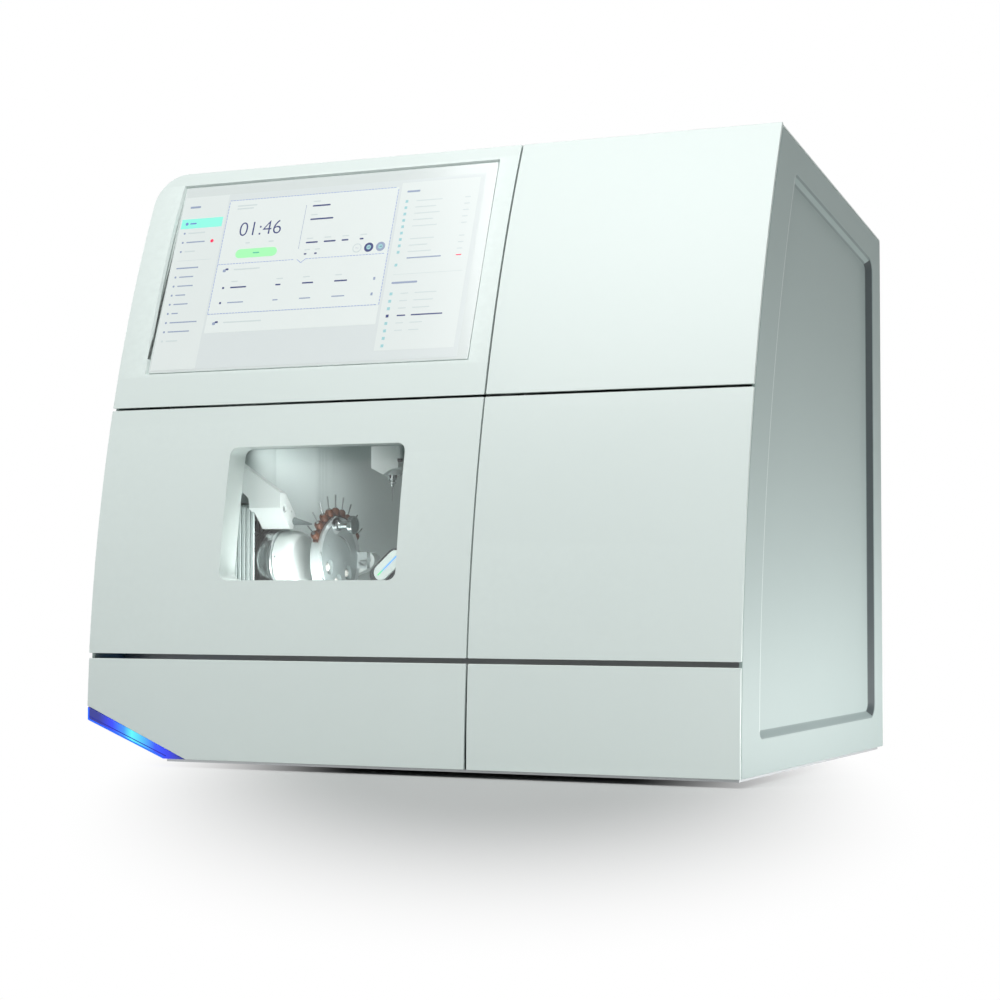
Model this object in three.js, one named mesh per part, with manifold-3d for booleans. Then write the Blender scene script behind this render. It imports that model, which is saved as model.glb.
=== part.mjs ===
// Desktop dental milling machine, in millimetres.
// X points to the viewer's right, Y to the rear and Z up. The origin is on the floor under the body's middle.
// The front is part of a cylinder whose axis lies far behind the machine, level with the covers' lower edge.
import * as THREE from "three";
import { mergeVertices } from "three/addons/utils/BufferGeometryUtils.js";
import Module from "manifold-3d";

const wasm = await Module();
wasm.setup();

// Whole machine
const width = 800;
const depth = 552;
const frontHeight = 705;
const rearHeight = 632;
const frontRadius = 1700;
const skirt = 9;

// Gaps and clearances
const fit = 0.3;
const running = 1.5;
const seam = 2;
const doorGap = 3;
const gripGap = 6;
const shadowGap = 2;
const overrun = 5;
const lap = 1;

// Front layout: heights above the skirt, and the seam between left and right covers
const lowerCoverHeight = 114;
const doorHeight = 286.5;
const seamX = 89.3;

// Sheet and moulded shells
const shell = { skin: 4, returnDepth: 12, returnWall: 3, returnInset: 6 };
const cover = { sheet: 4, roll: 38, rollSkirt: 8, edge: 3 };
const sidePanel = { sheet: 4, recess: 8, slope: 12, frontMargin: 64, topMargin: 37, rearMargin: 33 };
sidePanel.bottomMargin = 36;
sidePanel.rearCorner = 20;
sidePanel.frontCorner = 9;
const rearPanel = { sheet: 3, setBack: 12, lip: 10 };

// Derived places of the body
const half = width / 2;
const front = -depth / 2;
const rear = depth / 2;
const top = skirt + frontHeight;
const arcCentreY = front + frontRadius;
const lowerTop = skirt + lowerCoverHeight;
const doorBottom = lowerTop + gripGap;
const doorTop = doorBottom + doorHeight;
const upperBottom = doorTop + doorGap;
const leftSpan = [-half, seamX - seam / 2];
const rightSpan = [seamX + seam / 2, half];
const coverFront = shell.skin + shadowGap;

// Corner light: a diagonal strip across the lower left corner
const light = { run: 104, rise: 42, stripRun: 133, stripRise: 57.5, front: 2, depth: 24, board: 1.6 };

// Base tray
const tray = { sheet: 3, setIn: 3, sideLip: 25, chamferLip: 28, rail: 12, railHeight: 8, front: 14 };
tray.railStart = 38;
tray.railPast = 6;
const foot = { radius: 18, waist: 14, edge: 1, inset: 46, frontInset: 104, rearInset: 60 };

// Screen in the upper left cover
const screen = { leftMargin: 40, rightMargin: 26.3, shorter: 45.5, lift: 13.75, rise: 2.5, glass: 3 };
screen.ledge = 7;
screen.width = leftSpan[1] - leftSpan[0] - screen.leftMargin - screen.rightMargin;
screen.height = top - upperBottom - screen.shorter;
screen.slope = 6;
screen.corner = 3;
screen.backing = 16;
screen.margin = 8;
const display = { border: 7, depth: 26, frame: 6, electronicsInset: 32 };

// Doors: pivot behind and above the upper edge, carried by curved arms
const hinge = { behind: 12, above: 23.5, rod: 3, barrel: 7, ringInner: 29, ringOuter: 38, arm: 8 };
hinge.lug = 5;
hinge.spoke = 8;
hinge.spokeAngle = 20;
hinge.ringStartAngle = 26;
hinge.ringEndAngle = 112;
hinge.tab = 8;
hinge.tabLength = 42;
hinge.side = 0.6;
const armInset = { windowLeft: 24, windowRight: 4, loaderLeft: 16, loaderRight: 32 };
const beam = { depth: 20, height: 20, wall: 2 };
const windowPane = { leftMargin: 171, rightMargin: 90.8, bottomMargin: 84.5, topMargin: 48.5, corner: 10 };
windowPane.reveal = 34;
windowPane.wall = 8;
windowPane.glass = 4;
windowPane.overlap = 5;
const liner = { sheet: 2, depth: 54, leftMargin: 70, rightMargin: 28.3, bottomMargin: 10, topMargin: 10 };
liner.left = leftSpan[0] + liner.leftMargin;
liner.right = leftSpan[1] - liner.rightMargin;
liner.bottom = doorBottom + liner.bottomMargin;
liner.top = doorTop - liner.topMargin;
const gasket = { width: 10, inset: 4 };
const bulkhead = { inset: 64, sheet: 2.5, sideGap: 3, cornerLift: 6, rise: 13.5 };
bulkhead.top = doorTop + bulkhead.rise;
const cableHole = { left: 12, right: 60, bottom: 12, top: 72, corner: 12 };
const bayOpening = { leftMargin: 21.7, rightMargin: 30 };

// Milling chamber and blank bay
const chamber = { leftMargin: 34, rightMargin: 42.3, bottom: 126, drop: 0.5, wall: 2, rear: 122, drain: 14 };
chamber.left = leftSpan[0] + chamber.leftMargin;
chamber.right = leftSpan[1] - chamber.rightMargin;
const bay = { leftMargin: 9.7, rightMargin: 16, wall: 2 };
bay.left = rightSpan[0] + bay.leftMargin;
bay.right = rightSpan[1] - bay.rightMargin;

// Rotary unit: its turning axis lies along X, and its places along X start at the chamber's left wall
const axisA = { y: 230, z: 230 };
const sleeve = { length: 81, halfWidth: 44, halfHeight: 68, wall: 3, fold: 8.7, groove: 2, grooveShare: 0.25 };
const hub = { radius: 34, start: 56.3, length: 44.7, rim: 5, shaft: 12, shaftLength: 30 };
hub.left = chamber.left + hub.start;
hub.right = hub.left + hub.length;
const body = { radius: 36, length: 26 };
body.right = hub.right + body.length;
const arm = { gap: 112, thickness: 16, rootHalf: 34, tipRadius: 13, pin: 5, reach: 57 };
const axisB = { x: body.right + arm.reach };
const clamp = { setBack: 14, outer: 52, inner: 45.6, thickness: 12, lip: 2, earHalf: 10 };
clamp.x = axisB.x - clamp.setBack;
const blank = { radius: 45, thickness: 10, crownCut: 9, crown: 5.6, bridge: 1.5, bridgeHalf: 11.2 };
blank.crownPlaceShare = 0.6;
blank.crownAngles = [200, 262, 324];
const screw = { y: 8, z: 42, neck: 5, head: 11, headLength: 7, neckLength: 19, flange: 7, flangeLength: 4 };
const toolRing = { radius: 61, collar: 4.6, thickness: 6, pin: 1, pinLength: 19 };
toolRing.count = 9;
toolRing.firstAngle = 22.5;
toolRing.lastAngle = 157.5;

// Spindle: its turning axis lies along Z
const spindle = { reach: 78.5, y: 230 };
spindle.x = clamp.x + spindle.reach;

// Flat sides of round shapes
const facets = { large: 22, medium: 14, small: 8, tiny: 5, roll: 6 };

const palette = {
  white: [0xe2eae7, 0.45, 0],
  chamberWhite: [0xd9dedd, 0.5, 0],
  dark: [0x1c1f20, 0.7, 0],
  rubber: [0x17191a, 0.9, 0],
  glass: [0xe8f0f0, 0.08, 0],
  steel: [0xb4b8ba, 0.35, 1],
  chrome: [0xdfe3e5, 0.12, 1],
  aluminium: [0x9da3a5, 0.42, 1],
  copper: [0x8a4a2c, 0.45, 0.2],
  light: [0x1d3dff, 0.3, 0],
  board: [0x1d5b34, 0.6, 0],
  blank: [0xd8d6cc, 0.6, 0],
};

// Joins and cuts

function toSolid(geometry) {
  const bare = geometry.clone();
  bare.deleteAttribute("normal");
  bare.deleteAttribute("uv");
  const merged = mergeVertices(bare, 1e-4);
  return new wasm.Manifold(
    new wasm.Mesh({
      numProp: 3,
      vertProperties: merged.attributes.position.array,
      triVerts: new Uint32Array(merged.index.array),
    }),
  );
}

function toGeometry(solid) {
  const { vertProperties, triVerts } = solid.getMesh();
  const indexed = new THREE.BufferGeometry();
  indexed.setAttribute("position", new THREE.BufferAttribute(vertProperties, 3));
  indexed.setIndex(new THREE.BufferAttribute(triVerts, 1));
  const geometry = indexed.toNonIndexed();
  geometry.computeVertexNormals();
  return geometry;
}

const join = (...solids) => solids.reduce((a, b) => a.add(b));
const cut = (solid, ...tools) => tools.reduce((a, b) => a.subtract(b), solid);

function part(name, solid, finish) {
  const [color, roughness, metalness] = palette[finish];
  const material = new THREE.MeshStandardMaterial({ color, roughness, metalness });
  const mesh = new THREE.Mesh(toGeometry(solid), material);
  mesh.name = name;
  return mesh;
}

// Outlines

function polygon(points) {
  return new THREE.Shape(points.map(([a, b]) => new THREE.Vector2(a, b)));
}

function roundedRectangle(left, right, bottom, upper, radius) {
  const shape = new THREE.Shape();
  shape.absarc(right - radius, upper - radius, radius, 0, Math.PI / 2, false);
  shape.absarc(left + radius, upper - radius, radius, Math.PI / 2, Math.PI, false);
  shape.absarc(left + radius, bottom + radius, radius, Math.PI, Math.PI * 1.5, false);
  shape.absarc(right - radius, bottom + radius, radius, Math.PI * 1.5, Math.PI * 2, false);
  shape.closePath();
  return shape;
}

// Corners are [a, b, fillet radius], listed counterclockwise.
function filleted(corners) {
  const shape = new THREE.Shape();
  corners.forEach(([a, b, radius], i) => {
    const here = new THREE.Vector2(a, b);
    if (!radius) {
      if (i) shape.lineTo(a, b);
      else shape.moveTo(a, b);
      return;
    }
    const before = corners[(i + corners.length - 1) % corners.length];
    const after = corners[(i + 1) % corners.length];
    const inward = new THREE.Vector2(before[0], before[1]).sub(here).normalize();
    const outward = new THREE.Vector2(after[0], after[1]).sub(here).normalize();
    const halfAngle = Math.acos(inward.dot(outward)) / 2;
    const middle = inward.clone().add(outward).normalize();
    const centre = here.clone().addScaledVector(middle, radius / Math.sin(halfAngle));
    const start = here.clone().addScaledVector(inward, radius / Math.tan(halfAngle)).sub(centre);
    const end = here.clone().addScaledVector(outward, radius / Math.tan(halfAngle)).sub(centre);
    shape.absarc(centre.x, centre.y, radius, start.angle(), end.angle(), false);
  });
  shape.closePath();
  return shape;
}

// Solids along an axis. The outline's two coordinates are the other two axes, as Y Z, X Z and X Y.

function extrude(shape, length, curveSegments) {
  return new THREE.ExtrudeGeometry(shape, { depth: length, bevelEnabled: false, curveSegments });
}

const alongXBasis = new THREE.Matrix4().set(0, 0, 1, 0, 1, 0, 0, 0, 0, 1, 0, 0, 0, 0, 0, 1);
const alongYBasis = new THREE.Matrix4().set(1, 0, 0, 0, 0, 0, -1, 0, 0, 1, 0, 0, 0, 0, 0, 1);

function alongX(shape, from, to, segments = 6) {
  return toSolid(extrude(shape, to - from, segments).applyMatrix4(alongXBasis).translate(from, 0, 0));
}

function alongY(shape, from, to, segments = 6) {
  return toSolid(extrude(shape, to - from, segments).applyMatrix4(alongYBasis).translate(0, to, 0));
}

function alongZ(shape, from, to, segments = 6) {
  return toSolid(extrude(shape, to - from, segments).translate(0, 0, from));
}

function block([x0, x1], [y0, y1], [z0, z1]) {
  const box = new THREE.BoxGeometry(x1 - x0, y1 - y0, z1 - z0);
  return toSolid(box.translate((x0 + x1) / 2, (y0 + y1) / 2, (z0 + z1) / 2));
}

function rodX(radius, [from, to], y, z, sides = facets.medium, endRadius = radius) {
  const rod = new THREE.CylinderGeometry(endRadius, radius, to - from, sides);
  return toSolid(rod.rotateZ(-Math.PI / 2).translate((from + to) / 2, y, z));
}

function rodY(radius, [from, to], x, z, sides = facets.medium, endRadius = radius) {
  const rod = new THREE.CylinderGeometry(endRadius, radius, to - from, sides);
  return toSolid(rod.translate(x, (from + to) / 2, z));
}

function rodZ(radius, [from, to], x, y, sides = facets.medium, endRadius = radius) {
  const rod = new THREE.CylinderGeometry(endRadius, radius, to - from, sides);
  return toSolid(rod.rotateX(Math.PI / 2).translate(x, y, (from + to) / 2));
}

// A closed skin between two outlines with equal point counts, one at each end, along X.
function loftX(shapeA, xA, shapeB, xB, segments) {
  const a = shapeA.getPoints(segments);
  const b = shapeB.getPoints(segments);
  const last = a[0].distanceTo(a[a.length - 1]) < 1e-6 ? a.length - 1 : a.length;
  const ringA = a.slice(0, last);
  const ringB = b.slice(0, last);
  const positions = [];
  const indices = [];
  ringA.forEach((p) => positions.push(xA, p.x, p.y));
  ringB.forEach((p) => positions.push(xB, p.x, p.y));
  for (let i = 0; i < last; i++) {
    const j = (i + 1) % last;
    indices.push(i, j, last + j, i, last + j, last + i);
  }
  THREE.ShapeUtils.triangulateShape(ringA, []).forEach(([p, q, r]) => {
    indices.push(p, r, q, last + p, last + q, last + r);
  });
  const geometry = new THREE.BufferGeometry();
  geometry.setAttribute("position", new THREE.Float32BufferAttribute(positions, 3));
  geometry.setIndex(indices);
  return toSolid(geometry);
}

// The curved front

function arcAngle(z, inset) {
  return Math.PI - Math.asin((z - skirt) / (frontRadius - inset));
}

function arcY(z, inset = 0) {
  return arcCentreY - Math.sqrt((frontRadius - inset) ** 2 - (z - skirt) ** 2);
}

// The space between two depths behind the front surface, from one height to another.
function bandShape(z0, z1, nearInset, farInset) {
  const shape = new THREE.Shape();
  const near = frontRadius - nearInset;
  const far = frontRadius - farInset;
  shape.absarc(arcCentreY, skirt, near, arcAngle(z0, nearInset), arcAngle(z1, nearInset), true);
  shape.absarc(arcCentreY, skirt, far, arcAngle(z1, farInset), arcAngle(z0, farInset), false);
  shape.closePath();
  return shape;
}

function band([x0, x1], [z0, z1], [nearInset, farInset], segments = 8) {
  return alongX(bandShape(z0, z1, nearInset, farInset), x0, x1, segments);
}

// Everything deeper than an inset behind the front surface.
function behindFront(inset, rearY = rear, segments = 14) {
  const upper = top + overrun;
  const shape = new THREE.Shape();
  shape.absarc(arcCentreY, skirt, frontRadius - inset, arcAngle(0, inset), arcAngle(upper, inset), true);
  shape.lineTo(rearY, upper);
  shape.lineTo(rearY, 0);
  shape.closePath();
  return alongX(shape, -half - overrun, half + overrun, segments);
}

// The sloping top

const topFrontY = arcY(top);
const topSlope = (frontHeight - rearHeight) / (rear - topFrontY);
const topZ = (y, drop = 0) => top - drop - topSlope * (y - topFrontY);

// Everything under the sloping top, less a vertical drop.
function underTop(drop, [x0, x1], bottom = 0, rearY = rear) {
  return alongX(
    polygon([
      [front, bottom],
      [rearY, bottom],
      [rearY, topZ(rearY, drop)],
      [front, topZ(front, drop)],
    ]),
    x0,
    x1,
  );
}

// Covers

// A moulded cover: a curved skin with a stiffening return set in from its edges.
function frontCover([x0, x1], [z0, z1], segments = 8) {
  const { skin, returnDepth, returnWall, returnInset } = shell;
  const inner = returnInset + returnWall;
  const outside = band(
    [x0 + returnInset, x1 - returnInset],
    [z0 + returnInset, z1 - returnInset],
    [skin - lap, returnDepth],
    segments,
  );
  const inside = band(
    [x0 + inner, x1 - inner],
    [z0 + inner, z1 - inner],
    [skin - lap - lap, returnDepth + overrun],
    segments,
  );
  return join(band([x0, x1], [z0, z1], [0, skin], segments), cut(outside, inside));
}

// Lowers a solid that was made at the front edge's height to follow the sloping top.
function followTop(solid) {
  const shear = new THREE.Matrix4().set(1, 0, 0, 0, 0, 1, 0, 0, 0, -topSlope, 1, 0, 0, 0, 0, 1);
  return solid.translate([0, -topFrontY, 0]).transform(shear.elements).translate([0, topFrontY, 0]);
}

// What lies inside the rolled left upper edge, seen from the front.
function rolledCorner(inset = 0) {
  const radius = cover.roll - inset;
  return alongY(
    filleted([
      [half + overrun, 0, 0],
      [half + overrun, top + overrun, 0],
      [-half + cover.roll, top + overrun, 0],
      [-half + cover.roll, top - inset, 0],
      ...quarter(-half + cover.roll, top - cover.roll, radius),
      [-half + inset, 0, 0],
    ]),
    front - overrun,
    rear + overrun,
  );
}

function quarter(a, b, radius, steps = facets.roll) {
  return Array.from({ length: steps }, (_, i) => {
    const angle = Math.PI / 2 + ((i + 1) * Math.PI) / 2 / steps;
    return [a + radius * Math.cos(angle), b + radius * Math.sin(angle), 0];
  });
}

// The screen's plane: a group whose X is the machine's X, Y runs up the screen and Z points out of it.
const screenMid = (upperBottom + top) / 2 + screen.lift;
const screenTilt = Math.asin((screenMid - skirt) / frontRadius);
const screenX = leftSpan[0] + screen.leftMargin + screen.width / 2;
const screenSag = screen.height ** 2 / (8 * frontRadius);
const screenGroup = new THREE.Group();
screenGroup.position.set(screenX, arcY(screenMid), screenMid);
screenGroup.rotation.x = Math.PI / 2 - screenTilt;
screenGroup.updateMatrix();

// The seat of the glass lies this far behind the middle of the curved surface.
const glassSeat = screenSag + screen.rise + screen.glass;

function inScreenFrame(solid) {
  return solid.transform(screenGroup.matrix.elements);
}

function pocket(w, h, slope, [z0, z1]) {
  const outer = polygon([
    [-w / 2 - slope, -h / 2 - slope],
    [w / 2 + slope, -h / 2 - slope],
    [w / 2 + slope, h / 2 + slope],
    [-w / 2 - slope, h / 2 + slope],
  ]);
  const inner = polygon([
    [-w / 2, -h / 2],
    [w / 2, -h / 2],
    [w / 2, h / 2],
    [-w / 2, h / 2],
  ]);
  const toZ = new THREE.Matrix4().set(0, 1, 0, 0, 0, 0, 1, 0, 1, 0, 0, 0, 0, 0, 0, 1);
  return loftX(inner, z0, outer, z1, 1).transform(toZ.elements);
}

function screenCover() {
  const plain = frontCover(leftSpan, [upperBottom, top], 6);
  const backing = inScreenFrame(
    block(
      [-screen.width / 2 - screen.margin, screen.width / 2 + screen.margin],
      [-screen.height / 2 - screen.margin, screen.height / 2 + screen.margin],
      [-screen.backing, -shell.skin + lap],
    ),
  );
  const recess = inScreenFrame(
    pocket(screen.width, screen.height, screen.slope, [-glassSeat, overrun]),
  );
  const opening = inScreenFrame(
    block(
      [-screen.width / 2 + screen.ledge, screen.width / 2 - screen.ledge],
      [-screen.height / 2 + screen.ledge, screen.height / 2 - screen.ledge],
      [-screen.backing - overrun, overrun],
    ),
  );
  const trimmed = backing.intersect(behindFront(lap));
  const underRoll = cut(behindFront(shell.skin), rolledCorner(cover.sheet + seam));
  return cut(join(plain, trimmed), recess, opening, underRoll).intersect(rolledCorner());
}

function touchGlass() {
  return alongZ(
    roundedRectangle(
      -screen.width / 2 + fit,
      screen.width / 2 - fit,
      -screen.height / 2 + fit,
      screen.height / 2 - fit,
      screen.corner,
    ),
    -glassSeat + fit,
    -glassSeat + fit + screen.glass,
  );
}

function displayModule() {
  const face = -screen.backing - fit;
  const { frame: rim, electronicsInset } = display;
  const halfWidth = screen.width / 2 - display.border;
  const halfHeight = screen.height / 2 - display.border;
  const centred = (inset, z) =>
    block([inset - halfWidth, halfWidth - inset], [inset - halfHeight, halfHeight - inset], z);
  const panel = centred(-rim, [face - rim, face]);
  const inOpening = centred(rim, [face - lap, -glassSeat - fit]);
  const electronics = centred(electronicsInset, [face - display.depth, face - rim + lap]);
  return join(panel, inOpening, electronics);
}

function topCover() {
  const { sheet, roll, rollSkirt, edge } = cover;
  const outline = new THREE.Shape();
  outline.moveTo(half, -sheet);
  outline.absarc(half - edge, -edge, edge, 0, Math.PI / 2, false);
  outline.absarc(-half + roll, -roll, roll, Math.PI / 2, Math.PI, false);
  outline.lineTo(-half, -roll - rollSkirt);
  outline.lineTo(-half + sheet, -roll - rollSkirt);
  outline.absarc(-half + roll, -roll, roll - sheet, Math.PI, Math.PI / 2, true);
  outline.closePath();
  const sheetSolid = followTop(alongY(outline, front, rear, facets.roll).translate([0, 0, top]));
  return sheetSolid.intersect(behindFront(coverFront));
}

// The outline of the right side's embossed field: [y, z, fillet].
function recessOutline(grow) {
  const steps = 6;
  const inset = sidePanel.frontMargin - grow;
  const low = skirt + sidePanel.bottomMargin - grow;
  const back = rear - sidePanel.rearMargin + grow;
  const drop = sidePanel.topMargin - grow;
  const corner = sidePanel.rearCorner + grow;
  const smallCorner = sidePanel.frontCorner + grow;
  const upper = topZ(arcY(top - drop, inset), drop);
  const edge = Array.from({ length: steps - 1 }, (_, i) => {
    const z = upper + ((low - upper) * (i + 1)) / steps;
    return [arcY(z, inset), z, 0];
  });
  return filleted([
    [arcY(low, inset), low, smallCorner],
    [back, low, corner],
    [back, topZ(back, drop), corner],
    [arcY(upper, inset), upper, smallCorner],
    ...edge,
  ]);
}

function sidePlate([x0, x1]) {
  const plate = underTop(cover.sheet + fit, [x0, x1], skirt);
  return plate.intersect(behindFront(coverFront));
}

function rightSidePanel() {
  const { sheet, recess, slope } = sidePanel;
  const plate = sidePlate([half - sheet, half]);
  const steps = 3;
  const panBack = half - recess - sheet;
  const pan = loftX(recessOutline(sheet - slope), panBack, recessOutline(sheet), half - lap, steps);
  const hollow = loftX(recessOutline(-slope), half - recess, recessOutline(0), half, steps);
  const mouth = alongX(recessOutline(0), half - fit, half + overrun, steps);
  return cut(join(plate, pan), hollow, mouth);
}

function leftSidePanel() {
  const { sheet } = sidePanel;
  const low = skirt + light.rise;
  const plate = underTop(cover.roll + cover.rollSkirt + fit, [-half, -half + sheet], low);
  return cut(plate.intersect(behindFront(coverFront)), cornerCut(fit, front, chamferFront));
}

const rearFace = rear - rearPanel.setBack;
const vent = { slot: 5, pitch: 12, length: 96, count: 9, rightMargin: 160, z: 330, lowLeft: 170, lowZ: 60 };
vent.x = half - vent.rightMargin;
vent.lowX = -half + vent.lowLeft;
vent.lowCount = 5;
const inlet = { leftMargin: 100, z: 96, width: 48, height: 28, depth: 22, flange: 5, flangeSheet: 3 };
inlet.x = -half + inlet.leftMargin;
inlet.socketDepth = 17.6;
inlet.pinFront = 6.6;
inlet.pinPitch = 5;
inlet.pinHalf = [1, 2];
const suction = { leftMargin: 250, z: 190, radius: 30, wall: 3, reach: 9, flange: 42 };
suction.x = -half + suction.leftMargin;

function rearCover() {
  const { sheet, lip } = rearPanel;
  const inner = half - sidePanel.recess - sidePanel.sheet - fit;
  const left = -half + sidePanel.sheet + fit;
  const plate = underTop(cover.sheet + fit, [left, inner], skirt + fit, rearFace)
    .intersect(block([left, inner], [rearFace - sheet, rearFace], [0, top]))
    .intersect(followTop(rolledCorner(cover.sheet + fit)));
  const chamfer = alongY(chamferCorner(tray.sheet + fit), rearFace - sheet - overrun, rear);
  const fanSlots = ventSlots(vent.x, vent.z, vent.count);
  const lowSlots = ventSlots(vent.lowX, vent.lowZ, vent.lowCount);
  const spigot = rodY(suction.radius, [rearFace - lip, rearFace + suction.reach], suction.x, suction.z);
  const spigotFlange = rodY(suction.flange, [rearFace - lap, rearFace + sheet], suction.x, suction.z);
  const bore = rodY(
    suction.radius - suction.wall,
    [rearFace - lip - overrun, rearFace + suction.reach + overrun],
    suction.x,
    suction.z,
  );
  const hole = block(
    [inlet.x - inlet.width / 2 - fit, inlet.x + inlet.width / 2 + fit],
    [rearFace - sheet - overrun, rearFace + overrun],
    [inlet.z - inlet.height / 2 - fit, inlet.z + inlet.height / 2 + fit],
  );
  return cut(join(cut(plate, chamfer), spigotFlange, spigot), ...fanSlots, ...lowSlots, bore, hole);
}

function ventSlots(x, z, count) {
  return Array.from({ length: count }, (_, i) => {
    const middle = z + (i - (count - 1) / 2) * vent.pitch;
    return block(
      [x - vent.length / 2, x + vent.length / 2],
      [rearFace - rearPanel.sheet - overrun, rearFace + overrun],
      [middle - vent.slot / 2, middle + vent.slot / 2],
    );
  });
}

// The lower left corner below the diagonal, moved up by a height.
function chamferCorner(lift = 0) {
  const slope = light.rise / light.run;
  return polygon([
    [-half - overrun, skirt + light.rise + lift + overrun * slope],
    [-half - overrun, -overrun],
    [-half + light.run + ((skirt + overrun + lift) * light.run) / light.rise, -overrun],
  ]);
}

// The part of the corner that the light strip fills, up to the drawer front's diagonal edge.
function stripLine(gap) {
  const { stripRun, stripRise } = light;
  const slope = stripRise / stripRun;
  const rise = skirt + stripRise + gap;
  return { rise, slope, foot: -half + (rise - skirt) / slope };
}

function lightBar() {
  const { run, rise } = light;
  const line = stripLine(0);
  const outline = polygon([
    [-half, skirt + rise],
    [-half + run, skirt],
    [line.foot, skirt],
    [-half, line.rise],
  ]);
  return alongY(outline, front + light.front, front + light.front + light.depth);
}

function lightBoard() {
  const { run, rise } = light;
  const inset = tray.sheet;
  const line = stripLine(0);
  const outline = polygon([
    [-half + inset, skirt + rise],
    [-half + run, skirt + lap],
    [line.foot - inset, skirt + lap],
    [-half + inset, line.rise - inset],
  ]);
  const start = front + light.front + light.depth + fit;
  return alongY(outline, start, start + light.board);
}

const trayFront = front + coverFront;
const trayRear = rear - rearPanel.setBack - rearPanel.sheet - fit;
const trayFloor = skirt;
const trayBottom = skirt - tray.sheet;
const chamferFront = front + light.front + light.depth + fit + light.board + fit;
const tank = { leftMargin: 150, rightMargin: 18.3, rearMargin: 137, wall: 3, top: 116 };
tank.left = leftSpan[0] + tank.leftMargin;
tank.right = leftSpan[1] - tank.rightMargin;
tank.rear = rear - tank.rearMargin;
tank.baffleShare = 0.7;
tank.baffleHeightShare = 0.67;

function baseFrame() {
  const { sheet, setIn, sideLip, chamferLip, rail, railHeight } = tray;
  const slope = light.rise / light.run;
  const left = -half + sidePanel.sheet + fit;
  const right = half - sidePanel.sheet - fit;
  const chamferFoot = -half + light.run + sheet;
  const floor = block([chamferFoot, half - setIn], [trayFront, trayRear], [trayBottom, trayFloor]);
  const diagonal = alongY(
    polygon([
      [left, skirt + light.rise - slope * (left + half)],
      [chamferFoot, trayBottom],
      [chamferFoot + sheet / slope, trayBottom],
      [chamferFoot + sheet / slope, trayFloor],
      [left + sheet, skirt + light.rise + sheet - slope * (left + half)],
      [left + sheet, skirt + light.rise + chamferLip],
      [left, skirt + light.rise + chamferLip],
    ]),
    chamferFront,
    trayRear,
  );
  const line = stripLine(0);
  const frontLip = alongY(
    polygon([
      [left, skirt + light.rise],
      [-half + light.run, trayFloor - lap],
      [line.foot - sheet, trayFloor - lap],
      [left, line.rise - sheet],
    ]),
    chamferFront,
    chamferFront + sheet,
  );
  const wallY = [front + tray.front, trayRear];
  const sideWall = block([right - sheet, right], wallY, [trayBottom, trayFloor + sideLip]);
  const rails = [tank.left + rail, tank.right - rail - rail].map((x) =>
    block(
      [x, x + rail],
      [front + tray.railStart, tank.rear + tray.railPast],
      [trayFloor - lap, trayFloor + railHeight],
    ),
  );
  const coverSeat = block(
    [rightSpan[0], half - sidePanel.sheet - fit],
    [front + shell.skin + fit, front + shell.skin + fit + sheet],
    [trayFloor - lap, trayFloor + shell.returnInset - fit],
  );
  return join(floor, diagonal, frontLip, coverSeat, sideWall, ...rails);
}

function rubberFoot() {
  const { radius, waist, edge } = foot;
  const height = skirt - tray.sheet;
  const profile = [
    [0, 0],
    [radius - edge, 0],
    [radius, edge],
    [waist, height - edge],
    [waist, height],
    [0, height],
  ].map(([r, z]) => new THREE.Vector2(r, z));
  return toSolid(new THREE.LatheGeometry(profile, facets.small).rotateX(Math.PI / 2));
}

// Doors and their hinges

const pivot = { z: doorTop + hinge.above };
pivot.y = arcY(pivot.z, hinge.behind);
const armPlaces = {
  window: [liner.left - armInset.windowLeft, liner.right + armInset.windowRight],
  loader: [rightSpan[0] + armInset.loaderLeft, rightSpan[1] - armInset.loaderRight],
};

function sector(inner, outer, fromDegrees, toDegrees) {
  const a = THREE.MathUtils.degToRad(fromDegrees);
  const b = THREE.MathUtils.degToRad(toDegrees);
  const shape = new THREE.Shape();
  shape.absarc(pivot.y, pivot.z, outer, a, b, false);
  shape.absarc(pivot.y, pivot.z, inner, b, a, true);
  shape.closePath();
  return shape;
}

// The arm leaves the barrel rearwards, runs round under the fixed cover's edge and ends in a tab on the door.
function doorArm(x) {
  const { ringInner, ringOuter, spoke, barrel } = hinge;
  const span = [x, x + hinge.arm];
  const angle = THREE.MathUtils.degToRad(hinge.spokeAngle);
  const along = [Math.cos(angle), Math.sin(angle)];
  const side = [(-along[1] * spoke) / 2, (along[0] * spoke) / 2];
  const reach = (ringInner + ringOuter) / 2;
  const spokeShape = polygon([
    [pivot.y - side[0], pivot.z - side[1]],
    [pivot.y + along[0] * reach - side[0], pivot.z + along[1] * reach - side[1]],
    [pivot.y + along[0] * reach + side[0], pivot.z + along[1] * reach + side[1]],
    [pivot.y + side[0], pivot.z + side[1]],
  ]);
  const near = shell.skin + fit;
  const tabTop = pivot.z - ringInner;
  const tab = band(span, [tabTop - hinge.tabLength, tabTop], [near, near + hinge.tab], 3);
  const ring = alongX(sector(ringInner, ringOuter, -hinge.ringEndAngle, hinge.ringStartAngle), ...span, 8);
  const clear = behindFront(near);
  const solid = join(
    alongX(spokeShape, ...span),
    ring,
    rodX(barrel, span, pivot.y, pivot.z),
    tab,
  ).intersect(clear);
  const bore = rodX(hinge.rod + fit, [x - overrun, span[1] + overrun], pivot.y, pivot.z, facets.small);
  return cut(solid, bore);
}

const lugX = (x) => [x + hinge.arm + hinge.side, x + hinge.arm + hinge.side + hinge.lug];

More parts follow.
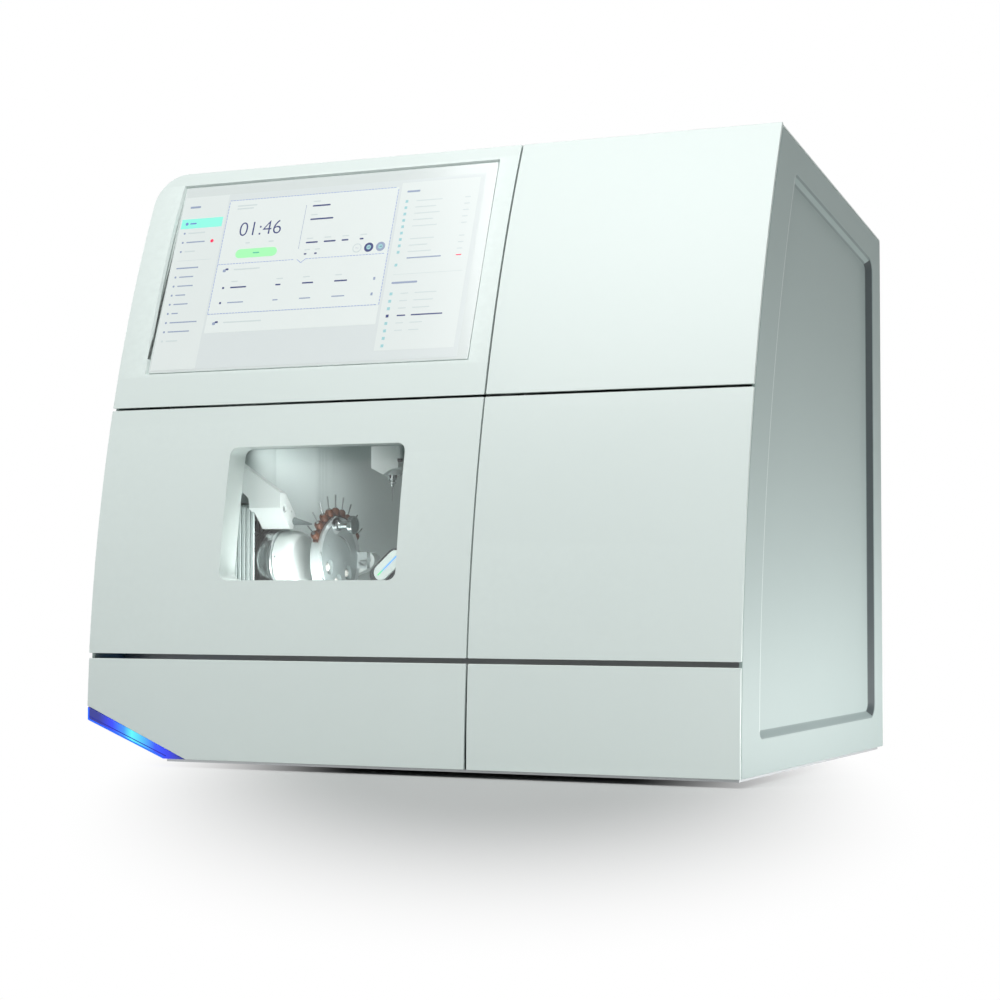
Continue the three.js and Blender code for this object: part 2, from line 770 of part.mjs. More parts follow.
function hingeBeam() {
  const y0 = arcY(bulkhead.top, bulkhead.inset);
  const z0 = bulkhead.top + fit;
  const left = -half + sidePanel.sheet + fit;
  const right = half - sidePanel.recess - sidePanel.sheet - fit;
  const tube = cut(
    block([left, right], [y0, y0 + beam.depth], [z0, z0 + beam.height]),
    block(
      [left - overrun, right + overrun],
      [y0 + beam.wall, y0 + beam.depth - beam.wall],
      [z0 + beam.wall, z0 + beam.height - beam.wall],
    ),
  );
  const lugs = [...armPlaces.window, ...armPlaces.loader].map((x) => {
    const [from, to] = lugX(x);
    const outline = polygon([
      [pivot.y, pivot.z - hinge.barrel],
      [y0 + lap, z0],
      [y0 + lap, z0 + beam.height - beam.wall],
      [pivot.y, pivot.z + hinge.barrel],
    ]);
    const lug = join(alongX(outline, from, to), rodX(hinge.barrel, [from, to], pivot.y, pivot.z));
    const bore = rodX(hinge.rod + fit, [from - overrun, to + overrun], pivot.y, pivot.z, facets.small);
    return cut(lug, bore);
  });
  return join(tube, ...lugs);
}

function hingeRod([xLeft, xRight]) {
  const span = [xLeft - hinge.side, lugX(xRight)[1] + hinge.side];
  return rodX(hinge.rod, span, pivot.y, pivot.z, facets.small);
}

const pane = {
  x: [leftSpan[0] + windowPane.leftMargin, leftSpan[1] - windowPane.rightMargin],
  z: [doorBottom + windowPane.bottomMargin, doorTop - windowPane.topMargin],
};

function paneOutline(grow) {
  return roundedRectangle(
    pane.x[0] - grow,
    pane.x[1] + grow,
    pane.z[0] - grow,
    pane.z[1] + grow,
    windowPane.corner + grow,
  );
}

function paneTunnel(grow) {
  return alongY(paneOutline(grow), front - overrun, front + depth / 2, 3);
}

function depthBand(near, far) {
  return band([leftSpan[0], leftSpan[1]], [doorBottom, doorTop], [near, far], 6);
}

// Notches that let the arms pass the return along a door's upper edge.
function armNotches(places) {
  const { skin, returnDepth, returnInset, returnWall } = shell;
  return places.map((x) =>
    band(
      [x - running, x + hinge.arm + running],
      [doorTop - returnInset - returnWall - lap, doorTop],
      [skin, returnDepth + overrun],
      2,
    ),
  );
}

function windowDoor() {
  const skin = frontCover(leftSpan, [doorBottom, doorTop], 6);
  const frame = paneTunnel(windowPane.wall).intersect(depthBand(lap, windowPane.reveal));
  return cut(join(skin, frame), paneTunnel(0), ...armNotches(armPlaces.window));
}

function windowGlass() {
  const near = windowPane.reveal + fit;
  return paneTunnel(windowPane.overlap).intersect(depthBand(near, near + windowPane.glass));
}

function doorLiner() {
  const { sheet, left, right, bottom, top: upper, depth: far } = liner;
  const z = [bottom, upper];
  const near = shell.skin + fit;
  const outside = band([left, right], z, [near, far], 6);
  const inside = band(
    [left + sheet, right - sheet],
    [z[0] + sheet, z[1] - sheet],
    [near - overrun, far - sheet],
    6,
  );
  const rimNear = windowPane.reveal + fit + windowPane.glass + fit;
  const rim = paneTunnel(windowPane.wall).intersect(depthBand(rimNear, far - lap));
  return cut(join(cut(outside, inside), rim), paneTunnel(0));
}

const linerFace = { x: [liner.left, liner.right], z: [liner.bottom, liner.top] };

function doorGasket() {
  const { width: w, inset } = gasket;
  const near = liner.depth + fit;
  const far = bulkhead.inset - fit;
  const outline = (step) =>
    roundedRectangle(
      linerFace.x[0] + step,
      linerFace.x[1] - step,
      linerFace.z[0] + step,
      linerFace.z[1] - step,
      windowPane.corner,
    );
  const ring = cut(
    alongY(outline(inset), front, front + depth / 2, 2),
    alongY(outline(inset + w), front - overrun, front + depth / 2 + overrun, 2),
  );
  return ring.intersect(depthBand(near, far));
}

function loaderDoor() {
  return cut(frontCover(rightSpan, [doorBottom, doorTop], 6), ...armNotches(armPlaces.loader));
}

function cornerCut(gap, from, to) {
  const line = stripLine(gap);
  return alongY(
    polygon([
      [-half - overrun, line.rise + overrun * line.slope],
      [-half - overrun, -overrun],
      [line.foot + (skirt + overrun) / line.slope, -overrun],
    ]),
    from,
    to,
  );
}

function drawerFront() {
  const { skin, returnDepth, returnWall, returnInset } = shell;
  const plain = frontCover(leftSpan, [skirt, lowerTop], 3);
  const rest = cut(plain, cornerCut(seam / 2, front - overrun, front + depth / 2));
  const inset = stripLine(seam / 2 + returnInset);
  const deep = stripLine(seam / 2 + returnInset + returnWall);
  const strut = alongY(
    polygon([
      [-half + returnInset, inset.rise - inset.slope * returnInset],
      [inset.foot - returnInset / inset.slope, skirt + returnInset],
      [deep.foot - returnInset / inset.slope, skirt + returnInset],
      [-half + returnInset, deep.rise - deep.slope * returnInset],
    ]),
    front,
    front + depth / 4,
  ).intersect(band(leftSpan, [skirt, lowerTop], [skin - lap, returnDepth], 6));
  return join(rest, strut);
}

const tankFront = arcY(lowerTop, shell.returnDepth) + fit;

function coolantTank() {
  const { left, right, wall, top: upper } = tank;
  const low = trayFloor + tray.railHeight + fit;
  const outer = block([left, right], [tankFront, tank.rear], [low, upper]);
  const inner = block(
    [left + wall, right - wall],
    [tankFront + wall, tank.rear - wall],
    [low + wall, upper + overrun],
  );
  const baffleY = tankFront + (tank.rear - tankFront) * tank.baffleShare;
  const baffle = block(
    [left + wall, right - wall],
    [baffleY, baffleY + wall],
    [low, low + (upper - low) * tank.baffleHeightShare],
  );
  return join(cut(outer, inner), baffle);
}

// Inner sheet metal

function frontBulkhead() {
  const { inset, sheet, sideGap, top: upper } = bulkhead;
  const right = half - sidePanel.recess - sidePanel.sheet - sideGap;
  const left = -half + sidePanel.sheet + fit + tray.sheet + fit;
  const plate = band([left, right], [trayFloor + fit, upper], [inset, inset + sheet], 9);
  const far = front + depth / 2;
  const edge = gasket.inset + gasket.width;
  const chamberHole = alongY(
    roundedRectangle(
      linerFace.x[0] + edge,
      linerFace.x[1] - edge,
      linerFace.z[0] + edge,
      linerFace.z[1] - edge,
      windowPane.corner,
    ),
    front,
    far,
    3,
  );
  const bayHole = alongY(
    roundedRectangle(
      rightSpan[0] + bayOpening.leftMargin,
      rightSpan[1] - bayOpening.rightMargin,
      linerFace.z[0] + edge,
      linerFace.z[1] - edge,
      windowPane.corner,
    ),
    front,
    far,
    3,
  );
  const drawerHole = block(
    [tank.left - gripGap, tank.right + gripGap],
    [front, far],
    [trayFloor + fit - overrun, tank.top + running],
  );
  const rightLip = block(
    [half - sidePanel.sheet - fit - tray.sheet - fit, half],
    [front, far],
    [0, trayFloor + tray.sideLip + fit],
  );
  const corner = alongY(chamferCorner(bulkhead.cornerLift), front, far);
  return cut(plate, chamberHole, bayHole, drawerHole, rightLip, corner);
}

const chamberRearY = rear - chamber.rear;
const chamberZ = [skirt + chamber.bottom, bulkhead.top - chamber.drop];
const chamberX = [chamber.left, chamber.right];

function rearBulkhead() {
  const left = -half + sidePanel.sheet + fit + tray.sheet + fit;
  const right = half - sidePanel.recess - sidePanel.sheet - bulkhead.sideGap;
  const y = [chamberRearY + fit, chamberRearY + fit + bulkhead.sheet];
  const plate = block([left, right], y, [trayFloor + fit, bulkhead.top]);
  const corner = alongY(chamferCorner(bulkhead.cornerLift), front, rear);
  const holeY = [y[0] - overrun, y[1] + overrun];
  const tankHole = block(
    [tank.left - gripGap, tank.right + gripGap],
    holeY,
    [trayFloor + fit - overrun, tank.top + running],
  );
  const rightLip = block(
    [half - sidePanel.sheet - fit - tray.sheet - fit, half],
    holeY,
    [0, trayFloor + tray.sideLip + fit],
  );
  const cableOutline = roundedRectangle(
    bay.left + cableHole.left,
    bay.left + cableHole.right,
    skirt + cableHole.bottom,
    skirt + cableHole.top,
    cableHole.corner,
  );
  return cut(plate, corner, tankHole, rightLip, alongY(cableOutline, ...holeY, 3));
}

const sleeveHollow = {
  y: [front + axisA.y - sleeve.halfWidth + sleeve.wall, front + axisA.y + sleeve.halfWidth - sleeve.wall],
  z: [skirt + axisA.z - sleeve.halfHeight + sleeve.wall, skirt + axisA.z + sleeve.halfHeight - sleeve.wall],
};
const slot = { leftReach: 26, rightReach: 42, front: 160, rear: 320 };

// An open-fronted tub whose floor falls towards a drain.
function millingChamber() {
  const { wall, drain } = chamber;
  const near = bulkhead.inset + bulkhead.sheet + fit;
  const outer = block(chamberX, [front, chamberRearY], chamberZ).intersect(behindFront(near));
  const innerZ = [chamberZ[0] + wall, chamberZ[1] - wall];
  const inner = alongY(
    polygon([
      [chamberX[0] + wall, innerZ[0] + drain],
      [(chamberX[0] + chamberX[1]) / 2, innerZ[0]],
      [chamberX[1] - wall, innerZ[0] + drain],
      [chamberX[1] - wall, innerZ[1]],
      [chamberX[0] + wall, innerZ[1]],
    ]),
    front - overrun,
    chamberRearY - wall,
  );
  const roofSlot = block(
    [spindle.x - slot.leftReach, spindle.x + slot.rightReach],
    [front + slot.front, front + slot.rear],
    [innerZ[1] - overrun, chamberZ[1] + overrun],
  );
  const wallX = [chamberX[0] - overrun, chamberX[0] + wall + overrun];
  const axisHole = block(wallX, sleeveHollow.y, sleeveHollow.z);
  const drainHole = rodZ(
    drain,
    [chamberZ[0] - overrun, innerZ[0] + overrun],
    (chamberX[0] + chamberX[1]) / 2,
    front + axisA.y,
    facets.medium,
  );
  return cut(outer, inner, roofSlot, axisHole, drainHole);
}

// A ribbed rectangular sleeve that covers the rotary unit's guide.
function wayCover() {
  const { halfWidth, halfHeight, fold, groove } = sleeve;
  const left = chamberX[0] + chamber.wall + fit;
  const right = chamber.left + sleeve.length;
  const y = front + axisA.y;
  const z = skirt + axisA.z;
  const core = block(
    [left, right],
    [y - halfWidth + groove, y + halfWidth - groove],
    [z - halfHeight + groove, z + halfHeight - groove],
  );
  const count = Math.floor((right - left) / fold);
  const pitch = (right - left) / count;
  const margin = (pitch * sleeve.grooveShare) / 2;
  const ribs = Array.from({ length: count }, (_, i) =>
    block(
      [left + i * pitch + margin, left + (i + 1) * pitch - margin],
      [y - halfWidth, y + halfWidth],
      [z - halfHeight, z + halfHeight],
    ),
  );
  const hollow = block([left - overrun, right + overrun], sleeveHollow.y, sleeveHollow.z);
  return cut(join(core, ...ribs), hollow);
}

// A cast block on the left wall whose slanting nose carries the blow-off nozzle. Its front hides the sleeve's top.
// X runs from the chamber's left wall, Y from the machine's front and Z from the skirt.
const noseBlock = {
  front: 180,
  apron: 184.5,
  plate: 193,
  bulge: 219,
  chamferY: 205,
  footY: 212,
  chamferZ: 293,
  topZ: 312,
  bulgeZ: 284,
};
const noseOutline = {
  wallTop: 379,
  shoulderX: 36,
  shoulderZ: 367,
  end: 121,
  endTop: 311,
  bottom: 268,
  heelX: 92,
  notchX: 79,
  notchZ: 285,
  brinkX: 76.5,
  brinkZ: 305,
  apronX: 69,
  apronZ: 312,
  apronWallZ: 321,
};
const nozzle = { root: 4.5, tip: 1, y: 215, z: 278, length: 25 };

function nozzleBlock() {
  const o = noseOutline;
  const b = noseBlock;
  const left = chamberX[0] + chamber.wall + fit;
  const wall = chamber.left;
  const outline = polygon([
    [left, skirt + o.apronWallZ],
    [wall + o.apronX, skirt + o.apronZ],
    [wall + o.brinkX, skirt + o.brinkZ],
    [wall + o.notchX, skirt + o.notchZ],
    [wall + o.heelX, skirt + o.bottom],
    [wall + o.end, skirt + o.bottom],
    [wall + o.end, skirt + o.endTop],
    [wall + o.shoulderX, skirt + o.shoulderZ],
    [left, skirt + o.wallTop],
  ]);
  const section = polygon([
    [front + b.front, skirt + b.chamferZ],
    [front + b.chamferY, skirt + o.bottom],
    [front + b.footY, skirt + o.bottom],
    [front + b.bulge, skirt + b.bulgeZ],
    [front + b.plate, skirt + b.topZ],
    [front + b.plate, skirt + o.wallTop],
    [front + b.front, skirt + o.wallTop],
  ]);
  const length = alongX(section, left, wall + o.end);
  const casting = alongY(outline, front + b.front, front + b.bulge).intersect(length);
  const clearOfSleeve = block(
    [left - overrun, chamber.left + sleeve.length + lap],
    [front + b.apron, front + b.bulge + overrun],
    [skirt, skirt + axisA.z + sleeve.halfHeight + running],
  );
  const cone = rodX(
    nozzle.root,
    [wall + o.end - lap, wall + o.end + nozzle.length],
    front + nozzle.y,
    skirt + nozzle.z,
    facets.small,
    nozzle.tip,
  );
  return join(cut(casting, clearOfSleeve), cone);
}

const lamp = { rightMargin: 114, y: 120, z: 220, length: 44, radius: 11, depth: 20, tiltAngle: 42, post: 6 };
lamp.x = chamber.right - lamp.rightMargin;
lamp.base = 12;
lamp.baseHeight = 6;

// The height of the chamber's floor, which rises from its middle to both sides.
function chamberFloor(x) {
  const middle = (chamberX[0] + chamberX[1]) / 2;
  const share = Math.abs(x - middle) / (chamberX[1] - chamber.wall - middle);
  return chamberZ[0] + chamber.wall + chamber.drain * share;
}

// A capsule-shaped lamp head, tilted on a post that stands on the chamber's floor.
function chamberLamp() {
  const { length, radius, depth: thick, tiltAngle, post } = lamp;
  const y = front + lamp.y;
  const z = skirt + lamp.z;
  const outline = new THREE.Shape();
  outline.absarc(length / 2 - radius, 0, radius, -Math.PI / 2, Math.PI / 2, false);
  outline.absarc(-length / 2 + radius, 0, radius, Math.PI / 2, Math.PI * 1.5, false);
  outline.closePath();
  const head = alongY(outline, -thick / 2, thick / 2, 8).rotate([0, -tiltAngle, 0]).translate([lamp.x, y, z]);
  const floorZ = chamberFloor(lamp.x);
  const stem = rodZ(post, [floorZ - overrun, z], lamp.x, y, facets.small);
  const base = rodZ(lamp.base, [floorZ - overrun, floorZ + lamp.baseHeight], lamp.x, y, facets.small);
  const under = alongY(
    polygon([
      [lamp.x - lamp.length, chamberFloor(lamp.x - lamp.length) + fit],
      [lamp.x - lamp.length, 0],
      [lamp.x + lamp.length, 0],
      [lamp.x + lamp.length, chamberFloor(lamp.x + lamp.length) + fit],
    ]),
    front,
    rear,
  );
  return join(head, cut(join(stem, base), under));
}

// Blank bay and rack

function loaderBay() {
  const { left, right, wall } = bay;
  const near = bulkhead.inset + bulkhead.sheet + fit;
  const outer = block([left, right], [front, chamberRearY], chamberZ).intersect(behindFront(near));
  const inner = block(
    [left + wall, right - wall],
    [front - overrun, chamberRearY - wall],
    [chamberZ[0] + wall, chamberZ[1] - wall],
  );
  return cut(outer, inner);
}

const rack = { leftMargin: 22, pitch: 26, slots: 6, height: 34, width: 112, groove: 4, floor: 8 };
rack.left = bay.left + rack.leftMargin;
const storedBlank = { radius: 49.2, thickness: 16, step: 2, rimShare: 0.5 };
const rackY = front + axisA.y;
const rackZ = chamberZ[0] + chamber.wall + fit;
const discZ = rackZ + rack.floor + storedBlank.radius + fit;
const slotX = (i) => rack.left + rack.pitch * (i + 0.5);

function blankRack() {
  const { left, pitch, slots, height, width: w, groove } = rack;
  const bed = block([left, left + pitch * slots], [rackY - w / 2, rackY + w / 2], [rackZ, rackZ + height]);
  const length = [left - overrun, left + pitch * slots + overrun];
  const trough = rodX(storedBlank.radius - groove, length, rackY, discZ);
  const grooves = Array.from({ length: slots }, (_, i) =>
    rodX(
      storedBlank.radius + fit,
      [slotX(i) - storedBlank.thickness / 2 - fit, slotX(i) + storedBlank.thickness / 2 + fit],
      rackY,
      discZ,
    ),
  );
  return cut(bed, trough, ...grooves);
}

function storedDisc(i) {
  const { radius, thickness, step, rimShare } = storedBlank;
  const x = slotX(i);
  const rimHalf = (thickness * rimShare) / 2;
  const rim = rodX(radius, [x - rimHalf, x + rimHalf], rackY, discZ);
  const core = rodX(radius - step, [x - thickness / 2, x + thickness / 2], rackY, discZ);
  return join(rim, core);
}

// Rotary unit, from the left wall inwards

const axisY = front + axisA.y;
const axisZ = skirt + axisA.z;
const guide = { plate: 4, rod: 5, y: 31, z: 55, reach: 54 };
guide.right = chamber.left + guide.reach;
const carriage = { length: 60, width: 76, height: 124, blockLength: 28, nose: 36 };

function slideGuide() {
  const left = -half + sidePanel.sheet + fit;
  const plate = block(
    [left, left + guide.plate],
    [sleeveHollow.y[0], sleeveHollow.y[1]],
    [sleeveHollow.z[0], sleeveHollow.z[1]],
  );
  const rods = corners(guide.y, guide.z).map(([y, z]) =>
    rodX(guide.rod, [left, guide.right], axisY + y, axisZ + z, facets.small),
  );
  return join(plate, ...rods);
}

const corners = (a, b) => [
  [-a, -b],
  [a, -b],
  [a, b],
  [-a, b],
];

const carriageX = [hub.left - fit - carriage.length, hub.left - fit];

// A guide block with a round nose that comes out of the sleeve.
function rotaryCarriage() {
  const { width: w, height: h, blockLength, nose } = carriage;
  const blockX = [carriageX[0], carriageX[0] + blockLength];
  const guideBlock = block(blockX, [axisY - w / 2, axisY + w / 2], [axisZ - h / 2, axisZ + h / 2]);
  const noseRod = rodX(nose, [carriageX[0] + blockLength - lap, carriageX[1]], axisY, axisZ, facets.large);
  const through = [carriageX[0] - overrun, carriageX[1] + overrun];
  const bores = corners(guide.y, guide.z).map(([y, z]) =>
    rodX(guide.rod + fit, through, axisY + y, axisZ + z, facets.small),
  );
  const bore = rodX(hub.shaft + fit, through, axisY, axisZ, facets.large);
  return cut(join(guideBlock, noseRod), ...bores, bore);
}

function rotaryHub() {
  const { radius, left, right, shaft, shaftLength } = hub;
  const drum = rodX(radius, [left, right - fit], axisY, axisZ, facets.large);
  const flange = rodX(radius + lap, [right - fit - hub.rim, right - fit], axisY, axisZ, facets.large);
  return join(drum, flange, rodX(shaft, [left - shaftLength, left + lap], axisY, axisZ, facets.large));
}

const armY = [axisY + arm.gap / 2, axisY + arm.gap / 2 + arm.thickness];

// A round body with one tapering arm, behind the blank, that holds the clamp's pivot.
function swivelArm() {
  const drum = rodX(body.radius, [hub.right, body.right], axisY, axisZ, facets.large);
  const { rootHalf, tipRadius, pin } = arm;
  const low = axisZ - rootHalf;
  const high = axisZ + body.radius / 2;
  const web = block([hub.right, body.right], [axisY, armY[1]], [low, high]);
  const outline = filleted([
    [hub.right, low, 0],
    [body.right, low, 0],
    [axisB.x + tipRadius, axisZ - tipRadius, tipRadius - lap],
    [axisB.x + tipRadius, axisZ + tipRadius, tipRadius - lap],
    [body.right, high, 0],
    [hub.right, high, 0],
  ]);
  const bore = rodY(pin + fit, [armY[0] - overrun, armY[1] + overrun], axisB.x, axisZ);
  return cut(join(drum, web, alongY(outline, ...armY, 5)), bore);
}

// A ring with a pivot shaft behind it and the seat of its thumb screw.
function blankClamp() {
  const { x, outer, inner, thickness, lip, earHalf } = clamp;
  const span = [x - thickness / 2, x + thickness / 2];
  const disc = rodX(outer, span, axisY, axisZ, facets.large);
  const hole = rodX(inner, [span[0] + lip, span[1] + overrun], axisY, axisZ, facets.large);
  const back = rodX(inner - lip, [span[0] - overrun, span[1]], axisY, axisZ, facets.large);
  const pin = rodY(arm.pin, [axisY + inner + lap, armY[1] - lap], axisB.x, axisZ);
  const ear = block(
    [x, axisB.x + arm.pin],
    [axisY + inner + lap, armY[0] - running],
    [axisZ - earHalf, axisZ + earHalf],
  );
  const seatY = axisY - screw.y;
  const seatZ = axisZ + screw.z;
  const seat = rodX(screw.head, span, seatY, seatZ);
  const screwBore = rodX(screw.neck + fit, [span[0] - overrun, span[1] + overrun], seatY, seatZ);
  return cut(join(cut(disc, hole, back), pin, ear, seat), screwBore);
}

// A milled blank with three crowns still in it.
function millingBlank() {
  const { radius, thickness, crownCut, crown, crownPlaceShare, bridge, bridgeHalf } = blank;
  const low = clamp.x - clamp.thickness / 2 + clamp.lip + fit;
  const span = [low, low + thickness];
  const disc = rodX(radius, span, axisY, axisZ, facets.large);
  const through = [span[0] - overrun, span[1] + overrun];
  const pockets = blank.crownAngles.map((degrees) => {
    const angle = THREE.MathUtils.degToRad(degrees);
    const y = axisY + radius * crownPlaceShare * Math.cos(angle);
    const z = axisZ + radius * crownPlaceShare * Math.sin(angle);
    const left = rodX(crown, [through[0] - lap, through[1] + lap], y, z, facets.small);
    const ring = cut(rodX(crownCut, through, y, z, facets.small), left);
    return cut(ring, block(through, [y - bridgeHalf, y + bridgeHalf], [z - bridge, z + bridge]));
  });
  const seat = rodX(screw.head + fit, through, axisY - screw.y, axisZ + screw.z, facets.medium);
  return cut(disc, ...pockets, seat);
}

// The thumb screw: a neck between a washer and a round head.
function clampScrew() {
  const y = axisY - screw.y;
  const z = axisZ + screw.z;
  const face = clamp.x + clamp.thickness / 2;
  const washer = rodX(screw.flange, [face + fit, face + fit + screw.flangeLength], y, z, facets.medium);
  const neckEnd = face + screw.neckLength;
  const neck = rodX(screw.neck, [face - clamp.thickness, neckEnd + lap], y, z, facets.medium);
  const head = rodX(screw.head, [neckEnd, neckEnd + screw.headLength], y, z, facets.large);
  return join(neck, washer, head);
}

// Copper-coloured collars on a rail round the clamp's rim, each with a bur standing out radially.
function toolCollars() {
  const { radius, thickness, collar: size, pin, pinLength, count } = toolRing;
  const a = THREE.MathUtils.degToRad(toolRing.firstAngle);
  const b = THREE.MathUtils.degToRad(toolRing.lastAngle);
  const shape = new THREE.Shape();
  shape.absarc(axisY, axisZ, radius - size + lap, a, b, false);
  shape.absarc(axisY, axisZ, clamp.outer - lap, b, a, true);
  shape.closePath();
  const rail = alongX(shape, clamp.x - thickness / 2, clamp.x + thickness / 2, 6);
  const collars = Array.from({ length: count }, (_, i) => {
    const angle = a + ((b - a) * (i + 0.5)) / count;
    const collar = rodY(size, [radius - size - lap, radius + size / 2], clamp.x, 0, facets.small);
    const bur = rodY(pin, [radius, radius + pinLength], clamp.x, 0, facets.tiny);
    return join(collar, bur)
      .rotate([THREE.MathUtils.radToDeg(angle), 0, 0])
      .translate([0, axisY, axisZ]);
  });
  const clearX = [clamp.x - thickness, clamp.x + thickness];
  const clearOfClamp = rodX(clamp.outer + fit, clearX, axisY, axisZ, facets.large);
  const clearOfSeat = rodX(screw.head + fit, clearX, axisY - screw.y, axisZ + screw.z, facets.medium);
  return cut(join(rail, ...collars), clearOfClamp, clearOfSeat);
}

// Spindle and its slides

const spindleX = spindle.x;
const spindleY = front + spindle.y;
const housing = { leftReach: 18.5, rightReach: 18, front: 210, rear: 250, top: 545 };
housing.left = spindleX - housing.leftReach;
housing.right = spindleX + housing.rightReach;
housing.collar = 10;
housing.bore = 7;
housing.boreDepth = 60;
const vee = { leftZ: 340, tipX: 16, tipZ: 332, shoulderX: 26, shoulderZ: 338, rightZ: 340 };
const zRail = { width: 14, depth: 6, top: 590 };
const carriageBlock = { plate: 12, front: 200, rear: 262, bottom: 446, top: 590 };
const gantry = { rail: 12, plate: 10, front: 162, rear: 420, lowRail: 462, highRail: 556, top: 590 };
gantry.flange = 44;
gantry.bearing = 6;
const coolant = { reach: 24.5, y: 202, root: 4.2, tip: 3, top: 384, neck: 372, bottom: 346 };
coolant.x = spindleX + coolant.reach;
const shaft = { radius: 6.7, nose: 6.4, neck: 3.4, nut: 5.2, nutFace: 3.6 };
shaft.bottom = 313;
shaft.nutLow = 316;
shaft.nutHigh = 319;
shaft.neckLow = 320;
shaft.neckHigh = 321.5;
shaft.noseLow = 323;
shaft.noseHigh = 331;
shaft.shoulder = 333;
shaft.top = 400;
const bur = { tip: 300, point: 0.7, pointRise: 0.6, cutter: 1.1, cutterLength: 8, shank: 1.5, taper: 1 };

function spindleHousing() {
  const y = [front + housing.front, front + housing.rear];
  const outline = polygon([
    [housing.left, skirt + vee.leftZ],
    [housing.left + vee.tipX, skirt + vee.tipZ],
    [housing.left + vee.shoulderX, skirt + vee.shoulderZ],
    [housing.right, skirt + vee.rightZ],
    [housing.right, skirt + housing.top],
    [housing.left, skirt + housing.top],
  ]);
  const casting = alongY(outline, ...y);
  const collar = rodZ(housing.collar, [skirt + vee.tipZ, skirt + vee.rightZ + overrun], spindleX, spindleY);
  const boreZ = [skirt + vee.tipZ - overrun, skirt + vee.rightZ + housing.boreDepth];
  const bore = rodZ(housing.bore, boreZ, spindleX, spindleY);
  const groove = block(
    [housing.right - zRail.depth, housing.right + overrun],
    [spindleY - zRail.width / 2 - fit, spindleY + zRail.width / 2 + fit],
    [skirt + vee.leftZ + carriageBlock.plate, skirt + housing.top + overrun],
  );
  const arm = block(
    [housing.right - lap, coolant.x + coolant.root],
    [front + coolant.y - coolant.root, front + housing.front + coolant.root],
    [skirt + coolant.neck, skirt + coolant.top],
  );
  const hose = rodZ(
    coolant.tip,
    [skirt + coolant.bottom, skirt + coolant.neck + lap],
    coolant.x,
    front + coolant.y,
    facets.medium,
    coolant.root,
  );
  return join(cut(join(casting, collar), bore, groove), arm, hose);
}

// Rotor, collet nut and chuck, turned as one piece.
function spindleShaft() {
  const { radius, nose, neck, nut, nutFace, bottom, nutLow, nutHigh, neckLow, neckHigh } = shaft;
  return turnedOnSpindle(
    [
      [0, bottom],
      [nutFace, bottom],
      [nut, nutLow],
      [nut, nutHigh],
      [neck, neckLow],
      [neck, neckHigh],
      [nose, shaft.noseLow],
      [nose, shaft.noseHigh],
      [radius, shaft.shoulder],
      [radius, shaft.top],
      [0, shaft.top],
    ],
    facets.medium,
  );
}

function turnedOnSpindle(outline, sides) {
  const profile = outline.map(([r, z]) => new THREE.Vector2(r, z));
  const lathe = new THREE.LatheGeometry(profile, sides).rotateX(Math.PI / 2);
  return toSolid(lathe).translate([spindleX, spindleY, skirt]);
}

function millingBur() {
  const { tip, point, pointRise, cutter, cutterLength, shank, taper } = bur;
  return turnedOnSpindle(
    [
      [0, tip],
      [point, tip + pointRise],
      [cutter, tip + cutterLength],
      [shank, tip + cutterLength + taper],
      [shank, shaft.bottom - fit],
      [0, shaft.bottom - fit],
    ],
    facets.small,
  );
}

function spindleCarriage() {
  const { plate, front: near, rear: far, bottom, top: upper } = carriageBlock;
  const face = housing.right + fit;
  const back = face + plate;
  const slab = block([face, back], [front + near, front + far], [skirt + bottom, skirt + upper]);
  const rail = block(
    [face - zRail.depth, face + lap],
    [spindleY - zRail.width / 2, spindleY + zRail.width / 2],
    [skirt + bottom, skirt + zRail.top],
  );
  const bearings = [gantry.lowRail, gantry.highRail].map((z) => {
    const bearing = block(
      [back - lap, back + gantry.rail],
      [front + near, front + far],
      [skirt + z - gantry.bearing, skirt + z + gantry.rail + gantry.bearing],
    );
    const groove = block(
      [back + fit, back + gantry.rail + overrun],
      [front + near - overrun, front + far + overrun],
      [skirt + z - fit, skirt + z + gantry.rail + fit],
    );
    return cut(bearing, groove);
  });
  return join(slab, rail, ...bearings);
}

function gantryFrame() {
  const back = housing.right + fit + carriageBlock.plate;
  const railX = [back + fit + fit, back + gantry.rail + fit + lap];
  const plateX = [back + gantry.rail + fit, back + gantry.rail + fit + gantry.plate];
  const y = [front + gantry.front, front + gantry.rear];
  const footZ = chamberZ[1] + fit;
  const plate = block(plateX, y, [footZ, skirt + gantry.top]);
  const flange = block([plateX[0], plateX[0] + gantry.flange], y, [footZ, footZ + gantry.plate]);
  const rails = [gantry.lowRail, gantry.highRail].map((z) =>
    block(railX, y, [skirt + z, skirt + z + gantry.rail]),
  );
  const ribOutline = polygon([
    [plateX[0] + lap, footZ],
    [plateX[0] + gantry.flange, footZ],
    [plateX[1], skirt + gantry.top],
    [plateX[0] + lap, skirt + gantry.top],
  ]);
  const ribs = [y[0], y[1] - gantry.plate].map((at) => alongY(ribOutline, at, at + gantry.plate));
  return join(plate, flange, ...rails, ...ribs);
}

// Services

const control = { leftMargin: 30, rightMargin: 14, front: 230, rear: 430, height: 120 };
control.fin = 3;
control.finHeight = 14;
control.left = bay.left + control.leftMargin;
control.right = bay.right - control.rightMargin;
control.finCount = 12;

function controlBox() {
  const z = chamberZ[1] + fit;
  const box = block(
    [control.left, control.right],
    [front + control.front, front + control.rear],
    [z, z + control.height],
  );
  const pitch = (control.right - control.left) / control.finCount;
  const fins = Array.from({ length: control.finCount }, (_, i) =>
    block(
      [control.left + pitch * (i + 0.5), control.left + pitch * (i + 0.5) + control.fin],
      [front + control.front + control.finHeight, front + control.rear - control.finHeight],
      [z + control.height - lap, z + control.height + control.finHeight],
    ),
  );
  return join(box, ...fins);
}

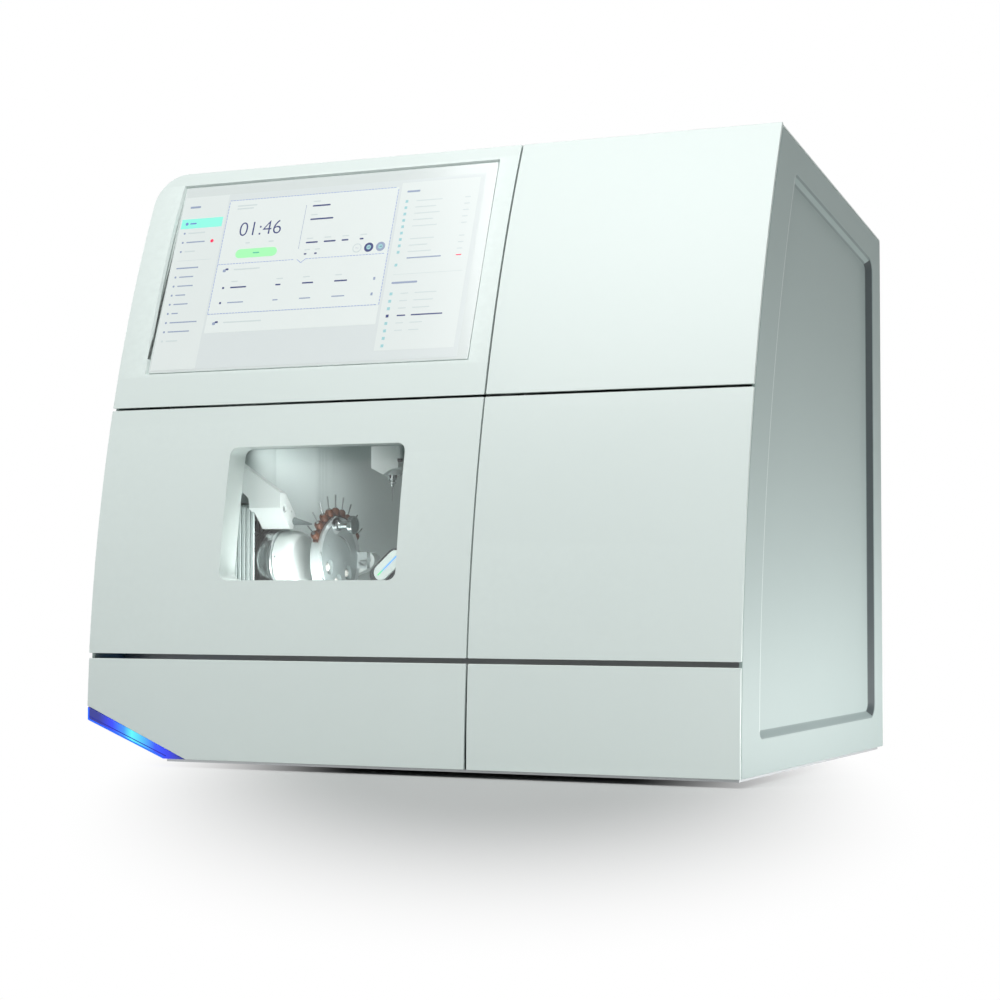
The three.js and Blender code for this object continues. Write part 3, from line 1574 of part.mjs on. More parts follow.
const pump = { rightMargin: 50, rearMargin: 82, radius: 32, height: 80, base: 90, baseHeight: 8, spout: 8 };
pump.x = tank.right - pump.rightMargin;
pump.volute = 36;
pump.voluteHeight = 22.5;

function coolantPump() {
  const y = rear - pump.rearMargin;
  const base = block(
    [pump.x - pump.base / 2, pump.x + pump.base / 2],
    [y - pump.radius, y + pump.radius],
    [trayFloor, trayFloor + pump.baseHeight],
  );
  const motor = rodZ(pump.radius, [trayFloor + lap, trayFloor + pump.height], pump.x, y);
  const volute = rodZ(pump.volute, [trayFloor + lap, trayFloor + pump.voluteHeight], pump.x, y);
  const spout = rodX(
    pump.spout,
    [pump.x, pump.x + pump.base / 2 + pump.spout],
    y,
    trayFloor + pump.baseHeight + pump.spout + lap,
    facets.small,
  );
  return join(base, motor, volute, spout);
}

const fan = { size: 120, depth: 25, bore: 56, hub: 20, blade: 54, blades: 7, bladeSheet: 2.4 };
fan.strut = 5;
fan.strutDepth = 2.5;
fan.bladeAngle = 39;
fan.chordShare = 1.05;
const fanY = rearFace - rearPanel.sheet - fit;

function fanFrame() {
  const { size, depth: deep, bore, strut, strutDepth } = fan;
  const h = size / 2;
  const outline = roundedRectangle(vent.x - h, vent.x + h, vent.z - h, vent.z + h, strut);
  const frame = alongY(outline, fanY - deep, fanY, 3);
  const hole = rodY(bore, [fanY - deep - overrun, fanY + overrun], vent.x, vent.z, facets.large);
  const bars = [45, 135].map((degrees) =>
    block([-bore - lap, bore + lap], [fanY - strutDepth, fanY], [-strut / 2, strut / 2])
      .rotate([0, degrees, 0])
      .translate([vent.x, 0, vent.z]),
  );
  const seat = rodY(fan.hub, [fanY - strutDepth, fanY], vent.x, vent.z);
  return join(cut(frame, hole), ...bars, seat);
}

function fanRotor() {
  const { depth: deep, hub: hubRadius, blade, blades, bladeSheet, bladeAngle, strutDepth } = fan;
  const span = [fanY - deep + strutDepth, fanY - strutDepth - fit];
  const core = rodY(hubRadius, span, 0, 0);
  const middle = (span[0] + span[1]) / 2;
  const wide = (span[1] - span[0]) * fan.chordShare;
  const vanes = Array.from({ length: blades }, (_, i) =>
    block([hubRadius - overrun, blade], [-bladeSheet / 2, bladeSheet / 2], [-wide / 2, wide / 2])
      .rotate([bladeAngle, 0, 0])
      .translate([0, middle, 0])
      .rotate([0, (i * 360) / blades, 0]),
  );
  return join(core, ...vanes);
}

const rocker = { width: 14, height: 20, depth: 9, proud: 3, pivotDepth: 6 };

function mainsInlet() {
  const { x, z, width: w, height: h, depth: deep, flange, flangeSheet } = inlet;
  const bodyBlock = block(
    [x - w / 2, x + w / 2],
    [rearFace - deep, rearFace + lap],
    [z - h / 2, z + h / 2],
  );
  const plate = block(
    [x - w / 2 - flange, x + w / 2 + flange],
    [rearFace + fit, rearFace + flangeSheet],
    [z - h / 2 - flange, z + h / 2 + flange],
  );
  const socket = block(
    [x - w / 2 + flangeSheet, x + flangeSheet],
    [rearFace - inlet.socketDepth, rearFace + overrun],
    [z - h / 2 + flangeSheet, z + h / 2 - flangeSheet],
  );
  const rockerHole = block(
    [x + w / 2 - flangeSheet - rocker.width - fit, x + w / 2 - flangeSheet + fit],
    [rearFace - rocker.depth - overrun, rearFace + overrun],
    [z - rocker.height / 2 - lap, z + rocker.height / 2 + lap],
  );
  const [pinHalfWidth, pinHalfHeight] = inlet.pinHalf;
  const pins = [-inlet.pinPitch, 0, inlet.pinPitch].map((step) =>
    block(
      [x - w / 4 + step - pinHalfWidth, x - w / 4 + step + pinHalfWidth],
      [rearFace - inlet.socketDepth - lap, rearFace - inlet.pinFront],
      [z - pinHalfHeight, z + pinHalfHeight],
    ),
  );
  return join(cut(join(bodyBlock, plate), socket, rockerHole), ...pins);
}

const rockerX = inlet.x + inlet.width / 2 - inlet.flangeSheet - rocker.width / 2;
const rockerPivotY = rearFace - rocker.pivotDepth;

function powerRocker() {
  const h = rocker.height / 2 - lap;
  const outline = polygon([
    [0, -rocker.pivotDepth + seam],
    [rocker.pivotDepth + lap, -h],
    [rocker.pivotDepth + rocker.proud, h],
    [0, rocker.pivotDepth - seam],
    [-seam, 0],
  ]);
  return alongX(outline, -rocker.width / 2 + fit, rocker.width / 2 - fit);
}

// The assembly

const machine = new THREE.Group();
machine.name = "dental_milling_machine";

function place(mesh, x, y, z) {
  mesh.position.set(x, y, z);
  return mesh;
}

const feet = new THREE.Group();
[
  ["foot_front_left", -half + light.run + foot.inset, front + foot.frontInset],
  ["foot_front_right", half - foot.inset, front + foot.frontInset],
  ["foot_rear_left", -half + light.run + foot.inset, rear - foot.rearInset],
  ["foot_rear_right", half - foot.inset, rear - foot.rearInset],
].forEach(([name, x, y]) => feet.add(place(part(name, rubberFoot(), "rubber"), x, y, 0)));

const casing = new THREE.Group();
casing.add(
  part("base_frame", baseFrame(), "dark"),
  part("left_side_panel", leftSidePanel(), "white"),
  part("right_side_panel", rightSidePanel(), "white"),
  part("top_cover", topCover(), "white"),
  part("rear_panel", rearCover(), "white"),
  part("screen_panel", screenCover(), "white"),
  part("upper_right_panel", frontCover(rightSpan, [upperBottom, top], 6), "white"),
  part("lower_right_panel", frontCover(rightSpan, [skirt, lowerTop], 3), "white"),
  part("light_bar", lightBar(), "light"),
  part("light_board", lightBoard(), "board"),
);
screenGroup.add(
  part("touch_glass", touchGlass(), "glass"),
  part("display_module", displayModule(), "dark"),
);

const frame = new THREE.Group();
frame.add(
  part("front_bulkhead", frontBulkhead(), "steel"),
  part("rear_bulkhead", rearBulkhead(), "steel"),
  part("hinge_beam", hingeBeam(), "steel"),
  part("window_hinge_rod", hingeRod(armPlaces.window), "steel"),
  part("loader_hinge_rod", hingeRod(armPlaces.loader), "steel"),
  part("milling_chamber", millingChamber(), "chamberWhite"),
  part("way_cover", wayCover(), "aluminium"),
  part("nozzle_block", nozzleBlock(), "chamberWhite"),
  part("chamber_lamp", chamberLamp(), "chamberWhite"),
  part("gantry_frame", gantryFrame(), "aluminium"),
  part("slide_guide", slideGuide(), "steel"),
  part("loader_bay", loaderBay(), "chamberWhite"),
  part("blank_rack", blankRack(), "dark"),
  part("stored_blank_1", storedDisc(0), "blank"),
  part("stored_blank_2", storedDisc(1), "blank"),
  part("stored_blank_3", storedDisc(3), "blank"),
);

const services = new THREE.Group();
services.add(
  part("control_box", controlBox(), "aluminium"),
  part("coolant_pump", coolantPump(), "dark"),
  part("fan_frame", fanFrame(), "dark"),
  place(part("fan_rotor", fanRotor(), "dark"), vent.x, 0, vent.z),
  part("mains_inlet", mainsInlet(), "dark"),
  place(part("power_switch", powerRocker(), "rubber"), rockerX, rockerPivotY, inlet.z),
);

const windowDoorGroup = new THREE.Group();
windowDoorGroup.add(
  part("window_door", windowDoor(), "white"),
  part("window_glass", windowGlass(), "glass"),
  part("door_liner", doorLiner(), "chamberWhite"),
  part("door_gasket", doorGasket(), "rubber"),
  part("window_arm_left", doorArm(armPlaces.window[0]), "steel"),
  part("window_arm_right", doorArm(armPlaces.window[1]), "steel"),
);

const loaderDoorGroup = new THREE.Group();
loaderDoorGroup.add(
  part("loader_door", loaderDoor(), "white"),
  part("loader_arm_left", doorArm(armPlaces.loader[0]), "steel"),
  part("loader_arm_right", doorArm(armPlaces.loader[1]), "steel"),
);

const drawer = new THREE.Group();
drawer.add(
  part("drawer_front", drawerFront(), "white"),
  part("coolant_tank", coolantTank(), "dark"),
);

const rotaryUnit = new THREE.Group();
rotaryUnit.add(
  part("rotary_carriage", rotaryCarriage(), "aluminium"),
  part("rotary_hub", rotaryHub(), "chrome"),
  part("swivel_arm", swivelArm(), "chamberWhite"),
  part("blank_clamp", blankClamp(), "aluminium"),
  part("milling_blank", millingBlank(), "blank"),
  part("clamp_screw", clampScrew(), "chrome"),
  part("tool_collars", toolCollars(), "copper"),
);

const spindleUnit = new THREE.Group();
spindleUnit.add(
  part("spindle_carriage", spindleCarriage(), "aluminium"),
  part("spindle_housing", spindleHousing(), "chamberWhite"),
  part("spindle_shaft", spindleShaft(), "chrome"),
  part("milling_bur", millingBur(), "steel"),
);

machine.add(feet, casing, screenGroup, frame, services);
machine.add(windowDoorGroup, loaderDoorGroup, drawer, rotaryUnit, spindleUnit);

export default machine;
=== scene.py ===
import math

import bmesh
import bpy
from mathutils import Matrix, Vector
from mathutils.geometry import tessellate_polygon


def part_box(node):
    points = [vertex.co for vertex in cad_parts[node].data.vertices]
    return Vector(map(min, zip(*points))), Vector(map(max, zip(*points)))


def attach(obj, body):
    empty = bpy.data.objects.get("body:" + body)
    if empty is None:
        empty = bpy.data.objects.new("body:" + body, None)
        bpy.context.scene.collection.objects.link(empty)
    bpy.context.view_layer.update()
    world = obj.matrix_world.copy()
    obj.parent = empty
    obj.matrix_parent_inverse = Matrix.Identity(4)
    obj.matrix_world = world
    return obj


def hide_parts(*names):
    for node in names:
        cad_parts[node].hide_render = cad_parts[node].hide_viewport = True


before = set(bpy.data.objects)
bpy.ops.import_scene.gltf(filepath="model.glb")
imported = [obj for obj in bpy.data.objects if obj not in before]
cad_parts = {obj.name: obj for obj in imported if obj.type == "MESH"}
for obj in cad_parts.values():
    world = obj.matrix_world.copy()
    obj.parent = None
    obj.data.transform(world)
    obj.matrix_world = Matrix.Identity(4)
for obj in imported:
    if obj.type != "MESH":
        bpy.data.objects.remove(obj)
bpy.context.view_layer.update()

MM = 0.001

# Driving sizes of the machine in metres, as the frame has them. The curved front is part of a cylinder
WIDTH = 0.800
HALF = WIDTH / 2
DEPTH = 0.552
FRONT = -DEPTH / 2
REAR = DEPTH / 2
SKIRT = 0.009
TOP = SKIRT + 0.705
REAR_TOP = SKIRT + 0.632
FRONT_RADIUS = 1.700
ARC_CENTRE = FRONT + FRONT_RADIUS

# The gap between pieces that touch, how far cutters reach past a piece, and how far united solids overlap
FIT = 0.3 * MM
OVERRUN = 5 * MM
LAP = 1 * MM

# A cover is a skin with a return behind it, set in from its edges
SKIN = 4 * MM
RETURN_DEPTH = 12 * MM
RETURN_WALL = 3 * MM
RETURN_INSET = 6 * MM
COVER_FRONT = 6 * MM
COVER_CORNER = 1.2 * MM
RETURN_CORNER = 2 * MM
CORNER_STEPS = 3
TOP_ROLL = 38 * MM
SEAM_X = 0.0893
SEAM = 2 * MM
LEFT_SPAN = (-HALF, SEAM_X - SEAM / 2)
RIGHT_SPAN = (SEAM_X + SEAM / 2, HALF)
LOWER_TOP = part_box("drawer_front")[1].z
DOOR_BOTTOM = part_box("window_door")[0].z
DOOR_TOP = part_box("window_door")[1].z
UPPER_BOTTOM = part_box("screen_panel")[0].z

# Edge radii, the height of a slice of a curved cover, and the steps of a round corner
EDGE = 0.9 * MM
SHEET_EDGE = 0.8 * MM
SMALL_EDGE = 0.5 * MM
FINE_EDGE = 0.4 * MM
HAIR_EDGE = 0.3 * MM
SLICE = 12 * MM
ROUND_STEPS = 10


def arc_y(z, inset=0.0):
    """Where the curved front lies at a height, or a shell concentric with it."""
    return ARC_CENTRE - math.sqrt((FRONT_RADIUS - inset) ** 2 - (z - SKIRT) ** 2)


TOP_FRONT_Y = arc_y(TOP)
TOP_SLOPE = (TOP - REAR_TOP) / (REAR - TOP_FRONT_Y)


def top_z(y, drop=0.0):
    """The height of the sloping top at a depth, or of a plane some way below it."""
    return TOP - drop - TOP_SLOPE * (y - TOP_FRONT_Y)


# Meshes and small modelling tools


def millimetres(points):
    """Points that were written in millimetres, in metres."""
    return [tuple(value * MM for value in point) for point in points]


def new_object(name, bm):
    bmesh.ops.recalc_face_normals(bm, faces=bm.faces)
    mesh = bpy.data.meshes.new(name)
    bm.to_mesh(mesh)
    bm.free()
    obj = bpy.data.objects.new(name, mesh)
    bpy.context.scene.collection.objects.link(obj)
    return obj


def settle(obj):
    """Replaces an object's mesh by what its modifiers make of it."""
    bpy.context.view_layer.update()
    graph = bpy.context.evaluated_depsgraph_get()
    mesh = bpy.data.meshes.new_from_object(obj.evaluated_get(graph), depsgraph=graph)
    obj.modifiers.clear()
    old = obj.data
    obj.data = mesh
    bpy.data.meshes.remove(old)
    return obj


def carve(obj, *cutters, operation="DIFFERENCE"):
    for cutter in cutters:
        step = obj.modifiers.new("cut", "BOOLEAN")
        step.operation = operation
        step.solver = "EXACT"
        step.object = cutter
        settle(obj)
        bpy.data.objects.remove(cutter)
    return obj


def unite(obj, *others):
    return carve(obj, *others, operation="UNION")


def soften(obj, width=EDGE, segments=3, angle=32):
    """Rounds the sharp edges."""
    step = obj.modifiers.new("edges", "BEVEL")
    step.width = width
    step.segments = segments
    step.limit_method = "ANGLE"
    step.angle_limit = math.radians(angle)
    step.use_clamp_overlap = True
    step.miter_outer = "MITER_ARC"
    return settle(obj)


def smooth(obj, angle=38):
    """Smooth shading with area-weighted normals, so that broad faces stay plain."""
    for face in obj.data.polygons:
        face.use_smooth = True
    obj.data.set_sharp_from_angle(angle=math.radians(angle))
    step = obj.modifiers.new("shade", "WEIGHTED_NORMAL")
    step.keep_sharp = True
    step.weight = 100
    return obj


def prism(name, outline, near, far, axes="xz"):
    """A straight solid: an outline in two axes, pushed along the third."""
    third = 3 - "xyz".index(axes[0]) - "xyz".index(axes[1])
    order = ["xyz".index(axes[0]), "xyz".index(axes[1]), third]
    bm = bmesh.new()
    rings = []
    for level in (near, far):
        ring = []
        for a, b in outline:
            place = [0.0, 0.0, 0.0]
            place[order[0]], place[order[1]], place[order[2]] = a, b, level
            ring.append(bm.verts.new(place))
        rings.append(ring)
    bm.faces.new(rings[0])
    bm.faces.new(list(reversed(rings[1])))
    count = len(outline)
    for i in range(count):
        j = (i + 1) % count
        bm.faces.new((rings[0][i], rings[1][i], rings[1][j], rings[0][j]))
    return new_object(name, bm)


def block(name, low, high):
    outline = [(low[0], low[2]), (high[0], low[2]), (high[0], high[2]), (low[0], high[2])]
    return prism(name, outline, low[1], high[1])


def arc_points(a, b, radius, start, end, steps=ROUND_STEPS):
    """Points on an arc, with both ends, angles in degrees."""
    return [
        (
            a + radius * math.cos(math.radians(start + (end - start) * i / steps)),
            b + radius * math.sin(math.radians(start + (end - start) * i / steps)),
        )
        for i in range(steps + 1)
    ]


def rounded(a0, a1, b0, b1, radii, steps=ROUND_STEPS):
    """A rectangle with rounded corners, from the lower left one on, counterclockwise."""
    if not isinstance(radii, (list, tuple)):
        radii = (radii,) * 4
    lower_left, lower_right, upper_right, upper_left = radii
    points = []
    for corner, a, b, start in (
        (lower_left, a0, b0, 180),
        (lower_right, a1, b0, 270),
        (upper_right, a1, b1, 0),
        (upper_left, a0, b1, 90),
    ):
        inward_a = a + corner * (1 if a == a0 else -1)
        inward_b = b + corner * (1 if b == b0 else -1)
        if corner:
            points += arc_points(inward_a, inward_b, corner, start, start + 90, steps)
        else:
            points.append((a, b))
    return points


def turned(name, profile, centre, axis="x", steps=64):
    """A solid of revolution. The profile gives radius and place along the axis."""
    bm = bmesh.new()
    rings = []
    for radius, along in profile:
        if radius == 0:
            rings.append([bm.verts.new((0, 0, along))])
            continue
        ring = [
            bm.verts.new((
                radius * math.cos(2 * math.pi * i / steps),
                radius * math.sin(2 * math.pi * i / steps),
                along,
            ))
            for i in range(steps)
        ]
        rings.append(ring)
    for low, high in zip(rings, rings[1:]):
        for i in range(steps):
            j = (i + 1) % steps
            if len(low) == 1:
                bm.faces.new((low[0], high[i], high[j]))
            elif len(high) == 1:
                bm.faces.new((low[i], high[0], low[j]))
            else:
                bm.faces.new((low[i], low[j], high[j], high[i]))
    turn = {
        "x": Matrix.Rotation(math.radians(90), 4, "Y"),
        "y": Matrix.Rotation(math.radians(-90), 4, "X"),
        "z": Matrix.Identity(4),
    }[axis]
    bmesh.ops.transform(bm, matrix=Matrix.Translation(centre) @ turn, verts=bm.verts)
    return new_object(name, bm)


def rod(name, radius, start, end, edge=0.0, steps=32):
    """A round rod between two points, with rounded ends if an edge is given."""
    start = Vector(start)
    end = Vector(end)
    length = (end - start).length
    if edge:
        shoulder = radius - edge
        side = arc_points(shoulder, edge, edge, -90, 0, 3)
        side += arc_points(shoulder, length - edge, edge, 0, 90, 3)
    else:
        side = [(radius, 0), (radius, length)]
    obj = turned(name, [(0, 0)] + side + [(0, length)], (0, 0, 0), "z", steps)
    turn = (end - start).to_track_quat("Z", "Y").to_matrix().to_4x4()
    obj.data.transform(Matrix.Translation(start) @ turn)
    return obj


def merge(name, objects):
    """One object of several, each kept as its own shell."""
    bm = bmesh.new()
    materials = []
    for obj in objects:
        first = len(bm.faces)
        bm.from_mesh(obj.data)
        bm.faces.ensure_lookup_table()
        own = list(obj.data.materials)
        for face in bm.faces[first:]:
            if own:
                material = own[min(face.material_index, len(own) - 1)]
                if material not in materials:
                    materials.append(material)
                face.material_index = materials.index(material)
        bpy.data.objects.remove(obj)
    mesh = bpy.data.meshes.new(name)
    bm.to_mesh(mesh)
    bm.free()
    for material in materials:
        mesh.materials.append(material)
    merged = bpy.data.objects.new(name, mesh)
    bpy.context.scene.collection.objects.link(merged)
    return merged


def sliced(obj, z0, z1, step=SLICE):
    """Cuts the faces at even heights, so that they can follow the curved front."""
    bm = bmesh.new()
    bm.from_mesh(obj.data)
    count = max(1, round((z1 - z0) / step))
    for i in range(1, count):
        bmesh.ops.bisect_plane(
            bm,
            geom=bm.verts[:] + bm.edges[:] + bm.faces[:],
            plane_co=(0, 0, z0 + (z1 - z0) * i / count),
            plane_no=(0, 0, 1),
        )
    bm.to_mesh(obj.data)
    bm.free()
    return obj


def bent(obj):
    """Lays a flat cover, whose Y is its depth, onto the curved front."""
    for vertex in obj.data.vertices:
        vertex.co.y = arc_y(vertex.co.z, vertex.co.y)
    return obj


# Materials

COAT_ROUGHNESS = 0.12
PAINT_GRAIN_DEPTH = 0.2 * MM
METAL_GRAIN_DEPTH = 0.1 * MM
MATT = 0.25


def node_tree(name):
    material = bpy.data.materials.new(name)
    material.use_nodes = True
    tree = material.node_tree
    surface = tree.nodes["Principled BSDF"]
    return material, tree, surface


def put(tree, kind, **settings):
    node = tree.nodes.new(kind)
    for key, value in settings.items():
        setattr(node, key, value)
    return node


def preset(node, values):
    """Sets a node's inputs by their names."""
    for name, value in values.items():
        node.inputs[name].default_value = value


def wire(tree, *links):
    """Links nodes. Each link is a node, its output, the next node and that node's input."""
    for source, output, sink, entry in links:
        tree.links.new(source.outputs[output], sink.inputs[entry])


def group_socket(tree, name, direction, kind="NodeSocketFloat", value=None):
    socket = tree.interface.new_socket(name=name, in_out=direction, socket_type=kind)
    if value is not None:
        socket.default_value = value
    return socket


def surface_variation_group():
    """Slow changes of tone and gloss over a surface, with a fine grain for its bump."""
    tree = bpy.data.node_groups.new("surface variation", "ShaderNodeTree")
    group_socket(tree, "Patch Size", "INPUT", value=6.0)
    group_socket(tree, "Grain Size", "INPUT", value=900.0)
    group_socket(tree, "Low", "INPUT", value=0.3)
    group_socket(tree, "High", "INPUT", value=0.4)
    group_socket(tree, "Tone", "OUTPUT")
    group_socket(tree, "Roughness", "OUTPUT")
    group_socket(tree, "Grain", "OUTPUT")
    inside = put(tree, "NodeGroupInput")
    outside = put(tree, "NodeGroupOutput")
    place = put(tree, "ShaderNodeTexCoord")
    patches = put(tree, "ShaderNodeTexNoise")
    patches.inputs["Detail"].default_value = 4.0
    grain = put(tree, "ShaderNodeTexNoise")
    grain.inputs["Detail"].default_value = 2.0
    spread = put(tree, "ShaderNodeMapRange")
    wire(
        tree,
        (place, "Object", patches, "Vector"),
        (place, "Object", grain, "Vector"),
        (inside, "Patch Size", patches, "Scale"),
        (inside, "Grain Size", grain, "Scale"),
        (patches, "Fac", spread, "Value"),
        (inside, "Low", spread, "To Min"),
        (inside, "High", spread, "To Max"),
        (patches, "Fac", outside, "Tone"),
        (spread, "Result", outside, "Roughness"),
        (grain, "Fac", outside, "Grain"),
    )
    return tree


def edge_wear_group():
    """A mask that is high on convex edges, broken up by noise."""
    tree = bpy.data.node_groups.new("edge wear", "ShaderNodeTree")
    group_socket(tree, "Sharpness", "INPUT", value=14.0)
    group_socket(tree, "Amount", "INPUT", value=0.5)
    group_socket(tree, "Mask", "OUTPUT")
    inside = put(tree, "NodeGroupInput")
    outside = put(tree, "NodeGroupOutput")
    geometry = put(tree, "ShaderNodeNewGeometry")
    centred = put(tree, "ShaderNodeMath", operation="SUBTRACT")
    centred.inputs[1].default_value = 0.5
    steep = put(tree, "ShaderNodeMath", operation="MULTIPLY")
    place = put(tree, "ShaderNodeTexCoord")
    noise = put(tree, "ShaderNodeTexNoise")
    noise.inputs["Scale"].default_value = 120.0
    broken = put(tree, "ShaderNodeMath", operation="MULTIPLY")
    limited = put(tree, "ShaderNodeMath", operation="MULTIPLY", use_clamp=True)
    wire(
        tree,
        (geometry, "Pointiness", centred, 0),
        (centred, 0, steep, 0),
        (inside, "Sharpness", steep, 1),
        (place, "Object", noise, "Vector"),
        (steep, 0, broken, 0),
        (noise, "Fac", broken, 1),
        (broken, 0, limited, 0),
        (inside, "Amount", limited, 1),
        (limited, 0, outside, "Mask"),
    )
    return tree


def brushed_grain_group():
    """Long scratches along one axis, for ground and turned metal."""
    tree = bpy.data.node_groups.new("brushed grain", "ShaderNodeTree")
    group_socket(tree, "Stretch", "INPUT", kind="NodeSocketVector", value=(8.0, 900.0, 900.0))
    group_socket(tree, "Low", "INPUT", value=0.25)
    group_socket(tree, "High", "INPUT", value=0.4)
    group_socket(tree, "Roughness", "OUTPUT")
    group_socket(tree, "Grain", "OUTPUT")
    inside = put(tree, "NodeGroupInput")
    outside = put(tree, "NodeGroupOutput")
    place = put(tree, "ShaderNodeTexCoord")
    stretch = put(tree, "ShaderNodeVectorMath", operation="MULTIPLY")
    lines = put(tree, "ShaderNodeTexNoise")
    preset(lines, {"Scale": 1.0, "Detail": 5.0})
    spread = put(tree, "ShaderNodeMapRange")
    wire(
        tree,
        (place, "Object", stretch, 0),
        (inside, "Stretch", stretch, 1),
        (stretch, 0, lines, "Vector"),
        (lines, "Fac", spread, "Value"),
        (inside, "Low", spread, "To Min"),
        (inside, "High", spread, "To Max"),
        (spread, "Result", outside, "Roughness"),
        (lines, "Fac", outside, "Grain"),
    )
    return tree


VARIATION = surface_variation_group()
WEAR = edge_wear_group()
BRUSHED = brushed_grain_group()


def placed_group(tree, group, **values):
    node = put(tree, "ShaderNodeGroup", node_tree=group)
    for name, value in values.items():
        node.inputs[name.replace("_", " ").title()].default_value = value
    return node


def ramp_between(tree, factor, low, high):
    mix = put(tree, "ShaderNodeMix", data_type="RGBA")
    preset(mix, {"A": (*low, 1), "B": (*high, 1)})
    tree.links.new(factor, mix.inputs["Factor"])
    return mix.outputs["Result"]


def add_bump(tree, surface, height, strength, distance):
    bump = put(tree, "ShaderNodeBump")
    preset(bump, {"Strength": strength, "Distance": distance})
    tree.links.new(height, bump.inputs["Height"])
    tree.links.new(bump.outputs["Normal"], surface.inputs["Normal"])


def coated(name, dark, light, low, high, grain=900.0, bump=0.05, coat=0.0, metallic=0.0, wear=0.35,
           wear_colour=None, patches=5.0, specular=0.5):
    """Paint or moulded plastic: slight patches, a fine grain and lighter edges."""
    material, tree, surface = node_tree(name)
    variation = placed_group(tree, VARIATION, patch_size=patches, grain_size=grain, low=low, high=high)
    tone = ramp_between(tree, variation.outputs["Tone"], dark, light)
    edges = placed_group(tree, WEAR, sharpness=10.0, amount=wear)
    colour = put(tree, "ShaderNodeMix", data_type="RGBA")
    edge_colour = wear_colour or tuple(min(1.0, c * 1.08) for c in light)
    colour.inputs["B"].default_value = (*edge_colour, 1)
    tree.links.new(edges.outputs["Mask"], colour.inputs["Factor"])
    tree.links.new(tone, colour.inputs["A"])
    tree.links.new(colour.outputs["Result"], surface.inputs["Base Color"])
    tree.links.new(variation.outputs["Roughness"], surface.inputs["Roughness"])
    preset(surface, {
        "Metallic": metallic,
        "Coat Weight": coat,
        "Coat Roughness": COAT_ROUGHNESS,
        "Specular IOR Level": specular,
    })
    add_bump(tree, surface, variation.outputs["Grain"], bump, PAINT_GRAIN_DEPTH)
    return material


def metal(name, colour, low, high, stretch=(8.0, 900.0, 900.0), bump=0.08, dark=None):
    """Ground, turned or drawn metal."""
    material, tree, surface = node_tree(name)
    grain = placed_group(tree, BRUSHED, low=low, high=high)
    grain.inputs["Stretch"].default_value = stretch
    tone = ramp_between(tree, grain.outputs["Grain"], dark or tuple(c * 0.82 for c in colour), colour)
    tree.links.new(tone, surface.inputs["Base Color"])
    tree.links.new(grain.outputs["Roughness"], surface.inputs["Roughness"])
    surface.inputs["Metallic"].default_value = 1.0
    add_bump(tree, surface, grain.outputs["Grain"], bump, METAL_GRAIN_DEPTH)
    return material


def show(tree, shader, kind="OUTPUT_MATERIAL"):
    """Links a shader node to a tree's output."""
    output = next(n for n in tree.nodes if n.type == kind)
    tree.links.new(shader.outputs["Shader"], output.inputs["Surface"])


def clear_glass(name):
    """Clear glass that lets light through to what lies behind it."""
    material, tree, surface = node_tree(name)
    variation = placed_group(tree, VARIATION, patch_size=30.0, grain_size=400.0, low=0.0, high=0.02)
    tree.links.new(variation.outputs["Roughness"], surface.inputs["Roughness"])
    preset(surface, {"Base Color": (0.96, 0.99, 0.98, 1), "Transmission Weight": 1.0, "IOR": 1.45})
    path = put(tree, "ShaderNodeLightPath")
    passing = put(tree, "ShaderNodeBsdfTransparent")
    passing.inputs["Color"].default_value = (0.93, 0.96, 0.95, 1)
    blend = put(tree, "ShaderNodeMixShader")
    wire(
        tree,
        (path, "Is Shadow Ray", blend, "Fac"),
        (surface, "BSDF", blend, 1),
        (passing, "BSDF", blend, 2),
    )
    show(tree, blend)
    return material


def lit(name, colour, strength, roughness=0.2, base=None):
    """A surface that glows evenly, such as part of a screen."""
    material, tree, surface = node_tree(name)
    variation = placed_group(tree, VARIATION, patch_size=40.0, grain_size=2500.0,
                             low=roughness * 0.9, high=roughness * 1.1)
    tone = ramp_between(tree, variation.outputs["Tone"], tuple(c * 0.97 for c in colour), colour)
    tree.links.new(variation.outputs["Roughness"], surface.inputs["Roughness"])
    tree.links.new(tone, surface.inputs["Emission Color"])
    preset(surface, {"Base Color": (*(base or colour), 1), "Emission Strength": strength})
    return material


COVER = coated("cover paint", (0.755, 0.83, 0.805), (0.78, 0.855, 0.83), 0.36, 0.44, grain=1400.0, bump=0.04,
               coat=0.15)
# The side paint is a darker copy of the cover paint: partly the sides' own grey, partly painted shade on the
# side faces
SIDE_PAINT_PARTLY_SHADED = coated("side paint partly painted shade", (0.52, 0.61, 0.595), (0.56, 0.65, 0.63), 0.44, 0.54, grain=1400.0, bump=0.03,
              specular=MATT)
# Painted shade: a near black paint for the rear of the right panel's step, where the shade falls
SIDE_REAR_STEP_SHADE = coated("side rear step painted shade", (0.05, 0.065, 0.07), (0.08, 0.10, 0.105), 0.40, 0.5,
                     grain=1400.0, bump=0.03, wear=0.0)
# Painted highlight: a pale paint for a thin band before the front of the right panel's field
SIDE_FRONT_HIGHLIGHT = coated("side front painted highlight", (0.80, 0.88, 0.86), (0.84, 0.91, 0.89), 0.35, 0.45, grain=1400.0, bump=0.03,
                   wear=0.0)
# Painted shade: a darker copy of the side paint for the slope of the right panel's step
SIDE_STEP_SHADE = coated("side step painted shade", (0.30, 0.37, 0.365), (0.36, 0.43, 0.425), 0.40, 0.5, grain=1400.0, bump=0.03,
                   wear=0.0, specular=MATT)
REAR_PAINT = coated("rear paint", (0.55, 0.60, 0.59), (0.60, 0.65, 0.64), 0.42, 0.5, grain=1400.0, bump=0.05)
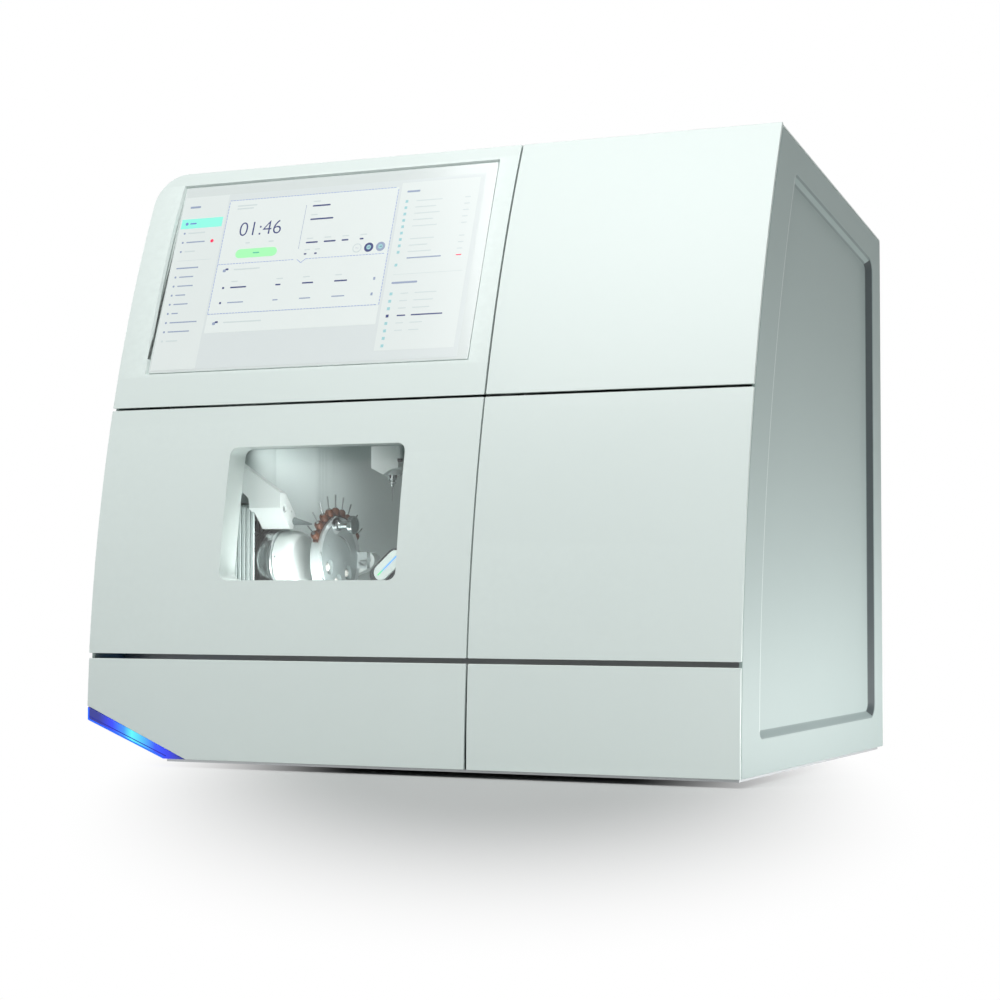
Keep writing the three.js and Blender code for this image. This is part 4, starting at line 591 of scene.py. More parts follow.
# The chamber's white plastic, darkened well below the cast white: painted shade for the chamber, the loader
# bay and the door's liner
CHAMBER_WHITE_SHADED = coated("chamber white in painted shade", (0.44, 0.50, 0.49), (0.48, 0.54, 0.53), 0.42, 0.52, grain=700.0, bump=0.04,
                 wear=0.0)
CAST_WHITE = coated("cast white", (0.78, 0.84, 0.825), (0.82, 0.875, 0.86), 0.38, 0.48, grain=900.0,
                    bump=0.06, wear=0.0)
BLACK = coated("black plastic", (0.018, 0.019, 0.021), (0.03, 0.032, 0.035), 0.45, 0.6, grain=1100.0,
               bump=0.15, wear=0.15, wear_colour=(0.08, 0.08, 0.085))
TANK = coated("tank plastic", (0.16, 0.18, 0.19), (0.20, 0.22, 0.23), 0.4, 0.55, grain=500.0, bump=0.1,
              wear=0.2, wear_colour=(0.3, 0.32, 0.33))
RUBBER = coated("rubber", (0.012, 0.012, 0.013), (0.022, 0.022, 0.024), 0.7, 0.85, grain=1500.0, bump=0.3,
                wear=0.1, wear_colour=(0.05, 0.05, 0.05))
SHEET = metal("sheet steel", (0.50, 0.52, 0.53), 0.32, 0.46, stretch=(6.0, 500.0, 500.0))
ALUMINIUM = metal("aluminium", (0.55, 0.57, 0.58), 0.32, 0.45, stretch=(500.0, 500.0, 12.0))
TURNED = metal("turned steel", (0.66, 0.70, 0.70), 0.24, 0.32, stretch=(1200.0, 14.0, 14.0), bump=0.04)
CHROME = metal("chrome", (0.62, 0.66, 0.66), 0.12, 0.2, stretch=(300.0, 300.0, 300.0), bump=0.02)
COPPER = coated("copper collars", (0.045, 0.014, 0.005), (0.17, 0.052, 0.013), 0.34, 0.55, grain=700.0,
                bump=0.5, metallic=0.1, wear=0.1, wear_colour=(0.36, 0.11, 0.04), patches=160.0)
CERAMIC = coated("blank ceramic", (0.60, 0.60, 0.56), (0.68, 0.68, 0.64), 0.5, 0.65, grain=600.0, bump=0.2)
GLASS = clear_glass("clear glass")
BOARD = coated("circuit board", (0.01, 0.09, 0.035), (0.02, 0.14, 0.05), 0.3, 0.4, grain=700.0, bump=0.2)
SCREEN_EDGE = coated("screen glass", (0.70, 0.75, 0.74), (0.73, 0.78, 0.77), 0.10, 0.16,
                     grain=2000.0, bump=0.01, coat=0.4)
SLEEVE = coated("sleeve folds", (0.46, 0.53, 0.52), (0.58, 0.65, 0.64), 0.35, 0.5, grain=900.0, bump=0.15,
                wear=0.3, wear_colour=(0.74, 0.80, 0.79))
WIPER = coated("wiper", (0.11, 0.13, 0.13), (0.15, 0.17, 0.17), 0.25, 0.4, grain=900.0, bump=0.05)
# The milling blank's face: a darker, metallic grey than its crowns, which are milled out of it, partly
# painted shade on the face
BLANK_FACE_SHADE_GREY = coated("blank face painted shade grey", (0.27, 0.33, 0.33), (0.42, 0.48, 0.48), 0.30, 0.45, grain=1600.0,
                      bump=0.12, metallic=0.35, wear=0.0, patches=45.0)
PALE_STEEL = coated("pale steel", (0.50, 0.56, 0.56), (0.60, 0.66, 0.66), 0.25, 0.38, grain=1600.0, bump=0.08,
                    metallic=0.3, wear=0.0, patches=45.0)
GREY_STEEL = metal("grey steel", (0.34, 0.37, 0.37), 0.25, 0.35, stretch=(900.0, 900.0, 900.0), bump=0.03)
# Painted shade: the dark grey of the blow nozzle's cone, which lies in shade
NOZZLE_CONE_SHADE = coated("nozzle cone painted shade", (0.15, 0.19, 0.19), (0.21, 0.25, 0.25), 0.35, 0.5, grain=1200.0, bump=0.06,
                   wear=0.0)
RAIL = coated("rail brown", (0.045, 0.018, 0.01), (0.09, 0.035, 0.02), 0.35, 0.5, grain=700.0, bump=0.3,
              wear=0.0)
LAMP_GREY = coated("lamp grey", (0.035, 0.04, 0.045), (0.06, 0.066, 0.07), 0.2, 0.3, grain=900.0, bump=0.06,
                   coat=0.3)

# The nodes that stay as they are, by their finish
KEPT = (
    (RUBBER, ("foot_front_left", "foot_front_right", "foot_rear_left", "foot_rear_right", "door_gasket")),
    (SHEET, ("base_frame", "front_bulkhead", "rear_bulkhead", "hinge_beam", "window_arm_left",
             "window_arm_right", "loader_arm_left", "loader_arm_right")),
    (REAR_PAINT, ("rear_panel",)),
    (BLACK, ("display_module", "blank_rack", "coolant_pump", "fan_frame", "fan_rotor", "mains_inlet",
             "power_switch")),
    (CHROME, ("window_hinge_rod", "loader_hinge_rod")),
    (ALUMINIUM, ("gantry_frame", "slide_guide", "control_box", "rotary_carriage", "spindle_carriage")),
    (CHAMBER_WHITE_SHADED, ("loader_bay", "milling_chamber")),
    (CERAMIC, ("stored_blank_1", "stored_blank_2", "stored_blank_3")),
    (TANK, ("coolant_tank",)),
    (BOARD, ("light_board",)),
)


def dress_kept_nodes():
    for material, names in KEPT:
        for name in names:
            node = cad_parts[name]
            node.data.materials.clear()
            node.data.materials.append(material)


def dress(piece, material, body, slot, *replaced):
    """Gives a piece its finish, its body and the nodes that it stands for."""
    if material is not None:
        piece.data.materials.clear()
        piece.data.materials.append(material)
    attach(piece, body)
    if replaced:
        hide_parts(*replaced)
    return piece


# Covers of the curved front


def flat_cover(name, outline, x_span, z_span, inner_outline=None):
    """A cover before it is bent: a skin and a return set in from its edges. Its Y is its depth."""
    skin = prism(name, outline, 0, SKIN)
    x0, x1 = x_span
    z0, z1 = z_span
    inset = RETURN_INSET
    wall = RETURN_INSET + RETURN_WALL
    if inner_outline is None:
        inner_outline = rounded(x0 + inset, x1 - inset, z0 + inset, z1 - inset, RETURN_CORNER, CORNER_STEPS)
    ring = prism("ring", inner_outline, SKIN - LAP, RETURN_DEPTH)
    front, rear = SKIN - 2 * LAP, RETURN_DEPTH + OVERRUN
    hollow = block("hollow", (x0 + wall, front, z0 + wall), (x1 - wall, rear, z1 - wall))
    carve(ring, hollow)
    return unite(skin, ring)


def curved_cover(name, outline, x_span, z_span, body, node, cuts=()):
    cover = flat_cover(name, outline, x_span, z_span)
    carve(cover, *cuts)
    soften(cover)
    sliced(cover, *z_span)
    bent(cover)
    smooth(cover)
    return dress(cover, COVER, body, "cover_paint", node)


def make_right_covers():
    x0, x1 = RIGHT_SPAN
    spans = {
        "upper_right_panel": (UPPER_BOTTOM, TOP, "housing"),
        "lower_right_panel": (SKIRT, LOWER_TOP, "housing"),
        "loader_door": (DOOR_BOTTOM, DOOR_TOP, "loader_door_unit"),
    }
    for node, (z0, z1, body) in spans.items():
        outline = rounded(x0, x1, z0, z1, COVER_CORNER, CORNER_STEPS)
        cuts = arm_notches(("loader_arm_left", "loader_arm_right")) if node == "loader_door" else ()
        curved_cover(node + "_skin", outline, (x0, x1), (z0, z1), body, node, cuts)


def arm_notches(arms):
    """Cutters that let the hinge arms pass a door's upper return."""
    room = 1.5 * MM
    notches = []
    for arm in arms:
        low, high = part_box(arm)
        notches.append(block(
            "notch",
            (low.x - room, SKIN, DOOR_TOP - RETURN_INSET - RETURN_WALL - LAP),
            (high.x + room, RETURN_DEPTH + OVERRUN, DOOR_TOP + LAP),
        ))
    return notches


# The window door: its opening, the depth and wall of its reveal, and the pane behind it
WINDOW = {"x": (-0.229, -0.0025), "z": (SKIRT + 0.2045, SKIRT + 0.358), "corner": 10 * MM}
REVEAL = 34 * MM
REVEAL_WALL = 8 * MM
PANE = 4 * MM
PANE_LAP = 5 * MM
LINER = {
    "sheet": 2 * MM,
    "depth": 54 * MM,
    "left": 70 * MM,
    "right": 28.3 * MM,
    "end": 10 * MM,
    "flare": 22 * MM,
    "corner": 6 * MM,
    "neck_wall": 6 * MM,
}


def window_outline(grow=0.0):
    x0, x1 = WINDOW["x"]
    z0, z1 = WINDOW["z"]
    return rounded(x0 - grow, x1 + grow, z0 - grow, z1 + grow, WINDOW["corner"] + grow, 8)


def make_window_door():
    x0, x1 = LEFT_SPAN
    span = (DOOR_BOTTOM, DOOR_TOP)
    door = flat_cover("window_door_skin", rounded(x0, x1, *span, COVER_CORNER, CORNER_STEPS), (x0, x1), span)
    unite(door, prism("tube", window_outline(REVEAL_WALL), LAP, REVEAL))
    carve(door, prism("hole", window_outline(), -OVERRUN, REVEAL + OVERRUN))
    carve(door, *arm_notches(("window_arm_left", "window_arm_right")))
    soften(door)
    sliced(door, *span)
    bent(door)
    smooth(door)
    dress(door, COVER, "window_door_unit", "cover_paint", "window_door")

    pane = prism("window_pane", window_outline(PANE_LAP), REVEAL + FIT, REVEAL + FIT + PANE)
    soften(pane, SMALL_EDGE, 2)
    sliced(pane, WINDOW["z"][0] - PANE_LAP, WINDOW["z"][1] + PANE_LAP)
    bent(pane)
    smooth(pane)
    dress(pane, GLASS, "window_door_unit", "clear_glass", "window_glass")


def make_door_liner():
    """The tray behind the window door. Its neck behind the pane is flared to the left."""
    sheet = LINER["sheet"]
    near, far = SKIN + FIT, LINER["depth"]
    x0, x1 = LEFT_SPAN[0] + LINER["left"], LEFT_SPAN[1] - LINER["right"]
    z0, z1 = DOOR_BOTTOM + LINER["end"], DOOR_TOP - LINER["end"]
    corner = LINER["corner"]
    tray = prism("liner_tray", rounded(x0, x1, z0, z1, corner, 6), near, far)
    hollow = rounded(x0 + sheet, x1 - sheet, z0 + sheet, z1 - sheet, corner - LAP, 6)
    carve(tray, prism("inside", hollow, near - 2 * LAP, far - sheet))
    w0, w1 = WINDOW["x"]
    v0, v1 = WINDOW["z"]

    def neck(grow):
        left = w0 - LINER["flare"] - grow
        return rounded(left, w1 + grow, v0 - grow, v1 + grow, WINDOW["corner"] + grow, 8)

    unite(tray, prism("neck", neck(LINER["neck_wall"]), REVEAL + 2 * FIT + PANE, far - LAP / 2))
    carve(tray, prism("hole", neck(0), REVEAL, far + OVERRUN))
    soften(tray, SHEET_EDGE, 2)
    sliced(tray, z0, z1)
    bent(tray)
    smooth(tray)
    dress(tray, CHAMBER_WHITE_SHADED, "window_door_unit", "chamber_white", "door_liner")


# The corner light and the cover above it
LIGHT_RUN = 104 * MM
LIGHT_RISE = 42 * MM
STRIP_RUN = 133 * MM
STRIP_RISE = 57.5 * MM
STRIP_SLOPE = STRIP_RISE / STRIP_RUN


def strip_line(gap):
    """Height of the light strip's upper line at the left side, and where it meets the lower edge."""
    rise = SKIRT + STRIP_RISE + gap
    return rise, -HALF + (rise - SKIRT) / STRIP_SLOPE


def make_drawer_front():
    x0, x1 = LEFT_SPAN
    rise, foot = strip_line(SEAM / 2)
    corner = COVER_CORNER
    outline = [(foot, SKIRT), (x1 - LAP, SKIRT)]
    outline += arc_points(x1 - corner, LOWER_TOP - corner, corner, 0, 90, CORNER_STEPS)
    outline += arc_points(x0 + corner, LOWER_TOP - corner, corner, 90, 180, CORNER_STEPS)
    outline += [(x0, rise)]
    inner_rise, inner_foot = strip_line(SEAM / 2 + RETURN_INSET)
    inset = RETURN_INSET
    inner = [
        (inner_foot - inset / STRIP_SLOPE, SKIRT + inset),
        (x1 - inset, SKIRT + inset),
        (x1 - inset, LOWER_TOP - inset),
        (x0 + inset, LOWER_TOP - inset),
        (x0 + inset, inner_rise - STRIP_SLOPE * inset),
    ]
    skin = prism("drawer_front_skin", outline, 0, SKIN)
    ring = prism("ring", inner, SKIN - LAP, RETURN_DEPTH)
    wall = RETURN_WALL
    slant_share = 1.1
    deep_rise, deep_foot = strip_line(SEAM / 2 + RETURN_INSET + wall * slant_share)
    hollow = prism(
        "hollow",
        [
            (deep_foot - inset / STRIP_SLOPE + wall, SKIRT + inset + wall),
            (x1 - inset - wall, SKIRT + inset + wall),
            (x1 - inset - wall, LOWER_TOP - inset - wall),
            (x0 + inset + wall, LOWER_TOP - inset - wall),
            (x0 + inset + wall, deep_rise - STRIP_SLOPE * (inset + wall)),
        ],
        SKIN - 2 * LAP,
        RETURN_DEPTH + OVERRUN,
    )
    carve(ring, hollow)
    unite(skin, ring)
    soften(skin)
    sliced(skin, SKIRT, LOWER_TOP)
    bent(skin)
    smooth(skin)
    dress(skin, COVER, "drawer", "cover_paint", "drawer_front")


def light_material():
    """Blue plastic lit from within, brightest near the middle. Stops are shares of its run."""
    material, tree, surface = node_tree("blue light")
    place = put(tree, "ShaderNodeTexCoord")
    parts = put(tree, "ShaderNodeSeparateXYZ")
    tree.links.new(place.outputs["Object"], parts.inputs[0])
    along = put(tree, "ShaderNodeMapRange")
    preset(along, {"From Min": -HALF, "From Max": -HALF + STRIP_RUN})
    tree.links.new(parts.outputs["X"], along.inputs["Value"])
    glow = put(tree, "ShaderNodeValToRGB")
    stops = (
        (0.0, (0.000, 0.002, 0.16)),
        (0.12, (0.000, 0.004, 0.22)),
        (0.26, (0.000, 0.025, 0.95)),
        (0.38, (0.02, 0.28, 1.0)),
        (0.46, (0.08, 0.95, 1.0)),
        (0.56, (0.05, 0.55, 1.0)),
        (0.70, (0.004, 0.06, 1.0)),
        (0.84, (0.000, 0.012, 0.75)),
        (1.0, (0.000, 0.002, 0.10)),
    )
    ramp = glow.color_ramp
    while len(ramp.elements) < len(stops):
        ramp.elements.new(0.5)
    for element, (position, colour) in zip(ramp.elements, stops):
        element.position = position
        element.color = (*colour, 1)
    tree.links.new(along.outputs["Result"], glow.inputs["Fac"])
    tree.links.new(glow.outputs["Color"], surface.inputs["Emission Color"])
    preset(surface, {"Emission Strength": 1.0, "Base Color": (0.0, 0.01, 0.12, 1), "Coat Weight": 0.6})
    variation = placed_group(tree, VARIATION, patch_size=30.0, grain_size=900.0, low=0.12, high=0.2)
    tree.links.new(variation.outputs["Roughness"], surface.inputs["Roughness"])
    return material


def make_light_bar():
    low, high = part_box("light_bar")
    z_left = SKIRT + LIGHT_RISE
    rise, foot = strip_line(0)
    outline = [(-HALF, z_left), (-HALF + LIGHT_RUN, SKIRT), (foot, SKIRT), (-HALF, rise)]
    bar = prism("light_strip", outline, low.y, high.y)
    soften(bar, SHEET_EDGE, 3)
    smooth(bar)
    dress(bar, light_material(), "housing", "blue_light", "light_bar")

    # A dark line along the strip and a bright rim below it and at its left end
    slope = LIGHT_RISE / LIGHT_RUN
    lift = 4.5 * MM
    width = 1.1 * MM
    short, past = 2 * MM, 4 * MM
    start = (-HALF + short, z_left + lift - slope * short)
    end = (-HALF + LIGHT_RUN + past, SKIRT + lift - slope * past)
    outline = [start, end, (end[0], end[1] + width), (start[0], start[1] + width)]
    ridge = prism("light_ridge", outline, low.y - 0.5 * MM, low.y + LAP)
    soften(ridge, HAIR_EDGE, 2)
    smooth(ridge)
    dress(ridge, lit("dark blue line", (0.0, 0.004, 0.20), 1.0), "housing", "blue_light")
    outline = [
        (-HALF + 0.4 * MM, z_left + 0.4 * MM),
        (-HALF + LIGHT_RUN, SKIRT + 0.6 * MM),
        (-HALF + LIGHT_RUN, SKIRT + 2.2 * MM),
        (-HALF + 2.2 * MM, z_left + 1.4 * MM),
        (-HALF + 2.2 * MM, rise - 1.6 * MM),
        (-HALF + 0.4 * MM, rise - 0.8 * MM),
    ]
    rim = prism("light_rim", outline, low.y - 0.4 * MM, low.y + LAP)
    soften(rim, 0.2 * MM, 2)
    smooth(rim)
    dress(rim, lit("blue edge", (0.0, 0.09, 1.0), 1.0), "housing", "blue_light")


# The screen in the upper left cover. Its recess is flat, so the curved cover stands over it by the sag.
SCREEN_W = 422 * MM
SCREEN_H = 250 * MM
SCREEN_X = -HALF + 40 * MM + SCREEN_W / 2
SCREEN_MID = SKIRT + 446 * MM + SCREEN_H / 2
SCREEN_TILT = math.asin((SCREEN_MID - SKIRT) / FRONT_RADIUS)
SCREEN_SAG = SCREEN_H**2 / (8 * FRONT_RADIUS)
GLASS_SHEET = 3 * MM
GLASS_SEAT = SCREEN_SAG + 2.5 * MM + GLASS_SHEET
GLASS_FACE = -GLASS_SEAT + FIT + GLASS_SHEET
WALL_SLOPE = 6 * MM
LAYER = 0.12 * MM
BACKING = {"margin": 8 * MM, "back": -16 * MM, "face": -7.5 * MM, "ledge": 7 * MM, "cut": -30 * MM}
SCREEN_PLACE = Matrix.Translation((SCREEN_X, arc_y(SCREEN_MID), SCREEN_MID)) @ Matrix.Rotation(
    math.pi / 2 - SCREEN_TILT, 4, "X"
)


def frustum(name, w, h, z0, grow, z1):
    """A block in the screen's own frame, whose sides slope out by an amount towards its upper level."""
    bm = bmesh.new()
    rings = []
    for level, extra in ((z0, 0.0), (z1, grow)):
        a = w / 2 + extra
        b = h / 2 + extra
        rings.append([bm.verts.new((x, y, level)) for x, y in ((-a, -b), (a, -b), (a, b), (-a, b))])
    bm.faces.new(list(reversed(rings[0])))
    bm.faces.new(rings[1])
    for i in range(4):
        j = (i + 1) % 4
        bm.faces.new((rings[0][i], rings[0][j], rings[1][j], rings[1][i]))
    return new_object(name, bm)


def on_screen(obj):
    obj.data.transform(SCREEN_PLACE)
    return obj


def make_screen_cover():
    x0, x1 = LEFT_SPAN
    z0, z1 = UPPER_BOTTOM, TOP
    outline = rounded(x0, x1, z0, z1, (COVER_CORNER, COVER_CORNER, COVER_CORNER, TOP_ROLL), 12)
    inset = RETURN_INSET
    corners = (RETURN_CORNER, RETURN_CORNER, RETURN_CORNER, TOP_ROLL - inset + 3 * MM)
    inner = rounded(x0 + inset, x1 - inset, z0 + inset, z1 - inset, corners, 8)
    cover = flat_cover("screen_cover", outline, (x0, x1), (z0, z1), inner)
    soften(cover)
    sliced(cover, z0, z1)
    bent(cover)
    margin = 2 * BACKING["margin"]
    ledge = 2 * BACKING["ledge"]
    backing = frustum("backing", SCREEN_W + margin, SCREEN_H + margin, BACKING["back"], 0.0, BACKING["face"])
    unite(cover, on_screen(backing))
    recess = frustum("recess", SCREEN_W, SCREEN_H, -GLASS_SEAT, WALL_SLOPE, OVERRUN)
    opening = frustum("opening", SCREEN_W - ledge, SCREEN_H - ledge, BACKING["cut"], 0.0, OVERRUN)
    carve(cover, on_screen(recess), on_screen(opening))
    soften(cover, FINE_EDGE, 2, 40)
    smooth(cover, 45)
    dress(cover, COVER, "housing", "cover_paint", "screen_panel")


def screen_plate(name, a0, a1, b0, b1, level, material, corner=0.0):
    """A thin flat shape on the screen. A and B run from its lower left corner, right and up."""
    x0 = a0 - SCREEN_W / 2
    x1 = a1 - SCREEN_W / 2
    y0 = b0 - SCREEN_H / 2
    y1 = b1 - SCREEN_H / 2
    outline = rounded(x0, x1, y0, y1, corner, 6) if corner else [(x0, y0), (x1, y0), (x1, y1), (x0, y1)]
    plate = prism(name, outline, GLASS_FACE + level, GLASS_FACE + level + LAYER, axes="xy")
    plate.data.materials.append(material)
    return plate


def screen_text(name, words, size, a, b, level, material):
    """Digits laid on the screen, centred on a place."""
    curve = bpy.data.curves.new(name, "FONT")
    curve.body = words
    curve.size = size
    curve.align_x = "CENTER"
    curve.align_y = "CENTER"
    curve.extrude = LAYER / 2
    thinning_share = 0.012
    curve.offset = -thinning_share * size
    obj = bpy.data.objects.new(name, curve)
    bpy.context.scene.collection.objects.link(obj)
    bpy.context.view_layer.update()
    graph = bpy.context.evaluated_depsgraph_get()
    mesh = bpy.data.meshes.new_from_object(obj.evaluated_get(graph), depsgraph=graph)
    bpy.data.objects.remove(obj)
    mesh.transform(Matrix.Translation((a - SCREEN_W / 2, b - SCREEN_H / 2, GLASS_FACE + level)))
    text = bpy.data.objects.new(name, mesh)
    bpy.context.scene.collection.objects.link(text)
    text.data.materials.clear()
    text.data.materials.append(material)
    return text


def make_screen():
    white = lit("screen white", (0.79, 0.845, 0.835), 0.42, base=(0.45, 0.48, 0.47))
    grey = lit("screen grey", (0.72, 0.775, 0.775), 0.42, base=(0.42, 0.45, 0.45))
    card = lit("screen card", (0.80, 0.855, 0.84), 0.45, base=(0.45, 0.48, 0.47))
    pale = lit("screen pale line", (0.62, 0.70, 0.71), 0.42, base=(0.40, 0.44, 0.44))
    ink = lit("screen ink", (0.03, 0.04, 0.16), 0.5, base=(0.03, 0.04, 0.12))
    slate = lit("screen slate", (0.26, 0.32, 0.46), 0.45, base=(0.2, 0.24, 0.33))
    cyan = lit("screen cyan", (0.30, 1.0, 0.80), 0.5, base=(0.15, 0.5, 0.42))
    green = lit("screen green", (0.42, 1.0, 0.48), 0.5, base=(0.2, 0.5, 0.25))
    deep_green = lit("screen deep green", (0.10, 0.55, 0.40), 0.5, base=(0.06, 0.3, 0.2))
    blue = lit("screen blue", (0.16, 0.26, 0.62), 0.5, base=(0.1, 0.15, 0.35))
    soft_blue = lit("screen soft blue", (0.36, 0.66, 0.70), 0.45, base=(0.2, 0.35, 0.37))
    red = lit("screen red", (1.0, 0.02, 0.10), 0.6, base=(0.5, 0.01, 0.05))

    a, b = SCREEN_W / 2 - FIT, SCREEN_H / 2 - FIT
    outline = rounded(-a, a, -b, b, 1.5 * MM, 4)
    glass = prism("screen_glass", outline, GLASS_FACE - GLASS_SHEET, GLASS_FACE, "xy")
    on_screen(glass)
    soften(glass, HAIR_EDGE, 2)
    smooth(glass)
    dress(glass, SCREEN_EDGE, "housing", "screen_glass", "touch_glass")

    # The lit area, its menu column, middle field and right column. The layout is in millimetres
    left, right, bottom, upper = 2.5, 408, 3.5, 236
    menu = left + 62
    lists = right - 107
    parts = []
    first, second, third = LAYER, 2 * LAYER, 3 * LAYER

    def add(name, a0, a1, b0, b1, level, material, corner=0.0):
        span = (a0 * MM, a1 * MM, b0 * MM, b1 * MM)
        parts.append(screen_plate(name, *span, level, material, corner * MM))

    add("lit_area", left, right, bottom, upper, 0.0, grey)
    add("menu_column", left, menu, bottom, upper, first, white)
    add("list_column", lists, right - 6, bottom + 12, upper - 4, first, white)

    # The card with its dashed outline and its pointer
    card_left = menu + 3
    card_right = lists - 4
    card_top = upper - 9
    card_low = bottom + 71
    divide = card_low + 66
    add("card", card_left, card_right, card_low, card_top, first, card)
    add("card_below", card_left, card_right, bottom + 46, card_low - 1, first, card)
    dash = 3.2
    gap = 1.0
    line = 0.55

    def dashes(a0, b0, a1, b1):
        length = math.hypot(a1 - a0, b1 - b0)
        count = int(length / (dash + gap))
        for i in range(count):
            start = i * (dash + gap) / length
            end = start + dash / length
            low_a = a0 + (a1 - a0) * start
            high_a = a0 + (a1 - a0) * end
            low_b = b0 + (b1 - b0) * start
            high_b = b0 + (b1 - b0) * end
            if a0 == a1:
                low_a, high_a = a0 - line / 2, a0 + line / 2
            else:
                low_b, high_b = b0 - line / 2, b0 + line / 2
            add("dash", low_a, high_a, low_b, high_b, second, blue)

    middle = (card_left + card_right) / 2
    dashes(card_left, card_low, card_right, card_low)
    dashes(card_left, card_top, card_right, card_top)
    dashes(card_left, card_low, card_left, card_top)
    dashes(card_right, card_low, card_right, card_top)
    dashes(card_left, divide, middle - 6, divide)
    dashes(middle + 6, divide, card_right, divide)
    for side in (-1, 1):
        arm = screen_plate("pointer", 0, 7.6 * MM, -line / 2 * MM, line / 2 * MM, 0, blue)
        turn = Matrix.Rotation(math.radians(-38 if side < 0 else 218), 4, "Z")
        lift = Matrix.Translation((SCREEN_W / 2, SCREEN_H / 2, 0))
        tip = (middle + side * 6) * MM
        start = Matrix.Translation((tip - SCREEN_W / 2, divide * MM - SCREEN_H / 2, second))
        arm.data.transform(start @ turn @ lift)
        parts.append(arm)

    # The running time, its button and the figures beside it
    time_place = ((card_left + 50) * MM, (divide + 45) * MM)
    parts.append(screen_text("time", "01:46", 27 * MM, *time_place, second, ink))
    add("button", card_left + 22, card_left + 79, divide + 7, divide + 19, second, green, corner=5.9)
    bar_height = 1.5

    def bar(a, b, length, material, height=bar_height):
        add("bar", a, a + length, b - height / 2, b + height / 2, third, material, corner=height * 0.45)

    bar(card_left + 46, divide + 13, 9, deep_green)
    bar(card_left + 12, card_top - 8, 27, pale)
    bar(card_left + 12, card_top - 12, 23, pale)
    bar(card_left + 33, divide + 27, 6, pale)
    bar(card_left + 65, divide + 27, 7, pale)
    split = card_left + 108
    add("rule", split, split + 0.5, divide + 14, card_top - 14, second, slate)
    facts = split + 9
    for row, (pale_length, ink_length) in enumerate(((10, 24), (9, 31))):
        height = card_top - (10 + row * 18)
        bar(facts, height, pale_length, pale, 1.2)
        bar(facts, height - 6, ink_length, ink, 1.9)
    for column, length in enumerate((16, 16, 9, 5)):
        at = facts + column * 24
        bar(at, divide + 27, 9, pale, 1.2)
        bar(at, divide + 21.5, length, ink, 1.9)
    for column in range(2):
        bar(facts + column * 14, divide + 12, 7, pale, 1.2)
        bar(facts + column * 14, divide + 6.5, 3.5, ink, 1.9)
    for index, material in enumerate((pale, ink, slate)):
        centre = card_right - (42 - index * 15.5)
        radius = 6
        add("badge", centre - radius, centre + radius, divide + 3.5, divide + 3.5 + 2 * radius,
            second, material, corner=radius * 0.98)
        inner = (4.6 if index == 0 else 3.0)
        add("badge_inner", centre - inner, centre + inner, divide + 3.5 + radius - inner,
            divide + 3.5 + radius + inner, third, card if index == 0 else soft_blue,
            corner=inner * 0.98)
        bar(centre - 2, divide + 3.5 + radius, 4, slate if index == 0 else ink, 1.0)

    # Rows of the card and the folded row below it
    def icon(a, b, size=3.0):
        add("icon", a - size, a + size * 0.4, b - size * 0.9, b + size * 0.3, third, slate,
            corner=size * 0.4)
        add("icon_part", a + size * 0.1, a + size * 1.5, b - size * 0.1, b + size * 0.7, third, ink,
            corner=size * 0.3)

    icon(card_left + 12, divide - 8)
    bar(card_left + 24, divide - 8, 36, pale)
    icon(card_left + 12, card_low - 12)
    bar(card_left + 24, card_low - 12, 52, pale)
    for row, material in enumerate((ink, slate)):
        height = card_low + (34 - row * 20)
        add("dot", card_left + 13, card_left + 15.6, height - 1.3, height + 1.3, third, ink)
        for start, length in ((24, 22), (86, 7), (122, 15), (165, 17)):
            bar(card_left + start, height, length, material, 1.8 if row == 0 else 1.4)
            if row == 0:
                bar(card_left + start, height + 8, 9, pale, 1.2)
        add("bin", card_right - 13, card_right - 10.4, height - 1.8, height + 1.8, third, slate)

    # The menu: a highlighted entry, a notice dot and two groups of entries
    highlight = upper - 43
    add("chosen", left + 1, menu - 3, highlight, highlight + 13, second, cyan)
    add("chosen_mark", left + 7, left + 11, highlight + 4.5, highlight + 8.5, third, blue, corner=1.9)
    bar(left + 13.5, highlight + 6.5, 9, blue, 1.8)
    bar(left + 9, upper - 14, 15, slate, 2.6)
    for row, length in enumerate((24, 26, 15)):
        height = highlight - (6.5 + row * 12.5)
        add("mark", left + 7, left + 9.6, height - 1.3, height + 1.3, third, slate, corner=1.0)
        bar(left + 13.5, height, length, slate if row == 1 else pale)
        if row == 1:
            add("notice", menu - 14.5, menu - 10, height - 2.2, height + 2.2, third, red, corner=2.1)
    add("menu_rule", left + 6, menu - 8, highlight - 44, highlight - 43.6, second, pale)
    bar(left + 7, highlight - 54, 31, slate, 1.6)
    for row, length in enumerate((20, 22, 14, 20, 9, 38, 30, 16)):
        height = highlight - (66 + row * 12.2)
        shade = pale if row == 7 else slate
        add("mark", left + 7, left + 9.6, height - 1.3, height + 1.3, third, shade, corner=0.9)
        bar(left + 13.5, height, length, shade, 1.4)

